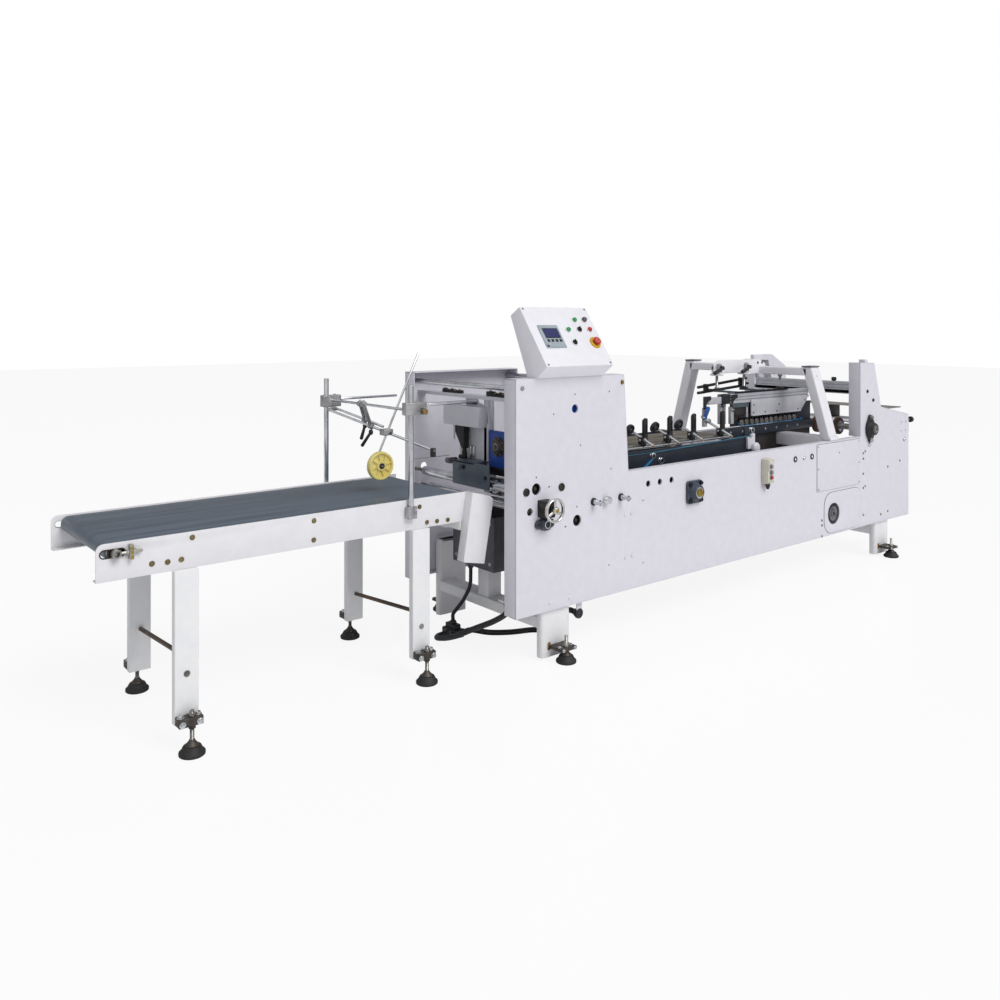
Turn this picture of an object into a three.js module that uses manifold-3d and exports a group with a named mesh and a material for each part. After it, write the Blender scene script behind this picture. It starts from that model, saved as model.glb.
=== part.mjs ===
// Paper folding machine with a delivery conveyor, in millimetres, +Z up.
// X runs along the machine, Y from the operator's side to the far side, Z = 0 is the floor.
import * as THREE from 'three';
import { mergeVertices } from 'three/addons/utils/BufferGeometryUtils.js';
import Module from 'manifold-3d';

const wasm = await Module();
wasm.setup();

// Driving dimensions
const machine = { length: 3470, width: 864, bottom: 228, saddle: 797, top: 1265, sheet: 8 };
const conveyor = { left: -1662, right: -100, front: 200, rear: 797, top: 768, bottom: 640, sheet: 5 };
const fit = 0.3;
const over = 4;

// Places of the feeder end, the gantry and the covers, measured back from the machine's right end
const back = {
  upright: 621, uprightTop: 450, knee: 365, slope: 348, tieMid: 1270, tieEnd: 70, coverLeft: 1121, coverRight: 630,
  roundLeft: 1042, roundRight: 609, bearing: 515, leg: 406, gantryLeft: 973, gantryRight: 885, rearLeft: 1427,
  rearRight: 1349, screwFirst: 1385, screwSecond: 1106, screwThird: 930, upperLeft: 1482, upperRight: 640,
  plateLeft: 1284, plateRight: 670, rowFirst: 1360, barLeft: 610, barRight: 570, hoodLeft: 582, hoodMid: 334,
  hoodRight: 160, tableLeft: 320, tableRight: 30, lowerEnd: 590, sideLeft: 770,
};
const fromEnd = (name) => machine.length - back[name];

// Shape helpers
function solidOf(geometry) {
  const flat = geometry.index ? geometry.toNonIndexed() : geometry;
  const bare = new THREE.BufferGeometry();
  bare.setAttribute('position', flat.getAttribute('position').clone());
  const merged = mergeVertices(bare);
  const index = merged.getIndex().array;
  const kept = [];
  for (let i = 0; i < index.length; i += 3) {
    const [a, b, c] = [index[i], index[i + 1], index[i + 2]];
    if (a !== b && b !== c && c !== a) kept.push(a, b, c);
  }
  return new wasm.Manifold(new wasm.Mesh({
    numProp: 3,
    vertProperties: new Float32Array(merged.getAttribute('position').array),
    triVerts: new Uint32Array(kept),
  }));
}

function box(x0, x1, y0, y1, z0, z1) {
  const geometry = new THREE.BoxGeometry(Math.abs(x1 - x0), Math.abs(y1 - y0), Math.abs(z1 - z0));
  geometry.translate((x0 + x1) / 2, (y0 + y1) / 2, (z0 + z1) / 2);
  return solidOf(geometry);
}

// A round bar or cone between two points, with fewer facets on the thin ones
const facets = { thin: 10.2, few: 6, mid: 30, some: 10, many: 16 };
function bar(from, to, radius, sides = facets.many, radiusTo = radius) {
  const most = radius < facets.thin ? facets.few : radius < facets.mid ? facets.some : facets.many;
  const a = new THREE.Vector3(...from);
  const b = new THREE.Vector3(...to);
  const way = b.clone().sub(a);
  const geometry = new THREE.CylinderGeometry(radiusTo, radius, way.length(), Math.min(sides, most));
  const turn = new THREE.Quaternion().setFromUnitVectors(new THREE.Vector3(0, 1, 0), way.normalize());
  geometry.applyQuaternion(turn);
  geometry.translate((a.x + b.x) / 2, (a.y + b.y) / 2, (a.z + b.z) / 2);
  return solidOf(geometry);
}

// The radius of a faceted bore whose flats leave a shaft free to turn
const boreFor = (radius) => (radius + fit) / Math.cos(Math.PI / (radius < facets.thin ? facets.few : facets.some));

const barX = (x0, x1, y, z, r, sides) => bar([x0, y, z], [x1, y, z], r, sides);
const barY = (y0, y1, x, z, r, sides) => bar([x, y0, z], [x, y1, z], r, sides);
const barZ = (z0, z1, x, y, r, sides) => bar([x, y, z0], [x, y, z1], r, sides);

// A rectangular bar between two points, turned in the vertical plane that it runs in
function beam(from, to, wide, tall) {
  const a = new THREE.Vector3(...from);
  const b = new THREE.Vector3(...to);
  const way = b.clone().sub(a);
  const length = way.length();
  way.normalize();
  const up = Math.abs(way.z) > 0.9 ? new THREE.Vector3(1, 0, 0) : new THREE.Vector3(0, 0, 1);
  const side = new THREE.Vector3().crossVectors(up, way).normalize();
  const rise = new THREE.Vector3().crossVectors(way, side).normalize();
  const geometry = new THREE.BoxGeometry(length, wide, tall);
  geometry.applyMatrix4(new THREE.Matrix4().makeBasis(way, side, rise));
  geometry.translate((a.x + b.x) / 2, (a.y + b.y) / 2, (a.z + b.z) / 2);
  return solidOf(geometry);
}

// A closed outline pushed along an axis. Along x it is drawn in y and z, along y in x and z.
function slab(axis, from, to, points) {
  const drawn = points.map(([a, b]) => (axis === 'y' ? new THREE.Vector2(b, a) : new THREE.Vector2(a, b)));
  const geometry = new THREE.ExtrudeGeometry(new THREE.Shape(drawn), { depth: to - from, bevelEnabled: false });
  const unit = { x: new THREE.Vector3(1, 0, 0), y: new THREE.Vector3(0, 1, 0), z: new THREE.Vector3(0, 0, 1) };
  const order = { x: ['y', 'z', 'x'], y: ['z', 'x', 'y'], z: ['x', 'y', 'z'] }[axis];
  geometry.applyMatrix4(new THREE.Matrix4().makeBasis(...order.map((name) => unit[name])));
  const shift = unit[axis].clone().multiplyScalar(from);
  geometry.translate(shift.x, shift.y, shift.z);
  return solidOf(geometry);
}

function rounded(a0, a1, b0, b1, r, steps = 3) {
  const points = [];
  const corners = [[a1 - r, b1 - r, 0], [a0 + r, b1 - r, 1], [a0 + r, b0 + r, 2], [a1 - r, b0 + r, 3]];
  for (const [a, b, quarter] of corners) {
    for (let i = 0; i <= steps; i++) {
      const turn = (quarter + i / steps) * Math.PI / 2;
      points.push([a + r * Math.cos(turn), b + r * Math.sin(turn)]);
    }
  }
  return points;
}

// A ring of a profile about an axis. The profile gives radius and place along the axis.
function spun(axis, at, profile, sides = 24) {
  const geometry = new THREE.LatheGeometry(profile.map(([r, h]) => new THREE.Vector2(r, h)), sides);
  const aim = { x: new THREE.Vector3(1, 0, 0), y: new THREE.Vector3(0, 1, 0), z: new THREE.Vector3(0, 0, 1) };
  geometry.applyQuaternion(new THREE.Quaternion().setFromUnitVectors(new THREE.Vector3(0, 1, 0), aim[axis]));
  geometry.translate(...at);
  return solidOf(geometry);
}

const join = (pieces) => pieces.reduce((all, piece) => all.add(piece));
const cut = (solid, tools) => tools.reduce((left, tool) => left.subtract(tool), solid);
const span = (count) => Array.from({ length: count }, (_, i) => i);
const mix = (a, b, t) => a + (b - a) * t;

// Pieces under one name are joined into one solid
const store = new Map();
function part(name, pieces, material) {
  if (!store.has(name)) store.set(name, { solids: [], material });
  store.get(name).solids.push(...[pieces].flat());
}

function meshOf(name, { solids, material }) {
  const { vertProperties, triVerts, numProp } = join(solids).getMesh();
  const position = new Float32Array(vertProperties.length / numProp * 3);
  for (let i = 0; i * numProp < vertProperties.length; i++) {
    for (let k = 0; k < 3; k++) position[3 * i + k] = vertProperties[numProp * i + k];
  }
  const geometry = new THREE.BufferGeometry();
  geometry.setAttribute('position', new THREE.BufferAttribute(position, 3));
  geometry.setIndex(new THREE.BufferAttribute(new Uint32Array(triVerts), 1));
  geometry.computeVertexNormals();
  const mesh = new THREE.Mesh(geometry, material);
  mesh.name = name;
  return mesh;
}

// Colours
function look(color, roughness, metalness) {
  return new THREE.MeshStandardMaterial({ color, roughness, metalness });
}
const whitePaint = look(0xe6e4ea, 0.45, 0);
const legPaint = look(0xe2e3e4, 0.55, 0);
const steel = look(0xb4b4b4, 0.35, 0.9);
const chrome = look(0xd8d8dc, 0.15, 1);
const darkSteel = look(0x3a3c40, 0.5, 0.6);
const black = look(0x17181b, 0.5, 0);
const rubber = look(0x222326, 0.85, 0);
const beltGreen = look(0x4c5a60, 0.75, 0);
const brass = look(0xa08040, 0.35, 0.9);
const nylon = look(0xf0dd8a, 0.5, 0);
const navy = look(0x232833, 0.45, 0.2);
const blue = look(0x1f6fae, 0.5, 0);
const green = look(0x1f8f4c, 0.4, 0);
const red = look(0xc02a2a, 0.4, 0);
const grey = look(0x9a9a98, 0.5, 0);

// Conveyor rails, slotted at the left end for the tail roller's shaft
const rail = { corner: 25, flange: 34, slotLeft: 13, slotRight: 95, slotLow: 80, slotHigh: 106 };
const railInner = { front: conveyor.front + conveyor.sheet, rear: conveyor.rear - conveyor.sheet };
function railOutline() {
  const { left, right, top, bottom } = conveyor;
  const points = [[right, bottom], [right, top]];
  for (const i of span(5)) {
    const turn = Math.PI / 2 * (1 + i / 4);
    points.push([left + rail.corner * (1 + Math.cos(turn)), top - rail.corner * (1 - Math.sin(turn))]);
  }
  points.push([left, bottom]);
  return points;
}
const slot = {
  left: conveyor.left + rail.slotLeft,
  right: conveyor.left + rail.slotRight,
  low: conveyor.bottom + rail.slotLow,
  high: conveyor.bottom + rail.slotHigh,
};
function railSolid(face, inward) {
  const inner = face + inward * conveyor.sheet;
  const lip = face + inward * rail.flange;
  const plate = slab('y', Math.min(face, inner), Math.max(face, inner), railOutline());
  const flange = box(conveyor.left, conveyor.right, Math.min(face, lip), Math.max(face, lip),
    conveyor.bottom, conveyor.bottom + conveyor.sheet);
  const round = (slot.high - slot.low) / 2;
  const opening = slab('y', Math.min(face, inner) - over, Math.max(face, inner) + over,
    rounded(slot.left, slot.right, slot.low, slot.high, round));
  return cut(plate.add(flange), [opening]);
}
part('conveyor_front_rail', railSolid(conveyor.front, 1), whitePaint);
part('conveyor_rear_rail', railSolid(conveyor.rear, -1), whitePaint);

// Conveyor rollers and belt
const roller = { radius: 27, shaft: 9, belt: 3, tailIn: 62, driveIn: 55, drop: 35, edge: 10, shaftOut: 12 };
const tail = { x: conveyor.left + roller.tailIn, z: conveyor.top - roller.drop };
const drive = { x: conveyor.right - roller.driveIn, z: tail.z };
const beltRadius = roller.radius + fit * 3 + roller.belt;
function rollerSolid(x, z, reach) {
  const drum = barY(railInner.front + roller.edge, railInner.rear - roller.edge, x, z, roller.radius, 24);
  return drum.add(barY(railInner.front - reach, railInner.rear + reach, x, z, roller.shaft, 16));
}
part('conveyor_tail_roller', rollerSolid(tail.x, tail.z, conveyor.sheet + roller.shaftOut), steel);
part('conveyor_drive_roller', rollerSolid(drive.x, drive.z, -fit), steel);
function stadium(x0, x1, z, r, steps = 8) {
  const points = [];
  for (let i = 0; i <= steps; i++) {
    const turn = -Math.PI / 2 + Math.PI * i / steps;
    points.push([x1 + r * Math.cos(turn), z + r * Math.sin(turn)]);
  }
  for (let i = 0; i <= steps; i++) {
    const turn = Math.PI / 2 + Math.PI * i / steps;
    points.push([x0 + r * Math.cos(turn), z + r * Math.sin(turn)]);
  }
  return points;
}
const beltEdge = { front: railInner.front + roller.edge, rear: railInner.rear - roller.edge };
const beltLoop = cut(
  slab('y', beltEdge.front, beltEdge.rear, stadium(tail.x, drive.x, tail.z, beltRadius)),
  [slab('y', beltEdge.front - over, beltEdge.rear + over, stadium(tail.x, drive.x, tail.z, beltRadius - roller.belt))],
);
part('conveyor_belt', beltLoop, beltGreen);

// Bed sheet under the belt's upper run, on cross bars between the rails
const bed = { sheet: 4, endGap: 12, lipDown: 26, bar: 40, barLift: 12, lipGap: 2 };
const bedTop = tail.z + roller.radius;
const bedLeft = tail.x + roller.radius + bed.endGap;
const bedRight = drive.x - roller.radius - bed.endGap;
const legs = {
  deep: 30, proud: 16, wide: 86, bottom: 100, frontLeft: 300, frontRight: 1296, shift: 30,
  brace: 8.5, braceFront: 330, braceRear: 271, braceStep: 45, boltDrop: 409, boltLeftDrop: 365,
  boltHead: 5, boltRadius: 9, wall: 3,
};
const legPlaces = [
  { x: conveyor.left + legs.frontLeft, side: 'front', high: legs.boltLeftDrop },
  { x: conveyor.left + legs.frontRight, side: 'front', high: legs.boltDrop },
  { x: conveyor.left + legs.frontLeft + legs.shift, side: 'rear', high: legs.boltLeftDrop },
  { x: conveyor.left + legs.frontRight + legs.shift, side: 'rear', high: legs.boltDrop },
];
for (const leg of legPlaces) {
  const outer = leg.side === 'front' ? conveyor.front - legs.proud : conveyor.rear + legs.proud;
  leg.out = leg.side === 'front' ? -1 : 1;
  leg.outer = outer;
  leg.inner = outer - leg.out * legs.deep;
}
const crossLow = conveyor.bottom + conveyor.sheet + fit;
const bedPieces = [
  box(bedLeft, bedRight, railInner.front + fit, railInner.rear - fit, bedTop - bed.sheet, bedTop - fit),
];
for (const face of [railInner.front + fit, railInner.rear - fit - bed.sheet]) {
  bedPieces.push(box(bedLeft, bedRight, face, face + bed.sheet, bedTop - bed.lipDown, bedTop - bed.sheet / 2));
}
const crossPieces = [legs.frontLeft, legs.frontRight].map((offset) => {
  const x = conveyor.left + offset;
  const lips = [railInner.front + fit, railInner.rear - fit - bed.sheet].map((face) => box(
    x - bed.bar / 2, x + bed.bar / 2, face, face + bed.sheet, crossLow, bedTop - bed.sheet / 2));
  return join([box(x - bed.bar / 2, x + bed.bar / 2, railInner.front + fit, railInner.rear - fit,
    crossLow, crossLow + bed.bar), ...lips]);
});
part('conveyor_bed', [...bedPieces, ...crossPieces], steel);

// Conveyor legs, their cross bars and the round braces between them
const legNames = ['conveyor_left_legs', 'conveyor_right_legs'];
legPlaces.forEach((leg, i) => part(legNames[i % 2], [
  cut(box(leg.x - legs.wide / 2, leg.x + legs.wide / 2, Math.min(leg.outer, leg.inner),
    Math.max(leg.outer, leg.inner), legs.bottom, conveyor.bottom - fit), [
    box(leg.x - legs.wide / 2 + legs.wall, leg.x + legs.wide / 2 - legs.wall,
      Math.min(leg.outer, leg.inner) + legs.wall, Math.max(leg.outer, leg.inner) - legs.wall,
      legs.bottom - over, conveyor.bottom - fit - legs.wall),
  ]),
  bar([leg.x, leg.outer - leg.out * over, conveyor.bottom - leg.high],
    [leg.x, leg.outer + leg.out * legs.boltHead, conveyor.bottom - leg.high], legs.boltRadius, 8, legs.boltRadius / 2),
], legPaint));
legNames.forEach((name, i) => {
  const [front, rear] = [legPlaces[i], legPlaces[i + 2]];
  part(name, bar([front.x, front.inner - over, legs.braceFront - i * legs.braceStep],
    [rear.x, rear.inner + over, legs.braceRear - i * legs.braceStep], legs.brace, 12), legPaint);
});

// Belt tensioners outside the slots
const tensioner = {
  block: 13, deep: 26, up: 25, gap: 22, screw: 5, screwOut: 30, nut: 17, nutDeep: 9, arm: 9, armDeep: 7, knob: 11,
};
for (const [name, face, out] of [['conveyor_front_rail', conveyor.front, -1], ['conveyor_rear_rail', conveyor.rear, 1]]) {
  const near = face - out * conveyor.sheet / 2;
  const far = face + out * tensioner.deep;
  const blockRight = slot.right + tensioner.gap;
  const mid = (face + far) / 2;
  part(name, cut(join([
    box(blockRight - tensioner.block, blockRight, Math.min(near, far), Math.max(near, far),
      tail.z - tensioner.up, tail.z + tensioner.up),
    barX(tail.x, blockRight + tensioner.screwOut, mid, tail.z, tensioner.screw, 12),
    barX(blockRight - over, blockRight + tensioner.arm, mid, tail.z, tensioner.knob, 6),
    bar([tail.x, face + out * fit, tail.z], [tail.x, far, tail.z], tensioner.nut, 6),
  ]), [barY(conveyor.front - tensioner.deep - over, conveyor.rear + tensioner.deep + over,
    tail.x, tail.z, boreFor(roller.shaft), 16)]), whitePaint);
}

// Levelling feet and pads, shared by the conveyor and the machine
const foot = {
  pad: 46, padTop: 34, padRim: 12, cone: 23, coneTop: 10, coneHigh: 20, stem: 8, out: 30, plate: 30, plateDeep: 45,
  shift: 7, plateLift: 4, stemOut: 22, bolt: 11, boltHigh: 9, boltIn: 24,
};
const mainLeg = {
  wide: 175, deep: 45, corner: 20, x0: 168, x1: fromEnd('leg'), bottom: 15, inset: 20, footIn: 89, lift: 45, wall: 5,
};
const zinc = { wide: 95, deep: 42, high: 14, stemTop: 119, out: 42, nut: 13 };
function padAt(x, y) {
  return join([
    spun('z', [x, y, 0], [[0, 0], [foot.pad, 0], [foot.pad, foot.padRim],
      [foot.cone + foot.stem, foot.padTop], [0, foot.padTop]], 14),
    bar([x, y, foot.padTop - over], [x, y, foot.padTop + foot.coneHigh], foot.cone, 16, foot.coneTop),
  ]);
}
legPlaces.forEach((leg, i) => {
  const x = leg.x + foot.shift;
  const y = leg.outer + leg.out * foot.out;
  const near = leg.outer + leg.out * fit;
  const far = near + leg.out * foot.plateDeep;
  const low = legs.bottom + foot.plateLift;
  part(`levelling_foot_${i + 1}`, [
    padAt(x, y),
    barZ(foot.padTop + foot.coneHigh / 2, low + foot.plate + foot.stemOut, x, y, foot.stem, 12),
    box(leg.x - legs.wide / 2, leg.x + legs.wide / 2, Math.min(near, far), Math.max(near, far), low, low + foot.plate),
    ...[-1, 1].map((side) => barZ(low + foot.plate - foot.boltHigh, low + foot.plate + foot.boltHigh,
      leg.x + side * (legs.wide / 2 - foot.boltIn / 2), (near + far) / 2, foot.bolt, 6)),
  ], rubber);
});
const sides = [
  { face: 0, inward: 1 },
  { face: machine.width, inward: -1 },
];
const mainNames = ['left_main_legs', 'right_main_legs'];
[mainLeg.x0, mainLeg.x1].forEach((legX, i) => sides.forEach((side) => {
  const x = legX + mainLeg.footIn;
  const near = side.face + side.inward * (mainLeg.inset + over);
  const y = side.face - side.inward * zinc.out;
  const far = y - side.inward * zinc.deep / 2;
  const low = mainLeg.lift + foot.coneHigh / 2;
  part(mainNames[i], [
    padAt(x, y),
    barZ(foot.padTop + foot.coneHigh / 2, zinc.stemTop, x, y, foot.stem, 12),
    box(x - zinc.wide / 2, x + zinc.wide / 2, Math.min(near, far), Math.max(near, far), low, low + zinc.high),
    barZ(low + zinc.high / 2, low + 2 * zinc.high, x, y, zinc.nut, 6),
  ], legPaint);
}));

// Chain guard: a tilted box open at the back and at the bottom
const guard = {
  front: 152, sheet: 2.5, topLeft: 118, bottomLeft: 168, bottomRight: 54, rise: 2, lowLeft: 166, lowRight: 190, dip: 29,
};
const guardCorners = [
  [-guard.bottomRight, conveyor.bottom - guard.lowRight], [-fit, conveyor.top - guard.dip],
  [-guard.topLeft, conveyor.top + guard.rise], [-guard.bottomLeft, conveyor.bottom - guard.lowLeft],
];
const guardInner = [
  [-guard.bottomRight - guard.sheet, conveyor.bottom - guard.lowRight - over],
  [-fit - guard.sheet, conveyor.top - guard.dip - guard.sheet],
  [-guard.topLeft + guard.sheet, conveyor.top + guard.rise - guard.sheet],
  [-guard.bottomLeft + guard.sheet, conveyor.bottom - guard.lowLeft - over],
];
part('chain_guard', cut(
  slab('y', guard.front, conveyor.front - fit, guardCorners),
  [slab('y', guard.front + guard.sheet, conveyor.front + over, guardInner)],
), whitePaint);

// Press-wheel rig: posts, brackets, clamps and rods
const rig = {
  frontX: -418, frontY: 185, rearX: -473, rearY: 812, post: 11, postTop: 1250, bracketLow: 692, bracketHigh: 742,
  bracketWide: 44, rod: 6, cross: 1148, crossX: -445, clampHalf: 24, clampWide: 70, clampDeep: 34,
  sideFrontTip: -68, sideRearTip: -85, sideLift: 16, sideBack: 4, sideRod: 7.5, slopeX: 243, slopeY: 500, slopeZ: 157,
  armY: 498, shortShift: 34, arm: 5, knob: 12, knobOut: 20,
};
const postFront = [rig.frontX, conveyor.front - rig.post - over];
const postRear = [rig.rearX, conveyor.rear + rig.post + over];
part('rig_frame', [
  barZ(rig.bracketLow, rig.postTop, ...postFront, rig.post, 20),
  barZ(rig.bracketLow, rig.postTop, ...postRear, rig.post, 20),
  box(rig.frontX - rig.bracketWide / 2, rig.frontX + rig.bracketWide / 2,
    postFront[1] - rig.post - over, conveyor.front - fit, rig.bracketLow, rig.bracketHigh),
  box(rig.rearX - rig.bracketWide / 2, rig.rearX + rig.bracketWide / 2,
    conveyor.rear + fit, postRear[1] + rig.post + over, rig.bracketLow, rig.bracketHigh),
], steel);
const slopeLength = Math.hypot(rig.slopeX, rig.slopeY, rig.slopeZ);
const slopeWay = [rig.slopeX / slopeLength, -rig.slopeY / slopeLength, -rig.slopeZ / slopeLength];
const clampLow = rig.cross - rig.clampHalf - rig.rod;
const slopeStart = [rig.rearX, postRear[1] - rig.post - rig.rod - over / 2, clampLow - rig.rod * 2];
const slopeAt = (s) => slopeStart.map((value, i) => value + slopeWay[i] * s);
const shortStart = [slopeStart[0] + rig.shortShift, slopeStart[1], slopeStart[2] + rig.rod];
const shortShare = 0.48;
const shortAt = (s) => shortStart.map((value, i) => value + slopeWay[i] * s);
const crossEnds = [
  [rig.crossX, postFront[1], rig.cross],
  [rig.crossX, postRear[1], rig.cross],
];
const frameRods = [
  [crossEnds[0], crossEnds[1], rig.rod],
  [[rig.frontX, postFront[1], rig.cross + rig.sideLift], [rig.sideFrontTip, postFront[1], rig.cross + rig.sideLift],
    rig.sideRod],
  [[rig.rearX, postRear[1], rig.cross + rig.sideBack], [rig.sideRearTip, postRear[1], rig.cross + rig.sideBack], rig.rod],
];
const knobAt = [rig.frontX + rig.clampWide - rig.knobOut, postFront[1] - rig.clampDeep / 2, rig.cross - rig.post];
part('rig_frame', [
  ...frameRods.map(([a, b, r]) => bar(a, b, r, 14)),
  box(rig.frontX - rig.clampHalf - rig.post, rig.frontX + rig.clampWide, postFront[1] - rig.clampDeep / 2,
    postFront[1] + rig.clampDeep / 2, rig.cross - rig.clampHalf, rig.cross + rig.clampHalf + rig.sideBack),
  box(rig.rearX - rig.clampHalf, rig.rearX + rig.clampWide, postRear[1] - rig.clampDeep / 2,
    postRear[1] + rig.clampDeep / 2, clampLow, rig.cross + rig.clampHalf),
  bar([knobAt[0], knobAt[1] + over, knobAt[2]], [knobAt[0], knobAt[1] - rig.knobOut, knobAt[2]], rig.knob, 12),
], steel);
const slopeRods = [
  bar(slopeStart, slopeAt(slopeLength), rig.rod, 14),
  bar(shortStart, shortAt(slopeLength * shortShare), rig.rod, 14),
  box(slopeStart[0] - rig.rod, shortStart[0] + rig.rod, slopeStart[1] - rig.rod * 2, slopeStart[1] + rig.rod,
    slopeStart[2] - rig.rod, clampLow - fit),
];
const linkShares = [0.42, 0.3];
const link = { up: 12, wide: 16, thick: 10, ring: 13, apart: 30, ringLong: 11 };
// The wheel's arm runs in a plane across the sloping rod and meets it at the arm clamp
const wheel = { radius: 62.5, wide: 28, hub: 17, x: -403, z: 879, y: 452, axle: 8, axleFront: 436, armLow: 20 };
const armRise = { x: 235, z: 490 };
const armLength = Math.hypot(armRise.x, armRise.z);
const armWay = [armRise.x / armLength, 0, armRise.z / armLength];
const slopeCross = slopeAt((slopeStart[1] - rig.armY - rig.arm - rig.rod - over) / (rig.slopeY / slopeLength));
const armReach = (slopeCross[2] - wheel.z) / armWay[2];
const armBase = [slopeCross[0] - armWay[0] * armReach, rig.armY, wheel.z];
const armTop = 545;
const armAt = (s) => armBase.map((value, i) => value + armWay[i] * s);
const armClampHalf = { x: 24, y: 13, z: 14 };
const clampBlocks = [
  box(slopeCross[0] - armClampHalf.x, slopeCross[0] + armClampHalf.x, rig.armY - armClampHalf.y,
    slopeCross[1] + armClampHalf.y, slopeCross[2] - armClampHalf.z, slopeCross[2] + armClampHalf.z),
];
// Twin links from the cross rod down to the two sloping rods
const linkEnds = linkShares.map((share, i) => {
  const low = i === 0 ? slopeAt(slopeLength * share) : shortAt(slopeLength * share);
  return { top: [rig.crossX, low[1] - link.apart * (2 + i), rig.cross], low };
});
for (const { top, low } of linkEnds) {
  clampBlocks.push(bar([top[0], top[1] - link.ringLong, top[2]], [top[0], top[1] + link.ringLong, top[2]], link.ring, 12));
  const a = low.map((value, i) => value - slopeWay[i] * link.ringLong);
  const b = low.map((value, i) => value + slopeWay[i] * link.ringLong);
  clampBlocks.push(bar(a, b, link.ring, 12));
  clampBlocks.push(beam(top, low, link.wide, link.thick));
}
// Swivel block and spring strip at the end of the long sloping rod
const swivel = { half: 10, high: 30, stripLeft: 90, stripRight: 85, strip: 1.5, stripWide: 14 };
const tip = slopeAt(slopeLength);
const armHole = bar(armAt(-over), armAt(armTop + over), rig.arm + fit, 14);
clampBlocks.push(
  box(tip[0] - swivel.half, tip[0] + swivel.half, tip[1] - swivel.half, tip[1] + swivel.half,
    tip[2] - swivel.high, tip[2] + swivel.half),
  box(tip[0] - swivel.stripLeft, tip[0] + swivel.stripRight, tip[1] - swivel.stripWide / 2,
    tip[1] + swivel.stripWide / 2, tip[2] - swivel.high, tip[2] - swivel.high + swivel.strip),
);
const crossHole = bar([crossEnds[0][0], crossEnds[0][1] - over, rig.cross],
  [crossEnds[1][0], crossEnds[1][1] + over, rig.cross], rig.rod + fit, 14);
part('rig_slope_rods', cut(join([...slopeRods, ...clampBlocks]), [armHole, crossHole]), chrome);

// Sliding arm with its axle, and the press wheel
const axleRear = rig.armY + rig.arm + over;
part('wheel_arm', cut(join([
  bar(armAt(0), armAt(armTop), rig.arm, 14),
  barY(wheel.axleFront, axleRear, armBase[0], wheel.z, wheel.axle, 14),
  barY(rig.armY - rig.arm - over, axleRear, armBase[0], wheel.z, wheel.hub / 2 + over, 14),
  barY(wheel.axleFront - over, wheel.axleFront, armBase[0], wheel.z, wheel.hub / 2 + over, 14),
]), []), chrome);
const wheelFront = wheel.axleFront + fit;
const wheelProfile = { rim: 12, web: 9, hubOut: 3, spokes: 8, spoke: 3 };
const webMid = wheelFront + wheel.wide / 2;
const wheelSolid = cut(join([
  spun('y', [armBase[0], wheelFront, wheel.z], [
    [0, 0], [wheel.hub, 0], [wheel.hub, wheel.wide / 2 - wheelProfile.web / 2],
    [wheel.radius - wheelProfile.rim, wheel.wide / 2 - wheelProfile.web / 2],
    [wheel.radius - wheelProfile.rim, wheelProfile.hubOut], [wheel.radius - wheelProfile.hubOut, 0],
    [wheel.radius, wheelProfile.hubOut * 2], [wheel.radius, wheel.wide - wheelProfile.hubOut * 2],
    [wheel.radius - wheelProfile.hubOut, wheel.wide], [wheel.radius - wheelProfile.rim, wheel.wide - wheelProfile.hubOut],
    [wheel.radius - wheelProfile.rim, wheel.wide / 2 + wheelProfile.web / 2],
    [wheel.hub, wheel.wide / 2 + wheelProfile.web / 2], [wheel.hub, wheel.wide], [0, wheel.wide],
  ], 20),
  ...span(wheelProfile.spokes).map((i) => {
    const turn = 2 * Math.PI * i / wheelProfile.spokes;
    const at = (r) => [armBase[0] + r * Math.cos(turn), webMid, wheel.z + r * Math.sin(turn)];
    return beam(at(wheel.hub - over), at(wheel.radius - wheelProfile.rim + over / 2),
      wheel.wide - wheelProfile.web, wheelProfile.spoke * 2);
  }),
]), [barY(wheelFront - over, wheelFront + wheel.wide + over, armBase[0], wheel.z, boreFor(wheel.axle), 14)]);
part('press_wheel', wheelSolid, nylon);

// Ratchet levers that hang from the two links, each on its own screw
const lever = { long: 52, top: 6, end: 8, hub: 10, hubLong: 22, lean: 12, drop: 50 };
const slopeTilt = Math.asin(rig.slopeZ / slopeLength);
function ratchetLever(at, lean) {
  const start = [at[0], at[1], at[2] - link.ring * Math.cos(slopeTilt) - link.ringLong * Math.sin(slopeTilt) - fit];
  const mid = [at[0], at[1], start[2] - lever.hubLong];
  const end = [mid[0] + lean[0], mid[1] + lean[1], mid[2] - lean[2]];
  return join([bar(start, mid, lever.hub, 12), bar([mid[0], mid[1], mid[2] + lever.hub], end, lever.top, 10, lever.end)]);
}
part('clamp_lever_a', ratchetLever(linkEnds[1].low, [-lever.lean, lever.lean, lever.drop]), black);
part('clamp_lever_b', ratchetLever(linkEnds[0].low, [-lever.lean * 2, lever.lean * 3, lever.long]), black);

// Side panels: a folded sheet with a tall end, a low middle and an upright
const panel = {
  tallTop: 680, tallFoot: 710, uprightLeft: fromEnd('upright'), uprightTop: fromEnd('uprightTop'),
  kneeX: fromEnd('knee'), kneeZ: 972, slopeX: fromEnd('slope'), slopeZ: 968, endZ: 903, uprightHigh: 1262,
  uprightEdge: 1257, fold: 80, saddleFold: 40, foldSheet: 5,
};
const panelOutline = [
  [0, machine.bottom], [machine.length, machine.bottom], [machine.length, panel.endZ],
  [panel.slopeX, panel.slopeZ], [panel.kneeX, panel.kneeZ], [panel.uprightTop, panel.uprightEdge],
  [panel.uprightLeft, panel.uprightHigh], [panel.uprightLeft, machine.saddle], [panel.tallFoot, machine.saddle],
  [panel.tallTop, machine.top], [0, machine.top],
];
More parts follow.
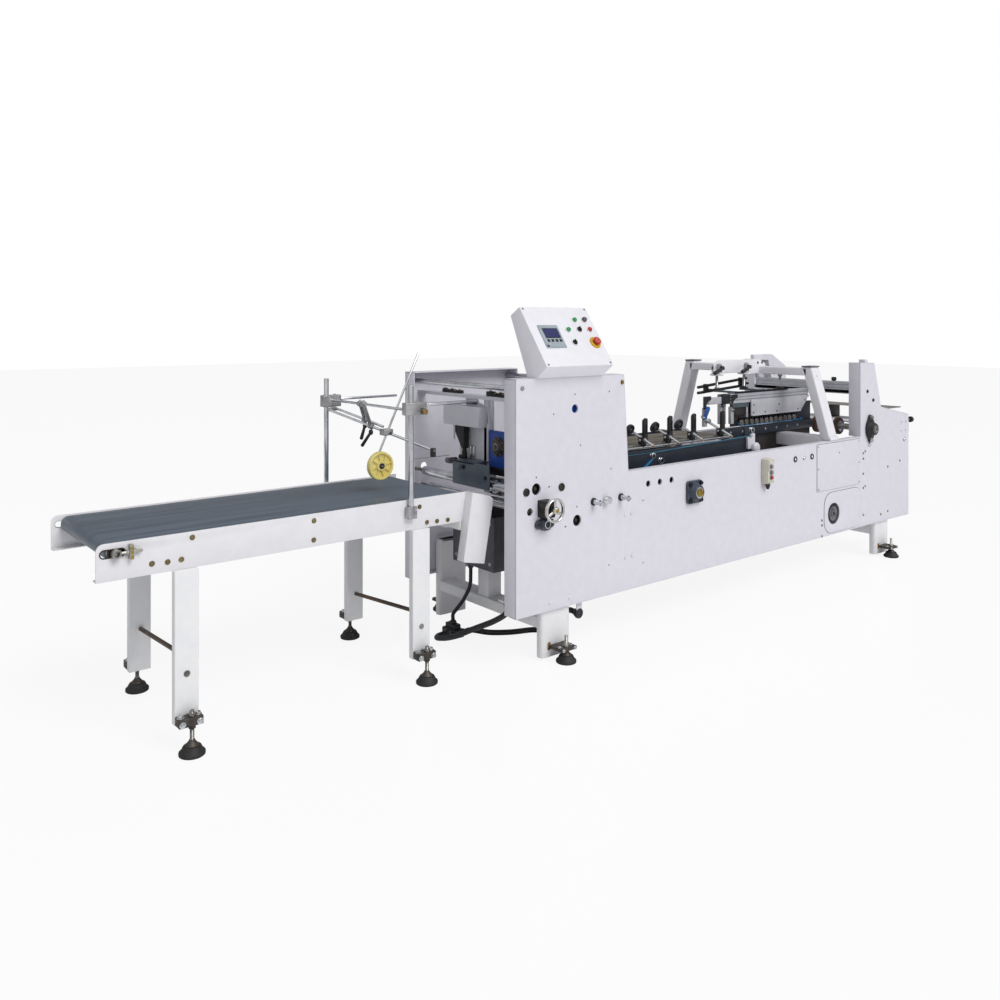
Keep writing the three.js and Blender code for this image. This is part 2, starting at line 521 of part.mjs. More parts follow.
// Round holes of the front panel, as shares of its length and height, with their radii
const holeRadius = { small: 4, tie: 5, screw: 9, large: 26, mid: 17, blue: 20, triple: 16, port: 67, far: 20 };
const frontHoleShares = [
  [0.1017, 0.8592, 'blue'], [0.0337, 0.5313, 'large'], [0.0231, 0.4388, 'mid'], [0.1055, 0.3664, 'large'],
  [0.0844, 0.3491, 'tie'], [0.0556, 0.5333, 'tie'], [0.2455, 0.4764, 'triple'], [0.2703, 0.4764, 'triple'],
  [0.2957, 0.4764, 'triple'], [0.7297, 0.1234, 'port'], [0.1017, 0.9229, 'small'], [0.1663, 0.9248, 'small'],
  [0.0637, 0.8428, 'small'], [0.1118, 0.6953, 'small'], [0.1695, 0.5719, 'small'], [0.0337, 0.5815, 'small'],
  [0.1052, 0.4272, 'small'], [0.2343, 0.4021, 'small'], [0.1657, 0.1369, 'small'], [0.2343, 0.109, 'small'],
  [0.9709, 0.6027, 'tie'], [0.9888, 0.6027, 'tie'], [0.9709, 0.5477, 'tie'], [0.9888, 0.5477, 'tie'],
];
const rearHoleShares = [[0.032, 0.5313, 'far']];
const panelAt = (share) => [share[0] * machine.length, mix(machine.bottom, machine.top, share[1])];
function fold(x0, x1, z0, z1, deep, side) {
  const inner = side.face + side.inward * deep;
  return box(x0, x1, Math.min(side.face, inner), Math.max(side.face, inner), z0, z1);
}
function panelSolid(side, holes) {
  const back = side.face + side.inward * machine.sheet;
  const t = panel.foldSheet;
  const deepFace = side.face + side.inward * panel.fold;
  const near = Math.min(side.face, deepFace);
  const far = Math.max(side.face, deepFace);
  const solid = join([
    slab('y', Math.min(side.face, back), Math.max(side.face, back), panelOutline),
    fold(0, t, machine.bottom, machine.top, panel.fold, side),
    fold(0, panel.tallTop, machine.top - t, machine.top, panel.fold, side),
    slab('y', near, far, [[panel.tallTop, machine.top], [panel.tallTop - t, machine.top],
      [panel.tallFoot - t, machine.saddle], [panel.tallFoot, machine.saddle]]),
    fold(panel.tallFoot - t, panel.uprightLeft + t, machine.saddle - t, machine.saddle, panel.saddleFold, side),
    fold(panel.uprightLeft, panel.uprightLeft + t, machine.saddle - t, panel.uprightEdge, panel.fold, side),
    slab('y', near, far, [[panel.uprightLeft, panel.uprightHigh], [panel.uprightLeft, panel.uprightHigh - t],
      [panel.uprightTop, panel.uprightEdge - t], [panel.uprightTop, panel.uprightEdge]]),
    slab('y', near, far, [[panel.uprightTop, panel.uprightEdge], [panel.uprightTop - t, panel.uprightEdge],
      [panel.kneeX - t, panel.kneeZ], [panel.kneeX, panel.kneeZ]]),
    slab('y', near, far, [[panel.slopeX, panel.slopeZ], [panel.slopeX, panel.slopeZ - t],
      [machine.length, panel.endZ - t], [machine.length, panel.endZ]]),
    fold(machine.length - t, machine.length, machine.bottom, panel.endZ, panel.saddleFold, side),
    fold(0, machine.length, machine.bottom, machine.bottom + t, panel.saddleFold, side),
  ]);
  const drills = holes.map((share) => {
    const [x, z] = panelAt(share);
    const r = holeRadius[share[2]];
    return barY(Math.min(side.face, back) - over, Math.max(side.face, back) + over, x, z, r,
      r > holeRadius.mid ? facets.some : facets.few);
  });
  return cut(solid, drills);
}
const [near, far] = sides;
part('front_side_panel', panelSolid(near, frontHoleShares), whitePaint);
part('rear_side_panel', panelSolid(far, rearHoleShares), whitePaint);

// Main legs behind the panels, with two floor crossbeams and the tie shafts between the panels
const inner = { front: machine.sheet, rear: machine.width - machine.sheet };
const crossbeam = { x: 163, wide: 100, low: 142, high: 192, second: mainLeg.x1 - mainLeg.x0 };
const legGuide = machine.saddle - machine.bottom;
const legTopShare = 0.3;
const legTop = machine.bottom + legGuide * legTopShare;
[mainLeg.x0, mainLeg.x1].forEach((legX, i) => sides.forEach((side) => {
  const outer = side.face + side.inward * mainLeg.inset;
  const back = outer + side.inward * mainLeg.deep;
  const tube = rounded(legX, legX + mainLeg.wide, Math.min(outer, back), Math.max(outer, back), mainLeg.corner);
  const shelf = side.face + side.inward * (machine.sheet + fit);
  part(mainNames[i], [
    cut(slab('z', mainLeg.bottom, legTop, tube), [
      slab('z', mainLeg.bottom - over, legTop - mainLeg.wall, rounded(legX + mainLeg.wall,
        legX + mainLeg.wide - mainLeg.wall, Math.min(outer, back) + mainLeg.wall,
        Math.max(outer, back) - mainLeg.wall, mainLeg.corner - mainLeg.wall)),
      fold(legX - over, legX + mainLeg.wide + over, machine.bottom - fit, machine.bottom + panel.foldSheet + fit,
        panel.saddleFold + fit, side),
    ]),
    box(legX + mainLeg.corner, legX + mainLeg.wide - mainLeg.corner,
      Math.min(shelf, back), Math.max(shelf, back), legTop - mainLeg.wall * 2, legTop),
  ], legPaint);
}));
const legBack = mainLeg.inset + mainLeg.deep - over;
[0, crossbeam.second].forEach((shift, i) => {
  const x = crossbeam.x + mainLeg.inset / 2 + shift;
  part(mainNames[i], cut(box(x, x + crossbeam.wide, legBack, machine.width - legBack, crossbeam.low, crossbeam.high), [
    box(x + mainLeg.wall, x + crossbeam.wide - mainLeg.wall, legBack + mainLeg.deep, machine.width - legBack - mainLeg.deep,
      crossbeam.low - over, crossbeam.high - mainLeg.wall),
  ]), legPaint);
});
// Drive box on a column over the left crossbeam, with a gland for its cable
const driveBox = { x0: 120, x1: 300, y0: 300, y1: 620, z0: 345, z1: 600, column: 80, gland: 14, glandDown: 16, wall: 3 };
const dropAt = { x: 138, y: 500 };
// Docking bracket that carries the conveyor's right end under its rails
const dock = { right: 10, wide: 40, high: 39, armHigh: 30, armWide: 50, armY: 360, armDrop: 20 };
const dockRight = conveyor.right - dock.right;
const dockTop = conveyor.bottom - fit;
part('left_main_legs', [
  cut(box(dockRight - dock.wide, dockRight, railInner.front + fit, railInner.rear - fit, dockTop - dock.high, dockTop), [
    box(dockRight - dock.wide + driveBox.wall, dockRight - driveBox.wall, railInner.front + fit + driveBox.wall,
      railInner.rear - fit - driveBox.wall, dockTop - dock.high - over, dockTop - driveBox.wall),
  ]),
  box(dockRight - over, driveBox.x0 + over, dock.armY, dock.armY + dock.armWide,
    dockTop - dock.high - dock.armDrop, dockTop - dock.high + dock.armHigh - dock.armDrop),
], legPaint);
part('left_main_legs', [
  cut(box(driveBox.x0, driveBox.x1, driveBox.y0, driveBox.y1, driveBox.z0, driveBox.z1), [
    box(driveBox.x0 + driveBox.wall, driveBox.x1 - driveBox.wall, driveBox.y0 + driveBox.wall,
      driveBox.y1 - driveBox.wall, driveBox.z0 + driveBox.wall, driveBox.z1 + over),
  ]),
  box(crossbeam.x + mainLeg.inset, crossbeam.x + mainLeg.inset + driveBox.column,
    (driveBox.y0 + driveBox.y1) / 2 - driveBox.column / 2, (driveBox.y0 + driveBox.y1) / 2 + driveBox.column / 2,
    crossbeam.high - over, driveBox.z0 + over),
  barZ(driveBox.z0 - driveBox.glandDown, driveBox.z0 + over, dropAt.x, dropAt.y, driveBox.gland, 12),
], legPaint);
// Tie shafts between the side panels, fixed in the far one
const tie = {
  r: 13, x0: 35, z0: 1220, fromTall: 20, z1: 1225, mid: fromEnd('tieMid'), midZ: 330, end: fromEnd('tieEnd'), endZ: 300,
};
part('rear_side_panel', [
  [tie.x0, tie.z0], [panel.tallTop - tie.fromTall, tie.z1], [tie.mid, tie.midZ], [tie.end, tie.endZ],
].map(
  ([x, z]) => barY(inner.front + fit, inner.rear + over, x, z, tie.r, 20)), whitePaint);

// Screws, plugs and rings on the faces, as shares of the panel
const head = { r: 9, high: 5, dome: 10, domeHigh: 7, ring: 18, ringHole: 11, plug: 17, small: 5, smallHigh: 3 };
const faceScrewShares = [[0.0101, 0.9614], [0.1916, 0.9633], [0.845, 0.8197], [0.8657, 0.7628]];
const paintedShares = [
  [0.198, 0.351], [0.2107, 0.3529], [0.1983, 0.1543], [0.2118, 0.1562], [0.0573, 0.0357], [0.0919, 0.0366],
];
const domeShares = [[0.8524, 0.49], [0.9821, 0.4889], [0.638, 0.4754]];
const fastenerPieces = [];
for (const [shares, r, high, count] of [
  [faceScrewShares, head.r, head.high, 6], [paintedShares, head.small * 2, head.smallHigh * 2, 10],
  [domeShares, head.dome, head.domeHigh, 10],
]) {
  for (const share of shares) {
    const [x, z] = panelAt(share);
    fastenerPieces.push(bar([x, over, z], [x, -high, z], r, count, r * 0.7));
  }
}
part('front_side_panel', fastenerPieces, whitePaint);
const ringShares = [[0.0167, 0.5246], [0.0772, 0.5246]];
const plugShares = [[0.6118, 0.4773], [0.6617, 0.4773]];
part('front_side_panel', [
  ...ringShares.map((share) => {
    const [x, z] = panelAt(share);
    return cut(barY(-head.high, over, x, z, head.ring, 16), [barY(-head.high - over, 0, x, z, head.ringHole, 16)]);
  }),
  ...plugShares.map((share) => {
    const [x, z] = panelAt(share);
    return barY(-head.high, over, x, z, head.plug, 16);
  }),
], whitePaint);

// Conveyor bolts, as shares of the rail's length and height
const railBoltShares = [
  [0.1178, 0.2891], [0.1524, 0.2656], [0.1831, 0.2734], [0.2081, 0.8359], [0.5141, 0.7891], [0.5134, 0.2031],
  [0.8304, 0.7188], [0.8547, 0.1641], [0.888, 0.1484], [0.9245, 0.1328],
];
for (const share of railBoltShares) {
  const x = mix(conveyor.left, conveyor.right, share[0]);
  const z = mix(conveyor.bottom, conveyor.top, share[1]);
  const half = conveyor.sheet / 2;
  part('conveyor_front_rail', bar([x, conveyor.front + half, z], [x, conveyor.front - head.high, z], head.r, 8, head.r / 2),
    whitePaint);
  part('conveyor_rear_rail', bar([x, conveyor.rear - half, z], [x, conveyor.rear + head.high, z], head.r, 8, head.r / 2),
    whitePaint);
}

// Covers on the front panel: the access cover and the rounded cover round the port
const cover = {
  sheet: 3, x0: fromEnd('coverLeft'), x1: fromEnd('coverRight'), z0: 503, z1: 787, corner: 8,
  roundLeft: fromEnd('roundLeft'), roundRight: fromEnd('roundRight'), roundLow: 240, roundHigh: 486, roundCorner: 80,
};
const [portX, portZ] = panelAt(frontHoleShares[9]);
part('access_cover',
  slab('y', -fit - cover.sheet, -fit, rounded(cover.x0, cover.x1, cover.z0, cover.z1, cover.corner, 2)), whitePaint);
part('front_side_panel', slab('y', -cover.sheet, over,
  rounded(cover.roundLeft, cover.roundRight, cover.roundLow, cover.roundHigh, cover.roundCorner, 6)), whitePaint);

// Dark disc with a grey hub seen in the port, on the inner side of the panel
const port = { disc: 64, hub: 30, hubOut: 6, deep: 24, backing: 72 };
part('port_pulley', join([
  barY(fit, port.deep, portX, portZ, port.disc, 28),
  barY(-port.hubOut, port.deep, portX, portZ, port.hub, 20),
  barY(port.deep - over, machine.width - machine.sheet - fit, portX, portZ, port.hub / 2, 16),
]), darkSteel);

// Control box: a sheet box tilted back on a neck above the tall end
const control = {
  x0: 115, wide: 415, faceTopY: 113, faceTopZ: 317, faceLowY: -73, faceLowZ: 53, neckFront: -7, neckBack: 57,
  backLowY: 14, backLowZ: 33, backTopY: 175, backTopZ: 278, wall: 3, wallIn: 14, hole: 40,
};
const boxBase = machine.top + fit;
const boxOutline = [
  [control.faceTopY, machine.top + control.faceTopZ], [control.faceLowY, machine.top + control.faceLowZ],
  [control.neckFront, boxBase], [control.neckBack, boxBase], [control.backLowY + control.neckBack, boxBase + control.backLowZ],
  [control.backTopY, machine.top + control.backTopZ],
];
// The shell is cut by the same outline drawn in by its wall, and stays open down through the neck
const controlMid = boxOutline.reduce((sum, [y, z]) => [sum[0] + y / boxOutline.length, sum[1] + z / boxOutline.length], [0, 0]);
const cavity = boxOutline.map(([y, z]) => {
  const reach = Math.hypot(y - controlMid[0], z - controlMid[1]);
  const share = (reach - control.wallIn) / reach;
  return [mix(controlMid[0], y, share), mix(controlMid[1], z, share)];
});
part('control_box', cut(slab('x', control.x0, control.x0 + control.wide, boxOutline), [
  slab('x', control.x0 + control.wall, control.x0 + control.wide - control.wall, cavity),
  box(control.x0 + control.wide / 2 - control.hole, control.x0 + control.wide / 2 + control.hole,
    control.neckFront + control.wallIn, control.neckFront + control.wallIn * 2, boxBase - over, boxBase + control.backLowZ),
]), whitePaint);
const faceLow = new THREE.Vector3(control.x0, control.faceLowY, machine.top + control.faceLowZ);
const faceUp = new THREE.Vector3(0, control.faceTopY - control.faceLowY, control.faceTopZ - control.faceLowZ);
const faceHigh = faceUp.length();
faceUp.normalize();
const faceOut = new THREE.Vector3(0, -faceUp.z, faceUp.y);
const faceAt = (across, up, out) => [
  faceLow.x + across, faceLow.y + faceUp.y * up + faceOut.y * out, faceLow.z + faceUp.z * up + faceOut.z * out];
// A flat block on the sloping face, from shares of its width and height
function faceBlock(a0, a1, u0, u1, out0, out1) {
  const geometry = new THREE.BoxGeometry(a1 - a0, u1 - u0, out1 - out0);
  geometry.applyMatrix4(new THREE.Matrix4().makeBasis(new THREE.Vector3(1, 0, 0), faceUp, faceOut.clone()));
  geometry.translate(...faceAt((a0 + a1) / 2, (u0 + u1) / 2, (out0 + out1) / 2));
  return solidOf(geometry);
}
const facePin = (a, u, out0, out1, r, count = 16, r2 = r) => bar(faceAt(a, u, out0), faceAt(a, u, out1), r, count, r2);
const W = control.wide;
const H = faceHigh;
const displayShares = { left: 0.12, right: 0.41, low: 0.3, high: 0.68, lcdLeft: 0.165, lcdRight: 0.375, lcdLow: 0.47, lcdHigh: 0.61 };
const bezel = { frame: 5, lcd: 1.5, key: 3, keyHalf: 8 };
part('control_box', [
  faceBlock(W * displayShares.left, W * displayShares.right, H * displayShares.low, H * displayShares.high,
    -over, bezel.frame),
  faceBlock(W * displayShares.lcdLeft, W * displayShares.lcdRight,
    H * displayShares.lcdLow, H * displayShares.lcdHigh, 0, bezel.frame + bezel.lcd),
], whitePaint);
const keyShares = [0.182, 0.24, 0.3, 0.359];
const keyUpShare = 0.415;
part('control_box', keyShares.map((share) => faceBlock(W * share - bezel.keyHalf, W * share + bezel.keyHalf,
  H * keyUpShare - bezel.keyHalf, H * keyUpShare + bezel.keyHalf, 0, bezel.frame + bezel.key)), whitePaint);
// Controls on the face: share across, share up
const controlShares = {
  green_button_upper: [0.718, 0.768], green_button_lower: [0.552, 0.6], speed_knob: [0.866, 0.768],
  selector_upper: [0.722, 0.601], red_button: [0.883, 0.601], selector_lower: [0.559, 0.381],
  e_stop_button: [0.875, 0.375],
};
const press = { ring: 15, ringHigh: 5, cap: 10.5, capHigh: 9, stopRing: 30, stopHigh: 8, stem: 11, stop: 20, stopOut: 26 };
const screwShare = 0.035;
const bezelPieces = [];
for (const [name, share] of Object.entries(controlShares)) {
  const [a, u] = [W * share[0], H * share[1]];
  const isStop = name === 'e_stop_button';
  const ring = isStop ? press.stopRing : press.ring;
  const high = isStop ? press.stopHigh : press.ringHigh;
  const hole = isStop ? press.stem : press.cap;
  bezelPieces.push(cut(facePin(a, u, -over, high, ring, 20), [facePin(a, u, 0, high + over, boreFor(hole), 20)]));
}
part('control_box', bezelPieces, whitePaint);
const cornerScrews = [];
for (const a of [screwShare, 1 - screwShare]) {
  for (const u of [screwShare, 1 - screwShare]) {
    cornerScrews.push(facePin(W * a, H * u, -over, head.high, head.small, 8));
  }
}
part('control_box', cornerScrews, whitePaint);
function placed(name) {
  return [W * controlShares[name][0], H * controlShares[name][1]];
}
const travel = { button: 4, stop: 6 };
function pushButton(name, material) {
  const [a, u] = placed(name);
  part(name, facePin(a, u, travel.button + fit, travel.button + fit + press.capHigh, press.cap, 20), material);
}
pushButton('green_button_upper', green);
pushButton('green_button_lower', green);
pushButton('red_button', red);
function selector(name) {
  const [a, u] = placed(name);
  const base = press.ringHigh + fit;
  part(name, join([
    facePin(a, u, fit, base + press.capHigh, press.cap, 20),
    facePin(a, u, base, base + press.capHigh / 2, press.ring - over / 2, 20),
    faceBlock(a - over / 2, a + over / 2, u - press.ring + over, u + press.ring - over,
      base, base + press.capHigh + press.ringHigh),
  ]), black);
}
selector('selector_upper');
selector('selector_lower');
const [knobA, knobU] = placed('speed_knob');
part('speed_knob', join([
  facePin(knobA, knobU, fit, press.ringHigh + press.capHigh, press.cap, 20),
  facePin(knobA, knobU, press.ringHigh + fit, press.ringHigh + press.capHigh + over, press.ring - over / 2, 12, press.cap),
]), grey);
const [stopA, stopU] = placed('e_stop_button');
part('e_stop_button', join([
  facePin(stopA, stopU, travel.stop + fit, press.stopOut, press.stem, 20),
  facePin(stopA, stopU, press.stopOut - press.capHigh, press.stopOut, press.stop, 24, press.stop * 0.92),
]), red);

// Handwheel on its shaft, in the dark housing on the panel, and the bearing housings
const hand = {
  x: 165, z: 690, rim: 55, rimThick: 8, front: -78, back: -58, hub: 17, spokes: 3, spoke: 6, shaft: 8,
  housing: 62, housingHigh: 75, housingDeep: 50, housingX: 155, housingZ: 692,
};
const housingLeft = hand.housingX - hand.housing / 2;
const shaftHole = barY(-hand.housingDeep - over, 0, hand.x, hand.z, boreFor(hand.shaft), 16);
part('front_side_panel', cut(box(housingLeft, housingLeft + hand.housing, -hand.housingDeep, over,
  hand.housingZ - hand.housingHigh / 2, hand.housingZ + hand.housingHigh / 2), [shaftHole]), whitePaint);
const rimMid = (hand.front + hand.back) / 2;
part('handwheel', join([
  cut(barY(hand.front, hand.back, hand.x, hand.z, hand.rim, 32),
    [barY(hand.front - over, hand.back + over, hand.x, hand.z, hand.rim - hand.rimThick, 32)]),
  barY(hand.front - hand.spoke, hand.back, hand.x, hand.z, hand.hub, 20),
  barY(hand.back - over, -fit, hand.x, hand.z, hand.shaft, 16),
  ...span(hand.spokes).map((i) => {
    const turn = Math.PI / 2 + 2 * Math.PI * i / hand.spokes;
    const at = (r) => [hand.x + r * Math.cos(turn), rimMid, hand.z + r * Math.sin(turn)];
    return bar(at(hand.hub / 2), at(hand.rim - hand.rimThick / 2), hand.spoke, 8);
  }),
]), chrome);
const flange = {
  square: 117, squareX: 1195, squareZ: 644, plate: 16, body: 36, out: 45, bolt: 73, r: 16, ear: 45,
  earX: 160, earZ: 622, earRound: 20, earBody: 27, earOut: 30, uprightX: fromEnd('bearing'), uprightZ: 840, corner: 16,
  shaft: 20,
};
function earPlate(x, z, across, along, half, round) {
  const points = [];
  for (const end of [1, -1]) {
    for (let i = 0; i <= 6; i++) {
      const turn = (end > 0 ? -Math.PI / 2 : Math.PI / 2) + Math.PI * i / 6;
      points.push([end * half + round * Math.cos(turn), round * Math.sin(turn)]);
    }
  }
  const sized = points.map(([a, b]) => [x + a * along + b * across, z + a * across + b * along]);
  return slab('y', -flange.plate, -fit, sized);
}
const shaftTools = [
  barY(-flange.out - over, over, flange.squareX, flange.squareZ, boreFor(flange.shaft), 20),
  barY(-flange.out - over, over, flange.uprightX, flange.uprightZ, boreFor(flange.shaft), 20),
];
part('drive_bearing', cut(join([
  slab('y', -flange.plate, -fit, rounded(flange.squareX - flange.square / 2, flange.squareX + flange.square / 2,
    flange.squareZ - flange.square / 2, flange.squareZ + flange.square / 2, flange.corner, 3)),
  bar([flange.squareX, -flange.plate + over, flange.squareZ], [flange.squareX, -flange.out, flange.squareZ],
    flange.square / 2 - flange.corner / 2, 24, flange.body),
]), shaftTools), navy);
part('feeder_bearing', cut(join([
  earPlate(flange.uprightX, flange.uprightZ, 1, 0, flange.bolt, flange.r),
  bar([flange.uprightX, -fit, flange.uprightZ], [flange.uprightX, -flange.out, flange.uprightZ],
    flange.bolt - flange.r / 2, 24, flange.body),
]), shaftTools), navy);
part('front_side_panel', [
  slab('y', -flange.plate, over, rounded(flange.earX - flange.ear - flange.earRound / 2,
    flange.earX + flange.ear + flange.earRound / 2, flange.earZ - flange.earRound, flange.earZ + flange.earRound,
    flange.earRound, 4)),
  barY(-flange.earOut, over, flange.earX, flange.earZ, flange.earBody, 20),
], whitePaint);
function throughShaft(x, z, radius, out, extra) {
  return join([barY(-out, machine.width - machine.sheet - fit, x, z, radius, 20), ...extra]);
}
// The panel opens round each shaft that runs out to its bearing
const shaftOut = 6;
const mainShaft = throughShaft(flange.squareX, flange.squareZ, flange.shaft, flange.out + shaftOut, []);
const feederRings = { r: 55, first: 200, wide: 26, spread: 300 };
const feederShaftSolid = throughShaft(flange.uprightX, flange.uprightZ, flange.shaft, flange.out + shaftOut,
  [0, 1, 2].map((i) => barY(feederRings.first + i * feederRings.spread / 2, feederRings.first + feederRings.wide
    + i * feederRings.spread / 2, flange.uprightX, flange.uprightZ, feederRings.r, 24)));
part('main_drive_shaft', mainShaft, brass);
part('feeder_shaft', feederShaftSolid, chrome);

// Shaft ends and the small knob on the tall end
const ends = { ring: 18, x0: 471, x1: 655, z: 681, out0: 55, out1: 62, shaft: 9, ringDeep: 9, knobX: 550, knob: 18, knobOut: 30, shoulder: 12 };
part('front_side_panel', [
  ...[[ends.x0, ends.out0], [ends.x1, ends.out1]].map(([x, out]) => join([
    barY(-out, over, x, ends.z, ends.shaft, 14),
    barY(-ends.ringDeep, over, x, ends.z, ends.ring, 18),
    barY(-out + ends.shaft, -out + ends.shaft * 2, x, ends.z, ends.shoulder, 14),
  ])),
  barY(-ends.knobOut, -ends.ringDeep, ends.knobX, ends.z, ends.knob, 16),
  barY(-ends.ringDeep - over, over, ends.knobX, ends.z, ends.shaft, 14),
], whitePaint);

// Switch box with three push buttons and a cable gland below
const box3 = {
  x0: 1790, x1: 1851, deep: 43, z0: 620, z1: 755, bx: 1820, button: 9, gland: 14, glandDown: 32, out: 8,
  rim: 13, rimHigh: 5,
};
const switchShares = [0.71, 0.465, 0.26];
part('switch_box', join([
  box(box3.x0, box3.x1, -box3.deep, -fit, box3.z0, box3.z1),
  bar([box3.bx, -box3.deep / 2, box3.z0 + over], [box3.bx, -box3.deep / 2, box3.z0 - box3.glandDown], box3.gland, 10, box3.gland / 2),
]), legPaint);
const switchNames = ['switch_button_top', 'switch_button_middle', 'switch_button_bottom'];
switchNames.forEach((name, i) => {
  const z = mix(box3.z0, box3.z1, switchShares[i]);
  part('switch_box', cut(barY(-box3.deep - box3.rimHigh, -box3.deep + over, box3.bx, z, box3.rim, 16),
    [barY(-box3.deep - box3.rimHigh - over, -box3.deep, box3.bx, z, box3.button + fit, 16)]), legPaint);
  part(name, barY(-box3.deep - fit - box3.out - travel.button, -box3.deep - fit - travel.button, box3.bx, z, box3.button, 16),
    i === 2 ? red : grey);
});

// Press rollers in the left opening, each on a stepped shaft into the panels
const pressRoller = { upX: 58, upZ: 772, lowX: 98, lowZ: 688, r: 22, shaft: 9, edge: 92 };
function pressRollerSolid(x, z) {
  return join([
    barY(pressRoller.edge, machine.width - pressRoller.edge, x, z, pressRoller.r, 24),
    barY(inner.front + fit, inner.rear - fit, x, z, pressRoller.shaft, 14),
  ]);
}
part('press_roller_upper', pressRollerSolid(pressRoller.upX, pressRoller.upZ), chrome);
part('press_roller_lower', pressRollerSolid(pressRoller.lowX, pressRoller.lowZ), chrome);

// Press unit: cross plates hung from the tie shafts, with the valve, cylinder and bearing plate
const unit = {
  plateX: 112, plate: 10, y0: 325, y1: 505, z0: 800, z1: 1132, round: 90, capX: 60, capY0: 340, capY1: 618,
  capZ0: 1020, capZ1: 1116, darkX: 22, darkY0: 219, darkY1: 491, darkZ0: 752, darkZ1: 864, railZ: 1170, railHalf: 16,
  valveY: 500, valveZ: 919, valveR: 22, regY: 478, regR: 12, hanger: 30,
  blueY0: 190, blueZ0: 840, blueZ1: 1010, hubY: 257, hubZ: 939, blueR: 31,
  flangeY0: 221, flangeY1: 309, flangeZ0: 716, flangeZ1: 795, strip: 40,
};
const unitPlate = slab('x', unit.plateX, unit.plateX + unit.plate, [
  [unit.y1, unit.z0], [unit.y1, unit.z1], ...span(6).map((i) => {
    const turn = Math.PI / 2 * (1 + i / 5);
    return [unit.y0 + unit.round * (1 + Math.cos(turn)), unit.z1 - unit.round * (1 - Math.sin(turn))];
  }), [unit.y0, unit.z0],
]);
part('press_unit', [
  unitPlate,
  box(unit.capX, unit.plateX + over, unit.capY0, unit.capY1, unit.capZ0, unit.capZ1),
  box(unit.plateX, unit.plateX + unit.plate * 4, unit.y0 + unit.plate, unit.y0 + unit.plate + unit.hanger,
    unit.z0, unit.railZ),
  box(unit.darkX, unit.darkX + unit.plate, unit.darkY0, unit.darkY1, unit.darkZ0, unit.darkZ1),
  box(unit.darkX, unit.plateX + over, unit.y0, unit.darkY1, unit.darkZ1 - unit.plate, unit.darkZ1),
  box(unit.capX + unit.plate, unit.plateX + unit.plate, machine.sheet + fit, inner.rear - fit,
    unit.railZ - unit.railHalf, unit.railZ),
  box(unit.plateX, unit.plateX + unit.plate, unit.y0 + unit.round, unit.y1, unit.z1 - unit.plate, unit.railZ - unit.plate),
  barZ(unit.valveZ, unit.capZ0 + over, unit.capX + unit.valveR, unit.valveY, unit.valveR, 14),
  barZ(unit.darkZ1 - unit.plate / 2, unit.valveZ + over, unit.capX + unit.valveR, unit.regY, unit.regR, 12),
  box(unit.plateX, unit.plateX + unit.plate, unit.y0 - unit.strip, unit.y0 + unit.strip, unit.flangeZ0, unit.z0 + over),
  box(unit.plateX, unit.plateX + unit.plate * 2, unit.flangeY0, unit.flangeY1, unit.flangeZ0, unit.flangeZ1),
], steel);
part('press_unit', join([
  box(unit.plateX, unit.plateX + unit.plate * 1.5, unit.blueY0, unit.y0 + over, unit.blueZ0, unit.blueZ1),
  barX(unit.plateX - unit.plate * 1.5, unit.plateX + unit.plate / 2, unit.hubY, unit.hubZ, unit.blueR, 24),
  box(unit.plateX, unit.plateX + unit.plate * 1.5, machine.sheet + fit, unit.blueY0 + over,
    unit.blueZ1 - unit.blueR, unit.blueZ1),
]), blue);

// Folding section: two carrier beams with guide bars above, on end plates
const carrier = {
  y: 165, thick: 12, x0: 640, x1: 1950, z0: 700, z1: 852, endX: 60, pulley: 16, pulleyOut: 12,
  guideY0: 240, guideZ0: 866, guideR0: 9, guideY1: 206, guideZ1: 854, guideR1: 7, plateY0: 310, plateY1: 420,
  plateZ: 865, plateThick: 8, guideEnd: 1800, cross: 40, crossZ: 760,
};
const farY = machine.width - carrier.y;
const pulleyShares = [[0.3282, 0.7964], [0.3786, 0.5921]];
const carrierPieces = [
  box(carrier.x0, carrier.x1, carrier.y, carrier.y + carrier.thick, carrier.z0, carrier.z1),
  box(carrier.x0, carrier.x1, farY - carrier.thick, farY, carrier.z0, carrier.z1),
  ...[0, 1].map((i) => {
    const x = i === 0 ? carrier.x0 + carrier.cross : carrier.x1 - carrier.cross * 3;
    return box(x, x + carrier.cross, inner.front + fit, inner.rear - fit, carrier.z0 - carrier.cross + over, carrier.z0 + over);
  }),
  ...pulleyShares.map((share) => barY(carrier.y - carrier.pulleyOut, carrier.y + over,
    mix(carrier.x0, carrier.x1, share[0]), mix(carrier.z0, carrier.z1, share[1]), carrier.pulley, 16)),
  box(carrier.x1 - carrier.cross * 2, carrier.x1, carrier.y, carrier.y + carrier.thick, carrier.z1 - over,
    carrier.z1 + carrier.cross + carrier.pulley),
  barY(carrier.y - carrier.pulleyOut, carrier.y + over, carrier.x1 - carrier.cross / 2,
    carrier.z1 + carrier.cross, carrier.pulley, 16),
];
part('carrier_beams', carrierPieces, navy);
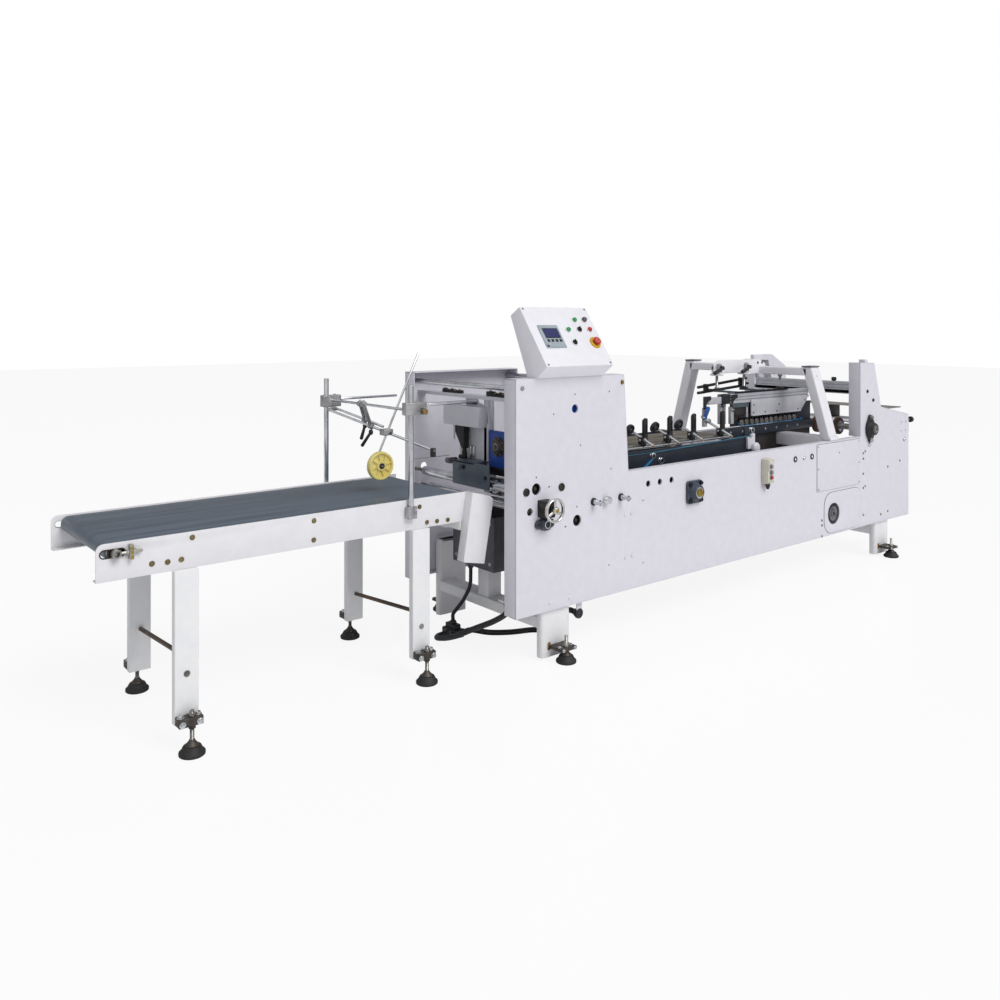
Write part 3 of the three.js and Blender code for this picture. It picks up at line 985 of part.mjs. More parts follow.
// Lower feeder carrier, carried on a cross member from the end of the front beam
const lower = {
  y: 350, thick: 24, x1: fromEnd('lowerEnd'), z0: 826, z1: 880, crossHigh: 20, sideX: fromEnd('sideLeft'),
  sideHigh: 1000, sideThick: 10,
};
part('carrier_beams', [
  box(carrier.x1 - carrier.cross, carrier.x1, carrier.y + over, lower.y + over, lower.z0, lower.z0 + lower.crossHigh),
  box(carrier.x1 - carrier.cross, lower.x1, lower.y, lower.y + lower.thick, lower.z0, lower.z1),
  box(lower.sideX, lower.x1, lower.y + lower.thick - over, lower.y + lower.thick + lower.sideThick, lower.z0, lower.sideHigh),
], navy);
const rest = carrier.z1 + fit;
part('guide_bars', [
  barX(carrier.x0, carrier.guideEnd, carrier.guideY0, carrier.guideZ0, carrier.guideR0, 14),
  barX(carrier.x0, carrier.guideEnd, carrier.guideY1, carrier.guideZ1 + carrier.guideR1, carrier.guideR1, 14),
  box(carrier.x0, carrier.guideEnd, carrier.plateY0, carrier.plateY1, carrier.plateZ - carrier.plateThick, carrier.plateZ),
  box(carrier.x0, carrier.guideEnd, machine.width - carrier.plateY1, machine.width - carrier.plateY0,
    carrier.plateZ - carrier.plateThick, carrier.plateZ),
  ...[0.06, 0.5, 0.94].map((share) => {
    const x = mix(carrier.x0, carrier.guideEnd, share);
    return box(x, x + carrier.cross, carrier.y, farY, rest, rest + carrier.plateThick);
  }),
], steel);

// Blue belt that runs down from the first pulley into the machine
const strap = { thick: 3, wide: 20, drop: 70, back: 117 };
const strapTop = [mix(carrier.x0, carrier.x1, pulleyShares[0][0]), mix(carrier.z0, carrier.z1, pulleyShares[0][1])];
part('carrier_beams', [
  beam([strapTop[0] - strap.back, carrier.y - strap.wide / 2 + over, strapTop[1] - strap.drop - carrier.pulley],
    [strapTop[0] - carrier.pulley / 2, carrier.y - strap.wide / 2 + over, strapTop[1] - carrier.pulley - strap.thick],
    strap.wide, strap.thick),
  box(strapTop[0] + carrier.pulley + strap.thick, carrier.x1 - carrier.cross * 2, carrier.y - strap.thick, carrier.y + over,
    carrier.z1 - strap.wide, carrier.z1 - strap.wide / 2),
], navy);

// Hold-down arms across the carriers, each with a post; three carry a free wheel
const arms = {
  xs: [0.3282, 0.4817, 0.6351, 0.8328], y0: 150, z0: 852, y1: 315, z1: 920, r: 7, clampY: 218, clampZ: 881,
  clampHalf: 16, postHalf: 14, postDeep: 9, postLow: 889, postHigh: 991, wheel: 31, wheelWide: 16, lift: 18,
};
const armZ = (y) => mix(arms.z0, arms.z1, (y - arms.y0) / (arms.y1 - arms.y0)) + arms.lift;
const armXs = arms.xs.map((share) => mix(carrier.x0, carrier.x1, share));
const holdDownPieces = [];
for (const x of armXs) {
  holdDownPieces.push(bar([x, arms.y0, armZ(arms.y0)], [x, arms.y1, armZ(arms.y1)], arms.r, 12));
  holdDownPieces.push(box(x - arms.clampHalf, x + arms.clampHalf, arms.clampY, arms.clampY + arms.clampHalf * 2,
    carrier.guideZ0, armZ(arms.clampY + arms.clampHalf) + arms.r));
}
part('guide_bars', holdDownPieces, steel);
part('guide_bars', armXs.map((x) => slab('z', arms.postLow, arms.postHigh + arms.lift,
  rounded(x + over, x + over + arms.postHalf * 2, arms.clampY + over, arms.clampY + arms.postDeep * 2 + over,
    arms.postDeep / 2, 3))), steel);
const wheelY = arms.y1 - arms.wheelWide;
const slope = (arms.z1 - arms.z0) / (arms.y1 - arms.y0);
const endWay = new THREE.Vector3(0, 1, slope).normalize();
['hold_down_wheel_1', 'hold_down_wheel_2', 'hold_down_wheel_3'].forEach((name, i) => {
  const base = [armXs[i], arms.y1, armZ(arms.y1)];
  const out = (s) => [base[0], base[1] + endWay.y * s, base[2] + endWay.z * s];
  part(name, bar(out(fit), out(arms.wheelWide), arms.wheel, 24), black);
});
part('guide_bars', beam([armXs[3], arms.y1 - over, armZ(arms.y1)], [armXs[3], wheelY + arms.wheel * 2, armZ(arms.y1) + arms.wheel],
  arms.clampHalf, arms.postDeep), steel);

// Gantry over the folding section, Z-shaped seen from above
const gantry = {
  x0: fromEnd('gantryLeft'), x1: fromEnd('gantryRight'), legY: 62, topFrontY: 129, topZ: 1238, barLow: 1186, barHigh: 1232,
  barY: 470, gussetY: 595, plateLow: 1090, rearX0: fromEnd('rearLeft'), rearX1: fromEnd('rearRight'), rearTopY: 735,
  rearTopZ: 1273, rearBarLow: 1219, rearBarHigh: 1263, rearBarY: 484, bridgeY: 524, bridgeThick: 10, bridgeLow: 1198,
  bridgeHigh: 1278, chamfer: 30, tubeDown: 55, tubeHigh: 78, tubeEnd: 503,
  cap: 8, capOver: 3,
};
const seat = machine.saddle + fit;
const tubeLow = machine.saddle - gantry.tubeDown;
const tubeTop = tubeLow + gantry.tubeHigh;
const gantrySolid = join([
  slab('x', gantry.x0, gantry.x1, [[0, seat], [gantry.legY, seat], [gantry.topFrontY + gantry.legY, gantry.topZ],
    [gantry.topFrontY, gantry.topZ]]),
  box(gantry.x0, gantry.x1, gantry.topFrontY + gantry.legY / 2, gantry.bridgeY + gantry.bridgeThick, gantry.barLow, gantry.barHigh),
  slab('x', gantry.rearX0, gantry.rearX1, [[machine.width - gantry.legY, seat], [machine.width, seat],
    [gantry.rearTopY, gantry.rearTopZ], [gantry.rearTopY - gantry.legY, gantry.rearTopZ]]),
  box(gantry.rearX0, gantry.rearX1, gantry.bridgeY - gantry.bridgeThick, gantry.rearTopY - gantry.legY / 2,
    gantry.rearBarLow, gantry.rearBarHigh),
  slab('y', gantry.bridgeY - gantry.bridgeThick, gantry.bridgeY + gantry.bridgeThick, [
    [gantry.rearX0, gantry.bridgeLow], [gantry.x1, gantry.bridgeLow], [gantry.x1, gantry.bridgeHigh - gantry.chamfer],
    [gantry.x1 - gantry.chamfer * 2, gantry.bridgeHigh], [gantry.rearX0 + gantry.chamfer * 2, gantry.bridgeHigh],
    [gantry.rearX0, gantry.bridgeHigh - gantry.chamfer]]),
]);
part('gantry_frame', gantrySolid, whitePaint);
part('gantry_frame', [
  box(gantry.x0 - gantry.capOver, gantry.x1 + gantry.capOver, gantry.topFrontY - gantry.capOver,
    gantry.topFrontY + gantry.legY + gantry.capOver, gantry.topZ - over, gantry.topZ + gantry.cap),
  box(gantry.rearX0 - gantry.capOver, gantry.rearX1 + gantry.capOver, gantry.rearTopY - gantry.legY - gantry.capOver,
    gantry.rearTopY + gantry.capOver, gantry.rearTopZ - over, gantry.rearTopZ + gantry.cap),
], whitePaint);
part('gantry_frame', cut(box(gantry.x0, gantry.x1, gantry.legY - over, gantry.tubeEnd, tubeLow, tubeTop), [
  box(gantry.x0 + over, gantry.x1 - over, gantry.legY * 2, inner.rear, tubeLow + over, tubeTop - over),
]), whitePaint);

// Height screws under the bridge, the clamp blocks and ratchet levers before it, and the upper carrier
const screws = {
  r: 9, first: fromEnd('screwFirst'), second: fromEnd('screwSecond'), third: fromEnd('screwThird'), head: 20, headHigh: 12,
};
const upper = {
  y: 376, half: 26, x0: fromEnd('upperLeft'), x1: fromEnd('upperRight'), z0: 1027, z1: 1085, plateY: 350, plateThick: 8,
  plateX0: fromEnd('plateLeft'), plateX1: fromEnd('plateRight'), plateLow: 942, plateHigh: 1026, bearing: 18,
  bearingWide: 14, pitch: 51, count: 12, firstX: fromEnd('rowFirst'), bearingZ: 905,
  stripLow: 895, stripHigh: 980, cross: 160, groove: 8,
};
const screwPlaces = [[screws.first, gantry.bridgeY], [screws.second, gantry.bridgeY]];
const bridgeLower = gantry.bridgeLow - fit;
part('upper_carrier', screwPlaces.map(([x, y]) => join([
  barZ(upper.z1, bridgeLower, x, y, screws.r, 14),
  barZ(bridgeLower - screws.headHigh, bridgeLower, x, y, screws.head, 14),
])), steel);
part('upper_carrier', barZ(upper.z1 - over, gantry.barLow - fit, screws.third, upper.y, screws.r, 14), steel);
const levers = {
  long: 118, hub: 12, hubDeep: 16, drop: 30, r: 6, rEnd: 9, block: 14, blockDeep: 20, blockLow: 1205, blockHigh: 1255,
};
const blockFront = gantry.bridgeY - gantry.bridgeThick - levers.blockDeep;
part('gantry_frame', screwPlaces.map(([x]) => box(x - levers.block, x + levers.block, blockFront,
  gantry.bridgeY - gantry.bridgeThick + over, levers.blockLow, levers.blockHigh)), whitePaint);
screwPlaces.forEach(([x], i) => {
  const z = (levers.blockLow + levers.blockHigh) / 2 + over;
  const hubFront = blockFront - fit - levers.hubDeep;
  part(i === 0 ? 'gantry_lever_a' : 'gantry_lever_b', join([
    barY(hubFront, blockFront - fit, x, z, levers.hub, 14),
    bar([x, hubFront + levers.hub / 2, z], [x - levers.long, hubFront + levers.hub / 2, z - levers.drop],
      levers.r, 12, levers.rEnd),
  ]), black);
});
const upperBeam = cut(box(upper.x0, upper.x1, upper.y - upper.half, upper.y + upper.half, upper.z0, upper.z1), [
  box(upper.x0 - over, upper.x1 + over, upper.y - upper.half - over, upper.y - upper.half + upper.groove,
    upper.z0 + upper.groove * 2, upper.z0 + upper.groove * 3),
  box(upper.x0 - over, upper.x1 + over, upper.y - upper.half - over, upper.y - upper.half + upper.groove,
    upper.z1 - upper.groove * 3, upper.z1 - upper.groove * 2),
]);
part('upper_carrier', join([
  upperBeam,
  box(upper.x0 + upper.cross / 4, gantry.x1, upper.y - upper.half, gantry.bridgeY + screws.head, upper.z1 - over,
    upper.z1 + gantry.bridgeThick),
]), steel);
part('upper_carrier', slab('y', upper.plateY - upper.plateThick, upper.plateY + over, [
  [upper.plateX0, upper.plateHigh], [upper.plateX0, upper.plateLow], [upper.plateX1 - upper.cross / 2, upper.plateLow],
  [upper.plateX1, upper.plateHigh - upper.groove], [upper.plateX1, upper.z0 + upper.groove * 2 - fit],
  [upper.plateX0, upper.z0 + upper.groove * 2 - fit],
]), steel);
const bearingPieces = span(upper.count).map((i) => barY(upper.plateY + fit + over, upper.plateY + upper.bearingWide + over,
  upper.firstX + i * upper.pitch, upper.bearingZ, upper.bearing, 12));
const stripX1 = upper.firstX + (upper.count - 1) * upper.pitch;
part('upper_carrier', [
  ...bearingPieces,
  box(upper.firstX, stripX1, upper.plateY + upper.bearingWide, upper.plateY + upper.bearingWide * 2,
    upper.bearingZ - over, upper.bearingZ + over),
  ...[0.1, 0.9].map((share) => {
    const x = mix(upper.firstX, stripX1, share);
    return box(x, x + upper.bearing, upper.plateY + upper.bearingWide, upper.plateY + upper.bearingWide * 2,
      upper.bearingZ, upper.z0 + over);
  }),
], steel);
part('upper_carrier', box(upper.firstX - upper.bearing, stripX1 + upper.cross / 2, upper.plateY + over, upper.plateY + upper.bearingWide,
  upper.bearingZ - upper.bearing - strap.thick, upper.bearingZ - upper.bearing + over / 2), steel);

// Dark bracket and hangers at the left end of the upper carrier
const dark = { hanger: 60, hangerLow: 905, thick: 10 };
part('upper_carrier', [
  box(upper.x0 - dark.hanger, upper.x0 + over, upper.y - upper.half, upper.y + upper.half, upper.z0, upper.z1),
  box(upper.x0 - dark.hanger, upper.x0 - dark.hanger + dark.thick, upper.y, upper.y + upper.half, dark.hangerLow, upper.z1),
  box(upper.x0 - dark.thick * 2, upper.x0 - dark.thick, upper.y, upper.y + upper.half, dark.hangerLow, upper.z1),
], black);

// Feeder: crossbar between the uprights, hood on the far side, bracket and knob at the right end
const feeder = {
  barX0: fromEnd('barLeft'), barX1: fromEnd('barRight'), barLow: 1060, barHigh: 1137, knobY: 200, knob: 16, knobHigh: 26,
  hoodTop: 1290, hoodX0: fromEnd('hoodLeft'), hoodX1: fromEnd('hoodMid'), hoodX2: fromEnd('hoodRight'), hoodZ2: 1200,
  hoodLow: 940, sheet: 4, table: 12,
};
part('feeder_crossbar', join([
  box(feeder.barX0, feeder.barX1, panel.fold + over, machine.width - panel.fold - over, feeder.barLow, feeder.barHigh),
  box(feeder.barX0, feeder.barX1, inner.front + fit, inner.rear - fit, feeder.barLow + feeder.sheet, feeder.barLow + feeder.knobHigh),
  barZ(feeder.barHigh - over, feeder.barHigh + feeder.knobHigh, (feeder.barX0 + feeder.barX1) / 2, feeder.knobY, feeder.knob, 14),
]), steel);
part('rear_side_panel', slab('y', inner.rear - feeder.table * 2, inner.rear + over, [
  [feeder.hoodX0 + feeder.table * 2, panel.uprightEdge - feeder.table * 2], [feeder.hoodX0 + feeder.table * 2, feeder.hoodTop],
  [feeder.hoodX1, feeder.hoodTop], [feeder.hoodX2, feeder.hoodZ2], [feeder.hoodX2, feeder.hoodLow],
  [panel.kneeX + feeder.table * 2, panel.kneeZ + feeder.table * 2], [panel.kneeX - feeder.table * 2, panel.kneeZ + feeder.table],
]), whitePaint);
const topCap = { in: 72, end: 66, y0: 10, y1: 52, rise: 18 };
part('front_side_panel', box(panel.uprightLeft + topCap.in, panel.uprightTop - topCap.end, topCap.y0, topCap.y1,
  panel.uprightEdge - over, panel.uprightHigh + topCap.rise), whitePaint);
const table = {
  x0: fromEnd('tableLeft'), x1: fromEnd('tableRight'), low: 845, thick: 10, bracketOut: 30, bracketLow: 790,
  bracketHigh: 880, knobZ: 860, knobOut: 80,
};
part('rear_side_panel', box(table.x0, table.x1, inner.front + fit, inner.rear + over, table.low, table.low + table.thick),
  whitePaint);
part('front_side_panel', box(machine.length - over, machine.length + table.thick, over, table.bracketOut + over,
  table.bracketLow, table.bracketHigh), whitePaint);
part('end_knob', join([
  barX(machine.length + table.thick + fit, machine.length + table.knobOut, over + table.bracketOut / 2, table.knobZ, feeder.knob / 2, 12),
  barX(machine.length + table.knobOut - feeder.knobHigh, machine.length + table.knobOut, over + table.bracketOut / 2,
    table.knobZ, feeder.knob + over, 16),
]), black);

// Connector cluster that lies on the floor, and the fixed ends of the hoses
const plugs = { x0: 38, x1: 100, y0: 500, y1: 600, high: 62, low: 40, gland: 17, out: 12, hose: 13, cable: 9 };
const riserTop = { x: 30, y: 100, z: 277, tab: 8, half: 22 };
const floorEnd = { x: 414, y: 60, z: 166, r: 24, deep: 30, strap: 6, half: 16 };
const plugY = (plugs.y0 + plugs.y1) / 2;
const plugX = (plugs.x0 + plugs.x1) / 2;
const riserStart = [plugs.x0 - plugs.out, plugY, plugs.low / 2];
const floorStart = [plugs.x1 + plugs.out, plugY - plugs.gland * 2, plugs.low / 2];
part('hose_connectors', join([
  box(plugs.x0, plugs.x1, plugs.y0, plugs.y1, 0, plugs.low),
  box(plugs.x0 + plugs.out, plugs.x1 - plugs.out, plugs.y0 + plugs.out, plugs.y1 - plugs.out, plugs.low - over, plugs.high),
  barX(riserStart[0], plugs.x0 + over, riserStart[1], riserStart[2], plugs.gland, 12),
  barX(plugs.x1 - over, floorStart[0], floorStart[1], floorStart[2], plugs.gland, 12),
  barZ(plugs.high - over, plugs.high + plugs.out, plugX, plugY, plugs.gland, 12),
]), black);
part('front_side_panel', [
  box(0, riserTop.x + riserTop.half, panel.fold - over, riserTop.y + riserTop.half, riserTop.z + over,
    riserTop.z + over + riserTop.tab),
  barZ(riserTop.z, riserTop.z + over * 2, riserTop.x, riserTop.y, plugs.gland, 12),
  box(floorEnd.x - floorEnd.half, floorEnd.x + floorEnd.half, panel.saddleFold - floorEnd.strap, panel.saddleFold,
    floorEnd.z, machine.bottom + over),
  barY(panel.saddleFold - floorEnd.strap, floorEnd.y, floorEnd.x, floorEnd.z, floorEnd.r, 16),
], whitePaint);

// Openings of the front panel round the shafts that run out to their bearings
const openings = { clear: 3 };
const frontStore = store.get('front_side_panel');
frontStore.solids = [cut(join(frontStore.solids), [
  barY(-over, machine.sheet + over, flange.squareX, flange.squareZ, flange.shaft + openings.clear, 20),
  barY(-over, machine.sheet + over, flange.uprightX, flange.uprightZ, flange.shaft + openings.clear, 20),
  barY(-over, machine.sheet + over, portX, portZ, holeRadius.port, 20),
])];

const group = new THREE.Group();
for (const [name, stored] of store) group.add(meshOf(name, stored));

// The origin is the middle of the box of the whole object, on the floor
const bounds = new THREE.Box3().setFromObject(group);
const centre = bounds.getCenter(new THREE.Vector3());
group.position.set(-centre.x, -centre.y, -bounds.min.z);
console.log('origin offset', centre.x, centre.y, bounds.min.z);

// Cable and hoses: plain tubes along their routes, laid on the floor where they are long
function cord(name, radius, points) {
  const path = new THREE.CatmullRomCurve3(points.map((point) => new THREE.Vector3(...point)), false, 'centripetal');
  const section = new THREE.Shape(span(10).map((i) => new THREE.Vector2(
    radius * Math.cos(2 * Math.PI * i / 10), radius * Math.sin(2 * Math.PI * i / 10))));
  const geometry = new THREE.ExtrudeGeometry(section, {
    extrudePath: path, steps: Math.round(path.getLength() / (radius * 5)), bevelEnabled: false,
  });
  const mesh = meshOf(name, { solids: [solidOf(geometry)], material: black });
  group.add(mesh);
}
const cableZ = { top: driveBox.z0 - driveBox.glandDown - fit, low: plugs.high + plugs.out + fit };
cord('drop_cable', plugs.cable, [
  [dropAt.x, dropAt.y, cableZ.top], [dropAt.x, dropAt.y, cableZ.top - 30], [136, 504, 240], [112, 530, 165],
  [80, 548, 118], [plugX, plugY, cableZ.low + 30], [plugX, plugY, cableZ.low],
]);
cord('riser_hose', plugs.hose, [
  [riserStart[0] - fit, riserStart[1], riserStart[2]], [riserStart[0] - 35, riserStart[1], riserStart[2]],
  [-60, 500, 32], [-58, 400, 60], [-20, 260, 130], [18, 150, 190], [riserTop.x, riserTop.y, riserTop.z - 45],
  [riserTop.x, riserTop.y, riserTop.z - fit],
]);
cord('floor_hose', plugs.hose, [
  [floorStart[0] + fit, floorStart[1], floorStart[2]], [floorStart[0] + 36, floorStart[1], floorStart[2]],
  [205, 440, 16], [290, 380, 15], [390, 340, 15], [440, 270, 24], [438, 180, 90], [420, 130, 150],
  [floorEnd.x, floorEnd.y + 40, floorEnd.z], [floorEnd.x, floorEnd.y + fit, floorEnd.z],
]);

export default group;
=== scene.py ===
# Paper folding machine with a delivery conveyor. Lengths in the sections are the machine's own
# millimetres: x from the front panel's left end, y from its face to the far side, z from the floor.
import math

import bpy
from mathutils import Matrix, Vector


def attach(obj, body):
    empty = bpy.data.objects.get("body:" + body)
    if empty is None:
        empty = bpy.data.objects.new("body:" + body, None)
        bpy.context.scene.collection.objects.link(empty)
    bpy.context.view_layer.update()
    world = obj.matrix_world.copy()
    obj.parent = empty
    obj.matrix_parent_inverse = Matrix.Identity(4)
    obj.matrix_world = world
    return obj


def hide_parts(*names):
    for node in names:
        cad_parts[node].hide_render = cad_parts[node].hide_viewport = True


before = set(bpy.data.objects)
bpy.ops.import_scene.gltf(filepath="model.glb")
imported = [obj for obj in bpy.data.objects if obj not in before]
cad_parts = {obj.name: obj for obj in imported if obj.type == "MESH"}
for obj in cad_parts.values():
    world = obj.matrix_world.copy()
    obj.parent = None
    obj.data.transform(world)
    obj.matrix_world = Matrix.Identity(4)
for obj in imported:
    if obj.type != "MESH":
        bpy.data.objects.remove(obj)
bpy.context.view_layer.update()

# Camera
# It stands at the conveyor's end on the operator's side, level, as in the photograph.
camera = bpy.data.objects.new("camera", bpy.data.cameras.new("camera"))
bpy.context.scene.collection.objects.link(camera)
camera.location = (-3.467, -3.394, 1.5)
camera.rotation_euler = (math.radians(90), 0, math.radians(-39.12))
camera.data.lens = 32.51
camera.data.sensor_width = 36
camera.data.shift_x = 0.0045
camera.data.shift_y = -0.175
bpy.context.scene.camera = camera

# Cable and hoses
# A flexible cable drops from the drive box into a cluster of connectors that lies on the floor. Two
# thicker hoses of black plastic run from the cluster to the front panel and to a gland under it.
def at(x, y, z):
    """A place in the machine's millimetres as a point of the frame in metres."""
    return Vector(((x - 944) / 1000, (y - 432) / 1000, z / 1000))


def linear(sheen):
    """An sRGB hex colour as the linear colour that a shader takes."""
    parts = [int(sheen[i:i + 2], 16) / 255 for i in (0, 2, 4)]
    return [p / 12.92 if p <= 0.04045 else ((p + 0.055) / 1.055) ** 2.4 for p in parts] + [1.0]


def add(tree, kind, settings, links):
    """Adds one node to a tree with its settings, then links its inputs."""
    made = tree.nodes.new("ShaderNode" + kind)
    for key, value in settings.items():
        if isinstance(key, int) or key in made.inputs:
            made.inputs[key].default_value = value
        else:
            setattr(made, key, value)
    for key, source in links.items():
        tree.links.new(source, made.inputs[key])
    return made


def finish_of(name, metallic, roughness, ior=1.45):
    """Starts a material: its shader with its plain values, and the Object coordinates."""
    material = bpy.data.materials.new(name)
    material.use_nodes = True
    tree = material.node_tree
    shader = tree.nodes["Principled BSDF"]
    shader.inputs["Metallic"].default_value = metallic
    shader.inputs["Roughness"].default_value = roughness
    if not metallic:
        shader.inputs["IOR"].default_value = ior
    return material, tree, shader, add(tree, "TexCoord", {}, {}).outputs["Object"]


def mottled(name, light, dark, grain, metallic, roughness, bump, span=0.12):
    """A finish with two close colours in soft patches of a size in mm, uneven gloss and a fine bump."""
    material, tree, shader, coords = finish_of(name, metallic, roughness)
    patches = add(tree, "TexNoise", {"Scale": 1000 / (grain * 12), "Detail": 4.0}, {"Vector": coords})
    fine = add(tree, "TexNoise", {"Scale": 1000 / grain, "Detail": 3.0}, {"Vector": coords})
    both = add(tree, "Math", {"operation": "MULTIPLY_ADD", 1: 0.35},
        {0: fine.outputs[0], 2: patches.outputs[0]})
    ramp = add(tree, "ValToRGB", {}, {0: both.outputs[0]})
    ramp.color_ramp.elements[0].position = 0.45
    ramp.color_ramp.elements[1].position = 0.85
    ramp.color_ramp.elements[0].color = linear(dark)
    ramp.color_ramp.elements[1].color = linear(light)
    tree.links.new(ramp.outputs[0], shader.inputs["Base Color"])
    gloss = add(tree, "MapRange", {"To Min": roughness - span / 2, "To Max": roughness + span / 2},
        {"Value": patches.outputs[0]})
    tree.links.new(gloss.outputs[0], shader.inputs["Roughness"])
    if bump:
        relief = add(tree, "Bump", {"Strength": bump, "Distance": 0.0004}, {"Height": fine.outputs[0]})
        tree.links.new(relief.outputs[0], shader.inputs["Normal"])
    return material


# Extruded plasticised PVC and polyamide: near black, matt, with a faint grain from the die
cable_jacket = mottled("cable_jacket_pvc", "1c1d20", "101114", 3.0, 0, 0.48, 0.15)
hose_jacket = mottled("hose_polyamide", "202226", "121316", 4.0, 0, 0.4, 0.2)


def flexible(name, radius, route, material):
    """A round cord on one smooth curve through the points of its route."""
    curve = bpy.data.curves.new(name, "CURVE")
    curve.dimensions = "3D"
    curve.bevel_depth = radius / 1000
    curve.bevel_resolution = 5
    curve.resolution_u = 10
    line = curve.splines.new("BEZIER")
    line.bezier_points.add(len(route) - 1)
    for knot, point in zip(line.bezier_points, route):
        knot.co = at(*point)
        knot.handle_left_type = knot.handle_right_type = "AUTO"
    curve.materials.append(material)
    cord = bpy.data.objects.new(name, curve)
    bpy.context.scene.collection.objects.link(cord)
    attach(cord, "machine")
    return cord


def smooth_route(points, each=4):
    """Points along one even curve through the given ones."""
    ends = [2 * Vector(points[0]) - Vector(points[1]), *map(Vector, points),
        2 * Vector(points[-1]) - Vector(points[-2])]
    made = []
    for a, b, c, d in zip(ends, ends[1:], ends[2:], ends[3:]):
        steps = [0]
        for p, q in ((a, b), (b, c), (c, d)):
            steps.append(steps[-1] + math.sqrt((q - p).length))
        for i in range(each):
            t = steps[1] + (steps[2] - steps[1]) * i / each
            ab = a.lerp(b, (t - steps[0]) / (steps[1] - steps[0]))
            bc = b.lerp(c, (t - steps[1]) / (steps[2] - steps[1]))
            cd = c.lerp(d, (t - steps[2]) / (steps[3] - steps[2]))
            abc = ab.lerp(bc, (t - steps[0]) / (steps[2] - steps[0]))
            bcd = bc.lerp(cd, (t - steps[1]) / (steps[3] - steps[1]))
            made.append(abc.lerp(bcd, (t - steps[1]) / (steps[2] - steps[1])))
    return [tuple(p) for p in made] + [tuple(points[-1])]


drop_route = smooth_route([
    (138, 500, 328.7), (138, 500, 298.7), (136, 504, 240), (112, 530, 165), (80, 548, 118),
    (69, 550, 104.3), (69, 550, 74.3)])
riser_route = smooth_route([
    (25.7, 550, 20), (-9, 550, 20), (-60, 500, 32), (-58, 400, 60), (-20, 260, 130), (18, 150, 190),
    (30, 100, 232), (30, 100, 276.7)])
floor_route = smooth_route([
    (112.3, 516, 20), (148, 516, 20), (205, 440, 16), (290, 380, 15), (390, 340, 15), (440, 270, 24),
    (438, 180, 90), (420, 130, 150), (414, 100, 166), (414, 60.3, 166)])
drop_cord = flexible("drop_cable_flex", 9, drop_route, cable_jacket)
riser_cord = flexible("riser_hose_flex", 13, riser_route, hose_jacket)
floor_cord = flexible("floor_hose_flex", 13, floor_route, hose_jacket)
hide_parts("drop_cable")
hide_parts("riser_hose")
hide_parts("floor_hose")


# Floor and light
# A plain pale studio floor that keeps a soft reflection and a faint shadow, under one wide lamp
# from the front right and an even sky. The sky that the pieces mirror is brighter overhead and
# towards the camera, and the camera itself sees plain white round the object.
bpy.ops.object.select_all(action="DESELECT")
bpy.ops.mesh.primitive_plane_add(size=60, location=(0, 0, 0))
floor = bpy.context.object
floor.name = "floor"
floor_paint = bpy.data.materials.new("floor_paint")
floor_paint.use_nodes = True
tree = floor_paint.node_tree
tree.nodes["Principled BSDF"].inputs["Base Color"].default_value = linear("ffffff")
tree.nodes["Principled BSDF"].inputs["Roughness"].default_value = 0.22
tree.nodes["Principled BSDF"].inputs["IOR"].default_value = 1.5
path = add(tree, "LightPath", {}, {})
seen = add(tree, "Math", {"operation": "MULTIPLY", 1: 0.88}, {0: path.outputs["Is Camera Ray"]})
white = add(tree, "Emission", {"Color": linear("ffffff"), "Strength": 1.0}, {})
blended = add(tree, "MixShader", {}, {0: seen.outputs[0], 1: tree.nodes["Principled BSDF"].outputs[0],
    2: white.outputs[0]})
tree.links.new(blended.outputs[0], tree.nodes["Material Output"].inputs["Surface"])
floor.data.materials.append(floor_paint)

world = bpy.data.worlds.new("studio")
bpy.context.scene.world = world
world.use_nodes = True
tree = world.node_tree
path = add(tree, "LightPath", {}, {})
glossy = add(tree, "Math", {"operation": "ADD"}, {0: path.outputs["Is Camera Ray"],
    1: path.outputs["Is Transmission Ray"]})
even = add(tree, "Background", {"Color": linear("f6f7fa"), "Strength": 0.52}, {})
height = add(tree, "SeparateXYZ", {}, {0: add(tree, "TexCoord", {}, {}).outputs["Generated"]})
rise = add(tree, "MapRange", {"From Min": -0.2, "From Max": 0.75, "To Min": 0.35, "To Max": 1.0},
    {"Value": height.outputs["Z"]})
away = add(tree, "Math", {"operation": "ADD"}, {0: height.outputs["X"], 1: height.outputs["Y"]})
dim = add(tree, "MapRange", {"From Min": -1.1, "From Max": 1.1, "To Min": 1.15, "To Max": 0.35},
    {"Value": away.outputs[0]})
reflected = add(tree, "Math", {"operation": "MULTIPLY"}, {0: rise.outputs[0], 1: dim.outputs[0]})
mirror = add(tree, "Background", {"Color": linear("ffffff")}, {"Strength": reflected.outputs[0]})
open_sky = add(tree, "Background", {"Color": linear("ffffff"), "Strength": 1.0}, {})
first = add(tree, "MixShader", {}, {0: path.outputs["Is Glossy Ray"], 1: even.outputs[0],
    2: mirror.outputs[0]})
second = add(tree, "MixShader", {}, {0: glossy.outputs[0], 1: first.outputs[0], 2: open_sky.outputs[0]})
tree.links.new(second.outputs[0], tree.nodes["World Output"].inputs["Surface"])
bpy.context.scene.view_settings.view_transform = "Standard"

lamp = bpy.data.objects.new("soft_lamp", bpy.data.lights.new("soft_lamp", "SUN"))
lamp.data.energy = 1.62
lamp.data.angle = math.radians(32)
lamp.rotation_euler = Vector((0.1, -0.72, 0.7)).to_track_quat("Z", "Y").to_euler()
bpy.context.scene.collection.objects.link(lamp)

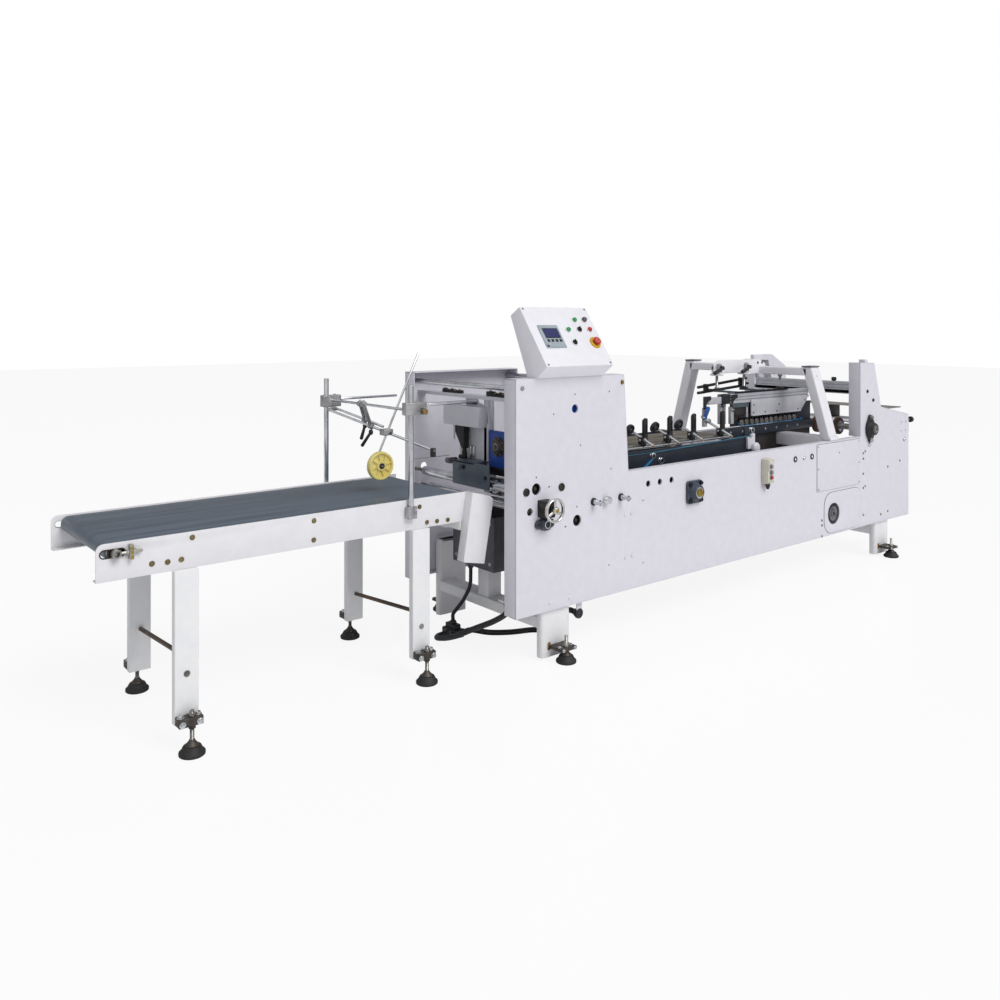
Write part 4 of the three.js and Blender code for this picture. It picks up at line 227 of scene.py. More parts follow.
# Conveyor rails
# Two long folded sheets of painted steel, each with a bottom flange, a rounded top corner at the left
# end and a slot for the tail roller's shaft. Zinc-plated hex bolts hold the bed and the legs.
def shape(piece, material, edge, segments=2):
    """Applies a new primitive's place, rounds its sharp edges by a size in mm and gives it its finish."""
    bpy.ops.object.transform_apply(location=True, rotation=True, scale=True)
    if edge:
        rounding = piece.modifiers.new("edge", "BEVEL")
        rounding.width = edge / 1000
        rounding.segments = segments
        rounding.angle_limit = math.radians(38)
        bpy.ops.object.modifier_apply(modifier="edge")
    piece.data.materials.append(material)
    return piece


def block(x0, x1, y0, y1, z0, z1, material, edge=1.0, segments=2):
    """A rectangular piece between its faces."""
    bpy.ops.object.select_all(action="DESELECT")
    low, high = at(x0, y0, z0), at(x1, y1, z1)
    bpy.ops.mesh.primitive_cube_add(size=1, location=(low + high) / 2)
    bpy.context.object.scale = high - low
    return shape(bpy.context.object, material, edge, segments)


def rod(start, stop, radius, material, edge=0.6, sides=28, end=None):
    """A round bar, or a cone, between two points."""
    bpy.ops.object.select_all(action="DESELECT")
    low, high = at(*start), at(*stop)
    way = high - low
    bpy.ops.mesh.primitive_cone_add(vertices=sides, radius1=radius / 1000,
        radius2=(radius if end is None else end) / 1000, depth=way.length, location=(low + high) / 2,
        rotation=way.to_track_quat("Z", "Y").to_euler())
    return shape(bpy.context.object, material, edge)


def plate(axis, low, high, outline, material, edge=1.0, tools=(), segments=2):
    """A sheet piece: an outline is filled, extruded along an axis, cut by tools and its edges rounded."""
    bpy.ops.object.select_all(action="DESELECT")
    bpy.ops.mesh.primitive_circle_add(vertices=len(outline), radius=0.01, fill_type="NGON",
        location=(0, 0, 0))
    piece = bpy.context.object
    put = {"x": lambda a, b: at(low, a, b), "y": lambda a, b: at(a, low, b), "z": lambda a,
        b: at(a, b, low)}[axis]
    for vertex, point in zip(piece.data.vertices, outline):
        vertex.co = put(*point)
    step = [(high - low) / 1000 if name == axis else 0 for name in "xyz"]
    bpy.ops.object.mode_set(mode="EDIT")
    bpy.ops.mesh.select_all(action="SELECT")
    bpy.ops.mesh.extrude_region_move(TRANSFORM_OT_translate={"value": step})
    bpy.ops.mesh.select_all(action="SELECT")
    bpy.ops.mesh.normals_make_consistent(inside=False)
    bpy.ops.object.mode_set(mode="OBJECT")
    return shape(pierced(piece, tools), material, edge, segments)


def pierced(piece, tools):
    """Cuts the tools out of a piece and takes them away."""
    for tool in tools:
        cutting = piece.modifiers.new("cut", "BOOLEAN")
        cutting.object = tool
        bpy.ops.object.select_all(action="DESELECT")
        bpy.context.view_layer.objects.active = piece
        piece.select_set(True)
        bpy.ops.object.modifier_apply(modifier="cut")
        bpy.data.objects.remove(tool)
    return piece


def corner_points(a0, a1, b0, b1, r, steps=6):
    """The outline of a rectangle with round corners."""
    points = []
    for a, b, quarter in ((a1 - r, b1 - r, 0), (a0 + r, b1 - r, 1), (a0 + r, b0 + r, 2),
            (a1 - r, b0 + r, 3)):
        for i in range(steps + 1):
            turn = (quarter + i / steps) * math.pi / 2
            points.append((a + r * math.cos(turn), b + r * math.sin(turn)))
    return points


def assembled(name, pieces, body, nodes=(), smooth=35):
    """Joins shaped pieces into one named piece that rides on its body and stands for its CAD nodes."""
    bpy.ops.object.select_all(action="DESELECT")
    for piece in pieces:
        piece.select_set(True)
    bpy.context.view_layer.objects.active = pieces[0]
    if len(pieces) > 1:
        bpy.ops.object.join()
    made = bpy.context.view_layer.objects.active
    made.name = made.data.name = name
    bpy.ops.object.shade_smooth_by_angle(angle=math.radians(smooth))
    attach(made, body)
    if nodes:
        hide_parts(*nodes)
    return made


# Polyester powder coat on steel sheet: near white, half gloss, a soft orange peel drawn at 5 mm to show
rail_coat = mottled("rail_powder_coat", "e6e5e8", "e1e0e3", 5.0, 0, 0.42, 0.18, 0.04)
# Zinc-plated steel: pale grey metal, a little warm, with uneven matt patches
zinc = mottled("zinc_plated_steel", "c4c2ba", "8f8c84", 6.0, 0.85, 0.38, 0.12)
# Turned or drawn plain steel, slightly brown from handling and oil
plain_steel = mottled("drawn_steel", "a6a49f", "6d6a66", 5.0, 0.9, 0.34, 0.1)
# Yellow zinc nut faces and dark oiled steel in the belt tensioners
yellow_zinc = mottled("yellow_zinc", "c9b03a", "8a7428", 3.0, 0.7, 0.4, 0.1)
dark_oiled = mottled("oiled_steel", "4b4743", "26231f", 4.0, 0.7, 0.45, 0.15)
# Dull brown zinc of the old rail bolts
bronzed_zinc = mottled("bronzed_zinc_bolt", "93835f", "504635", 3.0, 0.85, 0.36, 0.1)

# Height of the two rollers' axes
roller_z = 733


def bolt(x, face, z, out, radius, material, high=5.0, across="y"):
    """A hex bolt with its washer on a face; out is the way that it stands off the face."""
    def place(depth):
        return {"y": (x, face + out * depth, z), "x": (face + out * depth, x, z),
            "z": (x, z, face + out * depth)}[across]
    washer = rod(place(-0.2), place(1.2), radius * 1.3, material, 0.3, 20)
    head = rod(place(1.0), place(high), radius * 0.98, material, 0.7, 6)
    return [washer, head]


bolt_shares = [(0.1178, 0.2891), (0.1524, 0.2656), (0.1831, 0.2734), (0.2081, 0.8359), (0.5141, 0.7891),
    (0.5134, 0.2031), (0.8304, 0.7188), (0.8547, 0.1641), (0.888, 0.1484), (0.9245, 0.1328)]
rail_left, rail_right, rail_low, rail_top = -1662, -100, 640, 768
for side, face, out, node in (("front", 200, -1, "conveyor_front_rail"),
        ("rear", 797, 1, "conveyor_rear_rail")):
    inner = face - out * 5
    outline = [(rail_right, rail_low), (rail_right, rail_top)]
    for i in range(9):
        turn = math.pi / 2 * (1 + i / 8)
        outline.append((rail_left + 25 + 25 * math.cos(turn), rail_top - 25 + 25 * math.sin(turn)))
    outline.append((rail_left, rail_low))
    slot_tool = plate("y", min(face, inner) - 6, max(face, inner) + 6,
        corner_points(-1649, -1567, 720, 746, 13, 8), rail_coat, 0)
    web = plate("y", min(face, inner), max(face, inner), outline, rail_coat, 0.9, [slot_tool])
    lip = block(rail_left, rail_right, min(face - out * 2, face - out * 34),
        max(face - out * 2, face - out * 34), rail_low, rail_low + 5, rail_coat, 1.2)
    pieces = [web, lip]
    # Slot liner, tensioner block with its yellow faces, screw, and the flattened end of the shaft
    middle = face + out * 13
    pieces += [
        plate("y", min(face, face + out * 1.2), max(face, face + out * 1.2),
              corner_points(-1651.5, -1564.5, 717.5, 748.5, 15.5, 8), dark_oiled, 0.3,
              [plate("y", face - 5, face + 5, corner_points(-1647, -1569, 722, 744, 11, 8), dark_oiled, 0)]),
        block(-1558, -1545, min(face, face + out * 26), max(face, face + out * 26), 708, 758, zinc, 1.4),
        rod((-1590, middle, roller_z), (-1515, middle, roller_z), 5, zinc, 0.6, 16),
        rod((-1545, middle, roller_z), (-1536, middle, roller_z), 11, zinc, 0.8, 6),
        rod((-1567, middle, roller_z), (-1558.5, middle, roller_z), 10, zinc, 0.8, 6),
        rod((-1516, middle, roller_z), (-1513, middle, roller_z), 5, zinc, 0.8, 16, 3.5),
    ]
    for i in range(3):
        pieces.append(block(-1556, -1547, min(face + out * 25.4, face + out * 26.6),
            max(face + out * 25.4, face + out * 26.6), 712 + i * 15, 723 + i * 15, yellow_zinc, 0.4))
    for i in range(11):
        x = -1533 + i * 1.7
        pieces.append(rod((x, middle, roller_z), (x + 0.8, middle, roller_z), 5.5, zinc, 0.2, 12, 5.2))
    nut = rod((-1600, face + out * 0.4, roller_z), (-1600, face + out * 26, roller_z), 17, plain_steel, 1.2,
        6)
    eye = rod((-1600, face - out * 2, roller_z), (-1600, face + out * 30, roller_z), 9.6, plain_steel, 0,
        24)
    pieces.append(pierced(nut, [eye]))
    for across, up in bolt_shares:
        pieces += bolt(rail_left + across * (rail_right - rail_left), face,
            rail_low + up * (rail_top - rail_low), out, 7.8, bronzed_zinc, 5)
    assembled("conveyor_" + side + "_rail_sheet", pieces, "machine", [node])

# Conveyor bed
# A flat steel sheet with turned-down sides on two cross bars, right under the belt's upper run.
bed_pieces = [block(-1561, -194, 205.3, 791.7, 755.7, 759.7, plain_steel, 0.8)]
for y in (205.3, 787.7):
    bed_pieces.append(block(-1561, -194, y, y + 4, 734, 757, plain_steel, 0.8))
for x in (-1362, -366):
    bed_pieces.append(block(x - 20, x + 20, 205.3, 791.7, 645.3, 685.3, plain_steel, 2))
    for y in (205.3, 787.7):
        bed_pieces.append(block(x - 20, x + 20, y, y + 4, 645.3, 757, plain_steel, 0.8))
assembled("conveyor_bed_sheet", bed_pieces, "machine", ["conveyor_bed"])

# Conveyor belt
# One endless PVC belt, blue grey, with the faint streaks along its run that the sheets leave on it.
belt_pvc, tree, shader, coords = finish_of("belt_pvc", 0, 0.42, 1.5)
streak_way = add(tree, "Mapping", {"Scale": (0.9, 26.0, 1.0)}, {"Vector": coords})
streaks = add(tree, "TexNoise", {"Scale": 1.6, "Detail": 5.0, "Roughness": 0.6},
    {"Vector": streak_way.outputs[0]})
weave = add(tree, "TexNoise", {"Scale": 260.0, "Detail": 2.0}, {"Vector": coords})
tone = add(tree, "Math", {"operation": "MULTIPLY_ADD", 1: 0.25},
    {0: weave.outputs[0], 2: streaks.outputs[0]})
ramp = add(tree, "ValToRGB", {}, {0: tone.outputs[0]})
ramp.color_ramp.elements[0].position = 0.38
ramp.color_ramp.elements[1].position = 0.86
ramp.color_ramp.elements[0].color = linear("3f4955")
ramp.color_ramp.elements[1].color = linear("687482")
tree.links.new(ramp.outputs[0], shader.inputs["Base Color"])
gloss = add(tree, "MapRange", {"From Min": 0.3, "From Max": 0.75, "To Min": 0.3, "To Max": 0.58},
    {"Value": streaks.outputs[0]})
tree.links.new(gloss.outputs[0], shader.inputs["Roughness"])
relief = add(tree, "Bump", {"Strength": 0.25, "Distance": 0.0003}, {"Height": weave.outputs[0]})
tree.links.new(relief.outputs[0], shader.inputs["Normal"])


def loop_points(radius, steps=20):
    """The outline of the belt's run round its two rollers."""
    points = [(-155 + radius * math.sin(math.pi * i / steps),
        roller_z - radius * math.cos(math.pi * i / steps)) for i in range(steps + 1)]
    return points + [(-1600 - radius * math.sin(math.pi * i / steps),
        roller_z + radius * math.cos(math.pi * i / steps)) for i in range(steps + 1)]


hollow = plate("y", 209, 788, loop_points(27.9), belt_pvc, 0)
belt = plate("y", 215, 782, loop_points(30.9), belt_pvc, 0.8, [hollow])
assembled("conveyor_belt_loop", [belt], "machine", ["conveyor_belt"])

# Conveyor rollers
# Turned steel drums with stepped shafts. The tail shaft runs out through both slots.
for name, x, reach in (("conveyor_tail_roller", -1600, 17), ("conveyor_drive_roller", -155, -0.3)):
    drum = [
        rod((x, 215, roller_z), (x, 782, roller_z), 27, plain_steel, 1.5, 48),
        rod((x, 205 - reach, roller_z), (x, 792 + reach, roller_z), 9, plain_steel, 1, 28)]
    for y in (214, 783):
        drum.append(rod((x, y - 0.5, roller_z), (x, y + 0.5, roller_z), 22, dark_oiled, 0.3, 40))
    assembled(name + "_drum", drum, name, [name])

# Conveyor legs
# Four box-section legs of painted steel that stand outside the rails. A round bar ties each pair.
leg_coat = mottled("leg_powder_coat", "ececed", "e6e6e8", 6.0, 0, 0.5, 0.2, 0.05)
leg_places = [(-1362, "front", 365), (-366, "front", 409), (-1332, "rear", 365), (-336, "rear", 409)]
leg_groups = {"conveyor_left_legs": [], "conveyor_right_legs": []}
for i, (x, side, drop) in enumerate(leg_places):
    outer, out = (184, -1) if side == "front" else (813, 1)
    group = leg_groups[list(leg_groups)[i % 2]]
    tube = block(x - 43, x + 43, min(outer, outer - out * 30), max(outer, outer - out * 30), 100, 639.7,
        leg_coat, 3, 3)
    hollow = block(x - 40, x + 40, min(outer - out * 3, outer - out * 27),
        max(outer - out * 3, outer - out * 27), 90, 636, leg_coat, 0)
    group.append(pierced(tube, [hollow]))
    group += bolt(x, outer, 640 - drop, out, 9, plain_steel, 5)
# The bars have gone brown where the paint is thin
bar_rust = mottled("brown_steel_bar", "6f5a4a", "3b322c", 8.0, 0.4, 0.55, 0.2)
for name, x0, x1, z0, z1 in (("conveyor_left_legs", -1362, -1332, 330, 271),
        ("conveyor_right_legs", -366, -336, 285, 226)):
    leg_groups[name].append(rod((x0, 213, z0), (x1, 784, z1), 8.5, bar_rust, 0, 24))
    for x, y, z, s in ((x0, 214, z0, 1), (x1, 783, z1, -1)):
        leg_groups[name].append(rod((x, y - 1, z), (x, y + s * 7, z), 13, leg_coat, 1, 6))
    assembled(name + "_tubes", leg_groups[name], "machine", [name])

# Conveyor levelling feet
# A dark steel bracket bolted to each leg holds a threaded stem. Its cone nut stands on a domed
# black rubber pad, and two bright hex bolts hold the bracket.
foot_rubber = mottled("foot_rubber", "2c2b2b", "191818", 5.0, 0, 0.62, 0.3)
foot_iron = mottled("blackened_iron", "58514b", "2b2724", 5.0, 0.5, 0.5, 0.25)
bright_zinc = mottled("bright_zinc_bolt", "d6d8da", "a2a5a8", 3.0, 0.9, 0.25, 0.05)

# The frame's own directions, as ways that a turned piece points
to_front, to_back, upward, downward = (0, -1, 0), (0, 1, 0), (0, 0, 1), (0, 0, -1)
to_right, to_left = (1, 0, 0), (-1, 0, 0)


def turned(centre, way, profile, material, sides=40):
    """A piece turned on a lathe. The profile gives each place along the way and its radius."""
    bpy.ops.object.select_all(action="DESELECT")
    bpy.ops.mesh.primitive_circle_add(vertices=len(profile), radius=0.01, fill_type="NOTHING",
        location=(0, 0, 0))
    piece = bpy.context.object
    for vertex, (along, radius) in zip(piece.data.vertices, profile):
        vertex.co = (radius / 1000, 0, along / 1000)
    bpy.ops.object.mode_set(mode="EDIT")
    bpy.ops.mesh.select_all(action="SELECT")
    bpy.ops.mesh.spin(steps=sides, angle=2 * math.pi, center=(0, 0, 0), axis=(0, 0, 1))
    bpy.ops.mesh.select_all(action="SELECT")
    bpy.ops.mesh.remove_doubles(threshold=0.00001)
    bpy.ops.mesh.normals_make_consistent(inside=False)
    bpy.ops.object.mode_set(mode="OBJECT")
    piece.matrix_world = Matrix.Translation(at(*centre)) @ Vector(way).to_track_quat("Z",
        "Y").to_matrix().to_4x4()
    return shape(piece, material, 0)


def thread(x, y, z0, z1, radius, material, pitch=2.6):
    """A vertical screw, its thread as a row of ridges."""
    rise = [(0, 0), (0, radius - 0.8)]
    for i in range(int((z1 - z0 - 2) / pitch)):
        rise += [(1 + i * pitch, radius - 0.9), (1 + (i + 0.5) * pitch, radius)]
    return turned((x, y, z0), upward, rise + [(z1 - z0, radius - 0.9), (z1 - z0, 0)], material, 20)


def pad(x, y, cone):
    """The rubber pad with its cone nut."""
    return [turned((x, y, 0), upward, [(0, 0), (0, 43), (2, 45.6), (10, 46), (12, 45), (14, 41.5), (20, 37),
        (27, 33.5), (31, 31.5), (33, 29), (34, 24), (34, 0)], foot_rubber, 44),
        turned((x, y, 33), upward, [(0, 0), (0, 24), (2, 23), (5, 21.5), (12, 15), (18, 10.5), (21, 10),
        (21, 0)], cone, 36),]


for i, (x, side, drop) in enumerate(leg_places):
    outer, out = (184, -1) if side == "front" else (813, 1)
    y = outer + out * 30
    near, far = outer + out * 0.3, outer + out * 45.3
    pieces = pad(x + 7, y, foot_iron) + [
        thread(x + 7, y, 44, 156, 8, plain_steel),
        rod((x + 7, y, 92), (x + 7, y, 103.6), 13, foot_iron, 1, 6),
        rod((x + 7, y, 134.2), (x + 7, y, 144), 13, plain_steel, 1, 6),
        block(x - 43, x + 43, min(near, far), max(near, far), 104, 134, foot_iron, 2.2, 3),
    ]
    for side_x in (-31, 31):
        pieces += bolt(x + side_x, 134, (near + far) / 2, 1, 10, bright_zinc, 9, "z")
        pieces += bolt(x + side_x, far, 116, out, 9, bright_zinc, 7)
    assembled("foot_%d_pad_and_bracket" % (i + 1), pieces, "machine", ["levelling_foot_%d" % (i + 1)])

# Chain guard
# A tilted box of painted sheet over the drive chain at the conveyor's right end, open at the bottom.
guard_outer = [(-54, 450), (-5.4, 712), (-5.2, 725), (-9, 733), (-17, 741.5), (-29, 746.5), (-118, 770),
    (-168, 474)]
guard_inner = [(-56.5, 440), (-2.8, 736.5), (-115.5, 767.5), (-166, 464)]
inside = plate("y", 154.5, 204, guard_inner, rail_coat, 0)
guard = plate("y", 152, 199.7, guard_outer, rail_coat, 1.6, [inside])
assembled("chain_guard_cover", [guard], "machine", ["chain_guard"])

# Press-wheel rig
# Two upright round posts on brackets at the rails carry a cross rod and two side rods in cast
# aluminium cross clamps. The front clamp has a round turned thumb screw.
chrome = mottled("chromed_round_bar", "d9dade", "b4b7bd", 5.0, 1.0, 0.16, 0.03, 0.08)
cast_alloy = mottled("cast_aluminium_clamp", "b9b9ba", "8b8b8e", 4.0, 0.75, 0.42, 0.35)


def clamp_block(x0, x1, y0, y1, z0, z1):
    """A cast clamp with its slit. Its pinch bolts are added on their own."""
    body = block(x0, x1, y0, y1, z0, z1, cast_alloy, 3.2, 3)
    middle = (z0 + z1) / 2
    body = pierced(body, [block(x1 - (x1 - x0) * 0.34, x1 + 2, y0 - 2, y1 + 2, middle - 1.2, middle + 1.2,
        cast_alloy, 0)])
    body.data.materials.clear()
    body.data.materials.append(cast_alloy)
    return body


rig_pieces = []
for x, y, face, out in ((-418, 185, 200, -1), (-473, 812, 797, 1)):
    rig_pieces += [
        rod((x, y, 692), (x, y, 1250), 11, chrome, 1.2, 36),
        # Bracket: a plate on the rail and a split socket round the post
        block(x - 22, x + 22, min(face + out * 0.3, face + out * 30),
            max(face + out * 0.3, face + out * 30), 692, 742, cast_alloy, 3, 3)]
    for z in (704, 730):
        for dx in (-15, 15):
            rig_pieces.append(rod((x + dx, y, z), (x + dx, face + out * 31.5, z), 5, bright_zinc, 0.8, 6))
rig_pieces += [
    clamp_block(-453, -348, 168, 202, 1124, 1176),
    clamp_block(-497, -403, 795, 829, 1118, 1172),
    rod((-445, 185, 1148), (-445, 812, 1148), 6, chrome, 0.8, 28),
    rod((-418, 185, 1164), (-68, 185, 1164), 7.5, chrome, 1.0, 28),
    rod((-473, 812, 1152), (-85, 812, 1152), 6, chrome, 1.0, 28)]
for x in (-440, -385):
    rig_pieces.append(rod((x, 185, 1172), (x, 185, 1180), 6.5, bright_zinc, 0.8, 6))
rig_pieces += [
    rod((-480, 812, 1170), (-480, 812, 1178), 6.5, bright_zinc, 0.8, 6),
    rod((-430, 812, 1170), (-430, 812, 1177), 5.5, bright_zinc, 0.8, 6)]
# Thumb screw: a stem and a round brass-coloured head
aged_brass = mottled("aged_brass", "a68a5c", "5e4a2e", 3.0, 0.85, 0.38, 0.15)
rig_pieces += [
    rod((-368, 170, 1137), (-368, 160, 1137), 7, plain_steel, 0.5, 20),
    turned((-368, 162, 1137), to_front, [(0, 0), (0, 11), (1, 12), (12, 12), (14, 10.5), (14, 6), (12, 5),
        (12, 0)], aged_brass, 28)]
assembled("rig_posts_and_rods", rig_pieces, "machine", ["rig_frame"])

# Sloping rods
# Two chromed rods run down from the rear clamp. Twin links hang them from the cross rod, a clamp on
# the long one grips the wheel's arm, and a swivel with a thin spring strip sits at its end.
slope_way = Vector((243, -500, -157)).normalized()
slope_start = Vector((-473, 793, 1106))
short_start = Vector((-439, 793, 1112))
slope_long = math.sqrt(243 ** 2 + 500 ** 2 + 157 ** 2)


def along(base, way, reach):
    """A point at a distance along a way."""
    return tuple(base + way * reach)


slope_pieces = [
    rod(tuple(slope_start), along(slope_start, slope_way, slope_long), 6, chrome, 0.6, 24),
    rod(tuple(short_start), along(short_start, slope_way, slope_long * 0.48), 6, chrome, 1.0, 24),
    block(-479, -433, 781, 799, 1100, 1117.7, cast_alloy, 2.2, 3),
]
link_lows = [Vector((-370.94, 583, 1040.06)), Vector((-366.1, 643, 1064.9))]
for low, top_y in zip(link_lows, (523, 553)):
    top = Vector((-445, top_y, 1148))
    ring = rod((-445, top_y - 11, 1148), (-445, top_y + 11, 1148), 13, cast_alloy, 1.6, 28)
    slope_pieces += [
        pierced(ring, [rod((-445, top_y - 20, 1148), (-445, top_y + 20, 1148), 6.3, cast_alloy, 0, 24)]),
        rod(along(low, slope_way, -11), along(low, slope_way, 11), 13, cast_alloy, 1.6, 28)]
    # Link bar between the two eyes, flat and waisted
    reach = low - top
    way = reach.normalized()
    across = way.cross(Vector((0, 1, 0))).normalized()
    for shift in (-4.5, 4.5):
        slope_pieces.append(rod(along(top + across * shift, way, 9),
            along(top + across * shift, way, reach.length - 9), 4.6, cast_alloy, 0.5, 16))
    slope_pieces.append(rod((-445, top_y, 1159), (-445, top_y, 1166), 5.5, bright_zinc, 0.7, 6))
# Axis of the wheel and the near face of its casting
hub_x, hub_z, wheel_front = -403.62, 879, 436.3
arm_base, arm_way = Vector((hub_x, 498, hub_z)), Vector((0.43243, 0, 0.90167))
arm_clamp = block(-361, -313, 485, 526, 1004, 1032, cast_alloy, 3, 3)
arm_bore = rod(along(arm_base, arm_way, -9), along(arm_base, arm_way, 560), 5.4, cast_alloy, 0, 24)
slope_pieces += [
    pierced(arm_clamp, [arm_bore]),
    rod((-328, 487, 1012), (-328, 478, 1012), 6, dark_oiled, 1, 6),
    rod((-313, 515, 1018), (-303, 515, 1018), 6.5, dark_oiled, 1, 12)]
black_abs = mottled("black_moulded_plastic", "25262a", "17181b", 3.0, 0, 0.42, 0.15)
tip = slope_start + slope_way * slope_long
slope_pieces += [
    block(tip.x - 10, tip.x + 10, tip.y - 10, tip.y + 10, tip.z - 30, tip.z + 10, black_abs, 3, 3),
    rod((tip.x, tip.y - 10, tip.z), (tip.x, tip.y - 13, tip.z), 6, plain_steel, 0.8, 6),
    block(tip.x - 90, tip.x + 85, tip.y - 7, tip.y + 7, tip.z - 30, tip.z - 28.5, plain_steel, 0.3)]
assembled("sloping_rods_and_clamps", slope_pieces, "machine", ["rig_slope_rods"])

# Wheel arm and press wheel
# A chromed arm slides in its clamp and ends in a short axle. The wheel is cast in pale yellow nylon
# with eight ribs between hub and tread, and turns on a black sealed ball bearing.
arm_pieces = [
    rod(tuple(arm_base), along(arm_base, arm_way, 545), 5, chrome, 1.0, 24),
    rod((hub_x, 436, hub_z), (hub_x, 507, hub_z), 8, chrome, 0.8, 28),
    rod((hub_x, 489, hub_z), (hub_x, 507, hub_z), 12.5, cast_alloy, 1.4, 32),
    rod((hub_x, 432, hub_z), (hub_x, 436, hub_z), 12.5, dark_oiled, 1.0, 32),
    rod((hub_x, 429, hub_z), (hub_x, 432.5, hub_z), 7, plain_steel, 0.8, 6),
]
assembled("wheel_arm_bar", arm_pieces, "wheel_arm", ["wheel_arm"])
nylon = mottled("cast_nylon", "f6e795", "ecd774", 7.0, 0, 0.38, 0.12, 0.05)
wheel_pieces = [turned((hub_x, wheel_front, hub_z), to_back, [(9.5, 16), (9.5, 50), (6, 50.5), (3.4, 51),
    (1.5, 52), (0.3, 54), (0, 57), (0.8, 60), (3, 61.8), (7, 62.4), (14, 62.5), (21, 62.4), (25, 61.8),
    (27.2, 60), (28, 57), (27.7, 54), (26.5, 52), (24.6, 51), (22, 50.5), (18.5, 50), (18.5, 16)], nylon,
    72)]
hub = turned((hub_x, wheel_front, hub_z), to_back, [(0.6, 12), (0, 13), (0, 20.5), (1, 21.5), (9, 23),
    (19, 23), (27, 21.5), (28, 20.5), (28, 13), (27.4, 12)], nylon, 48)
wheel_pieces.append(hub)
for i in range(8):
    turn = 2 * math.pi * (i + 0.3) / 8
    c, s = math.cos(turn), math.sin(turn)
    rib = rod((hub_x + 20 * c, wheel_front + 14, hub_z + 20 * s),
        (hub_x + 53 * c, wheel_front + 14, hub_z + 53 * s), 4.2, nylon, 0.6, 4)
    wheel_pieces.append(rib)
    for face in (4.6, 23.4):
        wheel_pieces.append(rod((hub_x + 20 * c, wheel_front + face, hub_z + 20 * s),
            (hub_x + 52.5 * c, wheel_front + face, hub_z + 52.5 * s), 2.6, nylon, 0.4, 10))
    wheel_pieces.append(rod((hub_x + 19 * c, wheel_front + 2.4, hub_z + 19 * s),
        (hub_x + 19 * c, wheel_front + 25.6, hub_z + 19 * s), 3.2, nylon, 0.4, 12))
seal = turned((hub_x, wheel_front, hub_z), to_back, [(0.9, 8.6), (0.9, 10.5), (1.8, 11), (1.8, 15.5),
    (0.6, 16.2), (0.6, 19), (27.4, 19), (27.4, 16.2), (26.2, 15.5), (26.2, 11), (27.1, 10.5), (27.1, 8.6)],
    black_abs, 44)
wheel_pieces.append(seal)
assembled("press_wheel_casting", wheel_pieces, "press_wheel", ["press_wheel"])

# Ratchet clamp levers
# Each has a steel screw, a ribbed hub and a tapered black handle that ends in a round tip.
slope_tilt = math.asin(157 / slope_long)


def ratchet(name, low, lean, body, node):
    """A lever that hangs from a link's lower eye."""
    top = Vector((low.x, low.y, low.z - 13 * math.cos(slope_tilt) - 11 * math.sin(slope_tilt) - 0.3))
    mid = top - Vector((0, 0, 22))
    end = mid + Vector(lean)
    hub = turned(tuple(mid), upward, [(0, 0), (0, 7), (1.5, 9), (6, 10), (15, 10), (18, 9), (20, 7),
        (22, 6.2), (22, 0)], black_abs, 32)
    stem = rod(tuple(mid - Vector((0, 0, -1))), tuple(mid - Vector((0, 0, 2.5))), 5, plain_steel, 0.8, 18)
    handle = rod(tuple(mid + Vector((0, 0, 10))), tuple(end), 6, black_abs, 0.8, 24, 8)
    way = (end - mid - Vector((0, 0, 10))).normalized()
    cap = turned(tuple(end), tuple(way), [(-3, 0), (-3, 8), (0, 8), (2.5, 7), (4.6, 4.6), (5.6, 0)],
        black_abs, 24)
    assembled(name, [hub, stem, handle, cap], body, [node])


ratchet("clamp_lever_a_handle", link_lows[1], (-12, 12, -50), "clamp_lever_a", "clamp_lever_a")
ratchet("clamp_lever_b_handle", link_lows[0], (-24, 36, -52), "clamp_lever_b", "clamp_lever_b")

# Axes that several pieces share: the port's pulley, the feeder shaft and the drive shaft
port_x, port_z = 2532, 356
feed_x, feed_z = 2955, 840
drive_x, drive_z = 1195, 644

# Side panels
# Each is one thick steel sheet with its edges folded in, powder coated in a pale lavender white. The
# folds make the recesses inside, and drilled holes take shafts, screws and plugs.
machine_coat = mottled("machine_powder_coat", "dddbe3", "d8d6de", 4.0, 0, 0.44, 0.2, 0.03)
panel_outline = [(0, 228), (3470, 228), (3470, 903), (3122, 968), (3105, 972), (3020, 1257), (2849, 1262),
    (2849, 797), (710, 797), (680, 1265), (0, 1265)]


def share_at(across, up):
    """A place on the panel's face from shares of its length and height."""
    return across * 3470, 228 + up * (1265 - 228)


def panel_sheet(face, inward, holes):
    """The folded sheet with its holes drilled through."""
    def deep(x0, x1, reach, z0, z1, edge=1.6):
        return block(x0, x1, min(face, face + inward * reach), max(face, face + inward * reach), z0, z1,
            machine_coat, edge)

    def lean(points, reach=80):
        return plate("y", min(face, face + inward * reach), max(face, face + inward * reach), points,
            machine_coat, 1.4)

    skin = plate("y", min(face, face + inward * 8), max(face, face + inward * 8), panel_outline,
        machine_coat, 3.2, segments=3)
    drills = []
    for across, up, radius in holes:
        x, z = share_at(across, up)
        drills.append(rod((x, face - 12, z), (x, face + 12, z), radius, machine_coat, 0, 40))
    skin = pierced(skin, drills)
    return [skin, deep(0, 5, 80, 228, 1265), deep(0, 680, 80, 1260, 1265), deep(709, 2850, 40, 792, 797),
        deep(2849, 2854, 80, 796, 1260), deep(3465, 3470, 40, 228, 903), deep(0, 3470, 40, 228, 233),
        lean([(680, 1265), (675, 1265), (705, 797), (710, 797)]),
        lean([(2849, 1262), (2849, 1257), (3020, 1252), (3020, 1257)]),
        lean([(3020, 1257), (3015, 1257), (3100, 972), (3105, 972)]),
        lean([(3122, 968), (3122, 963), (3470, 898), (3470, 903)]),]


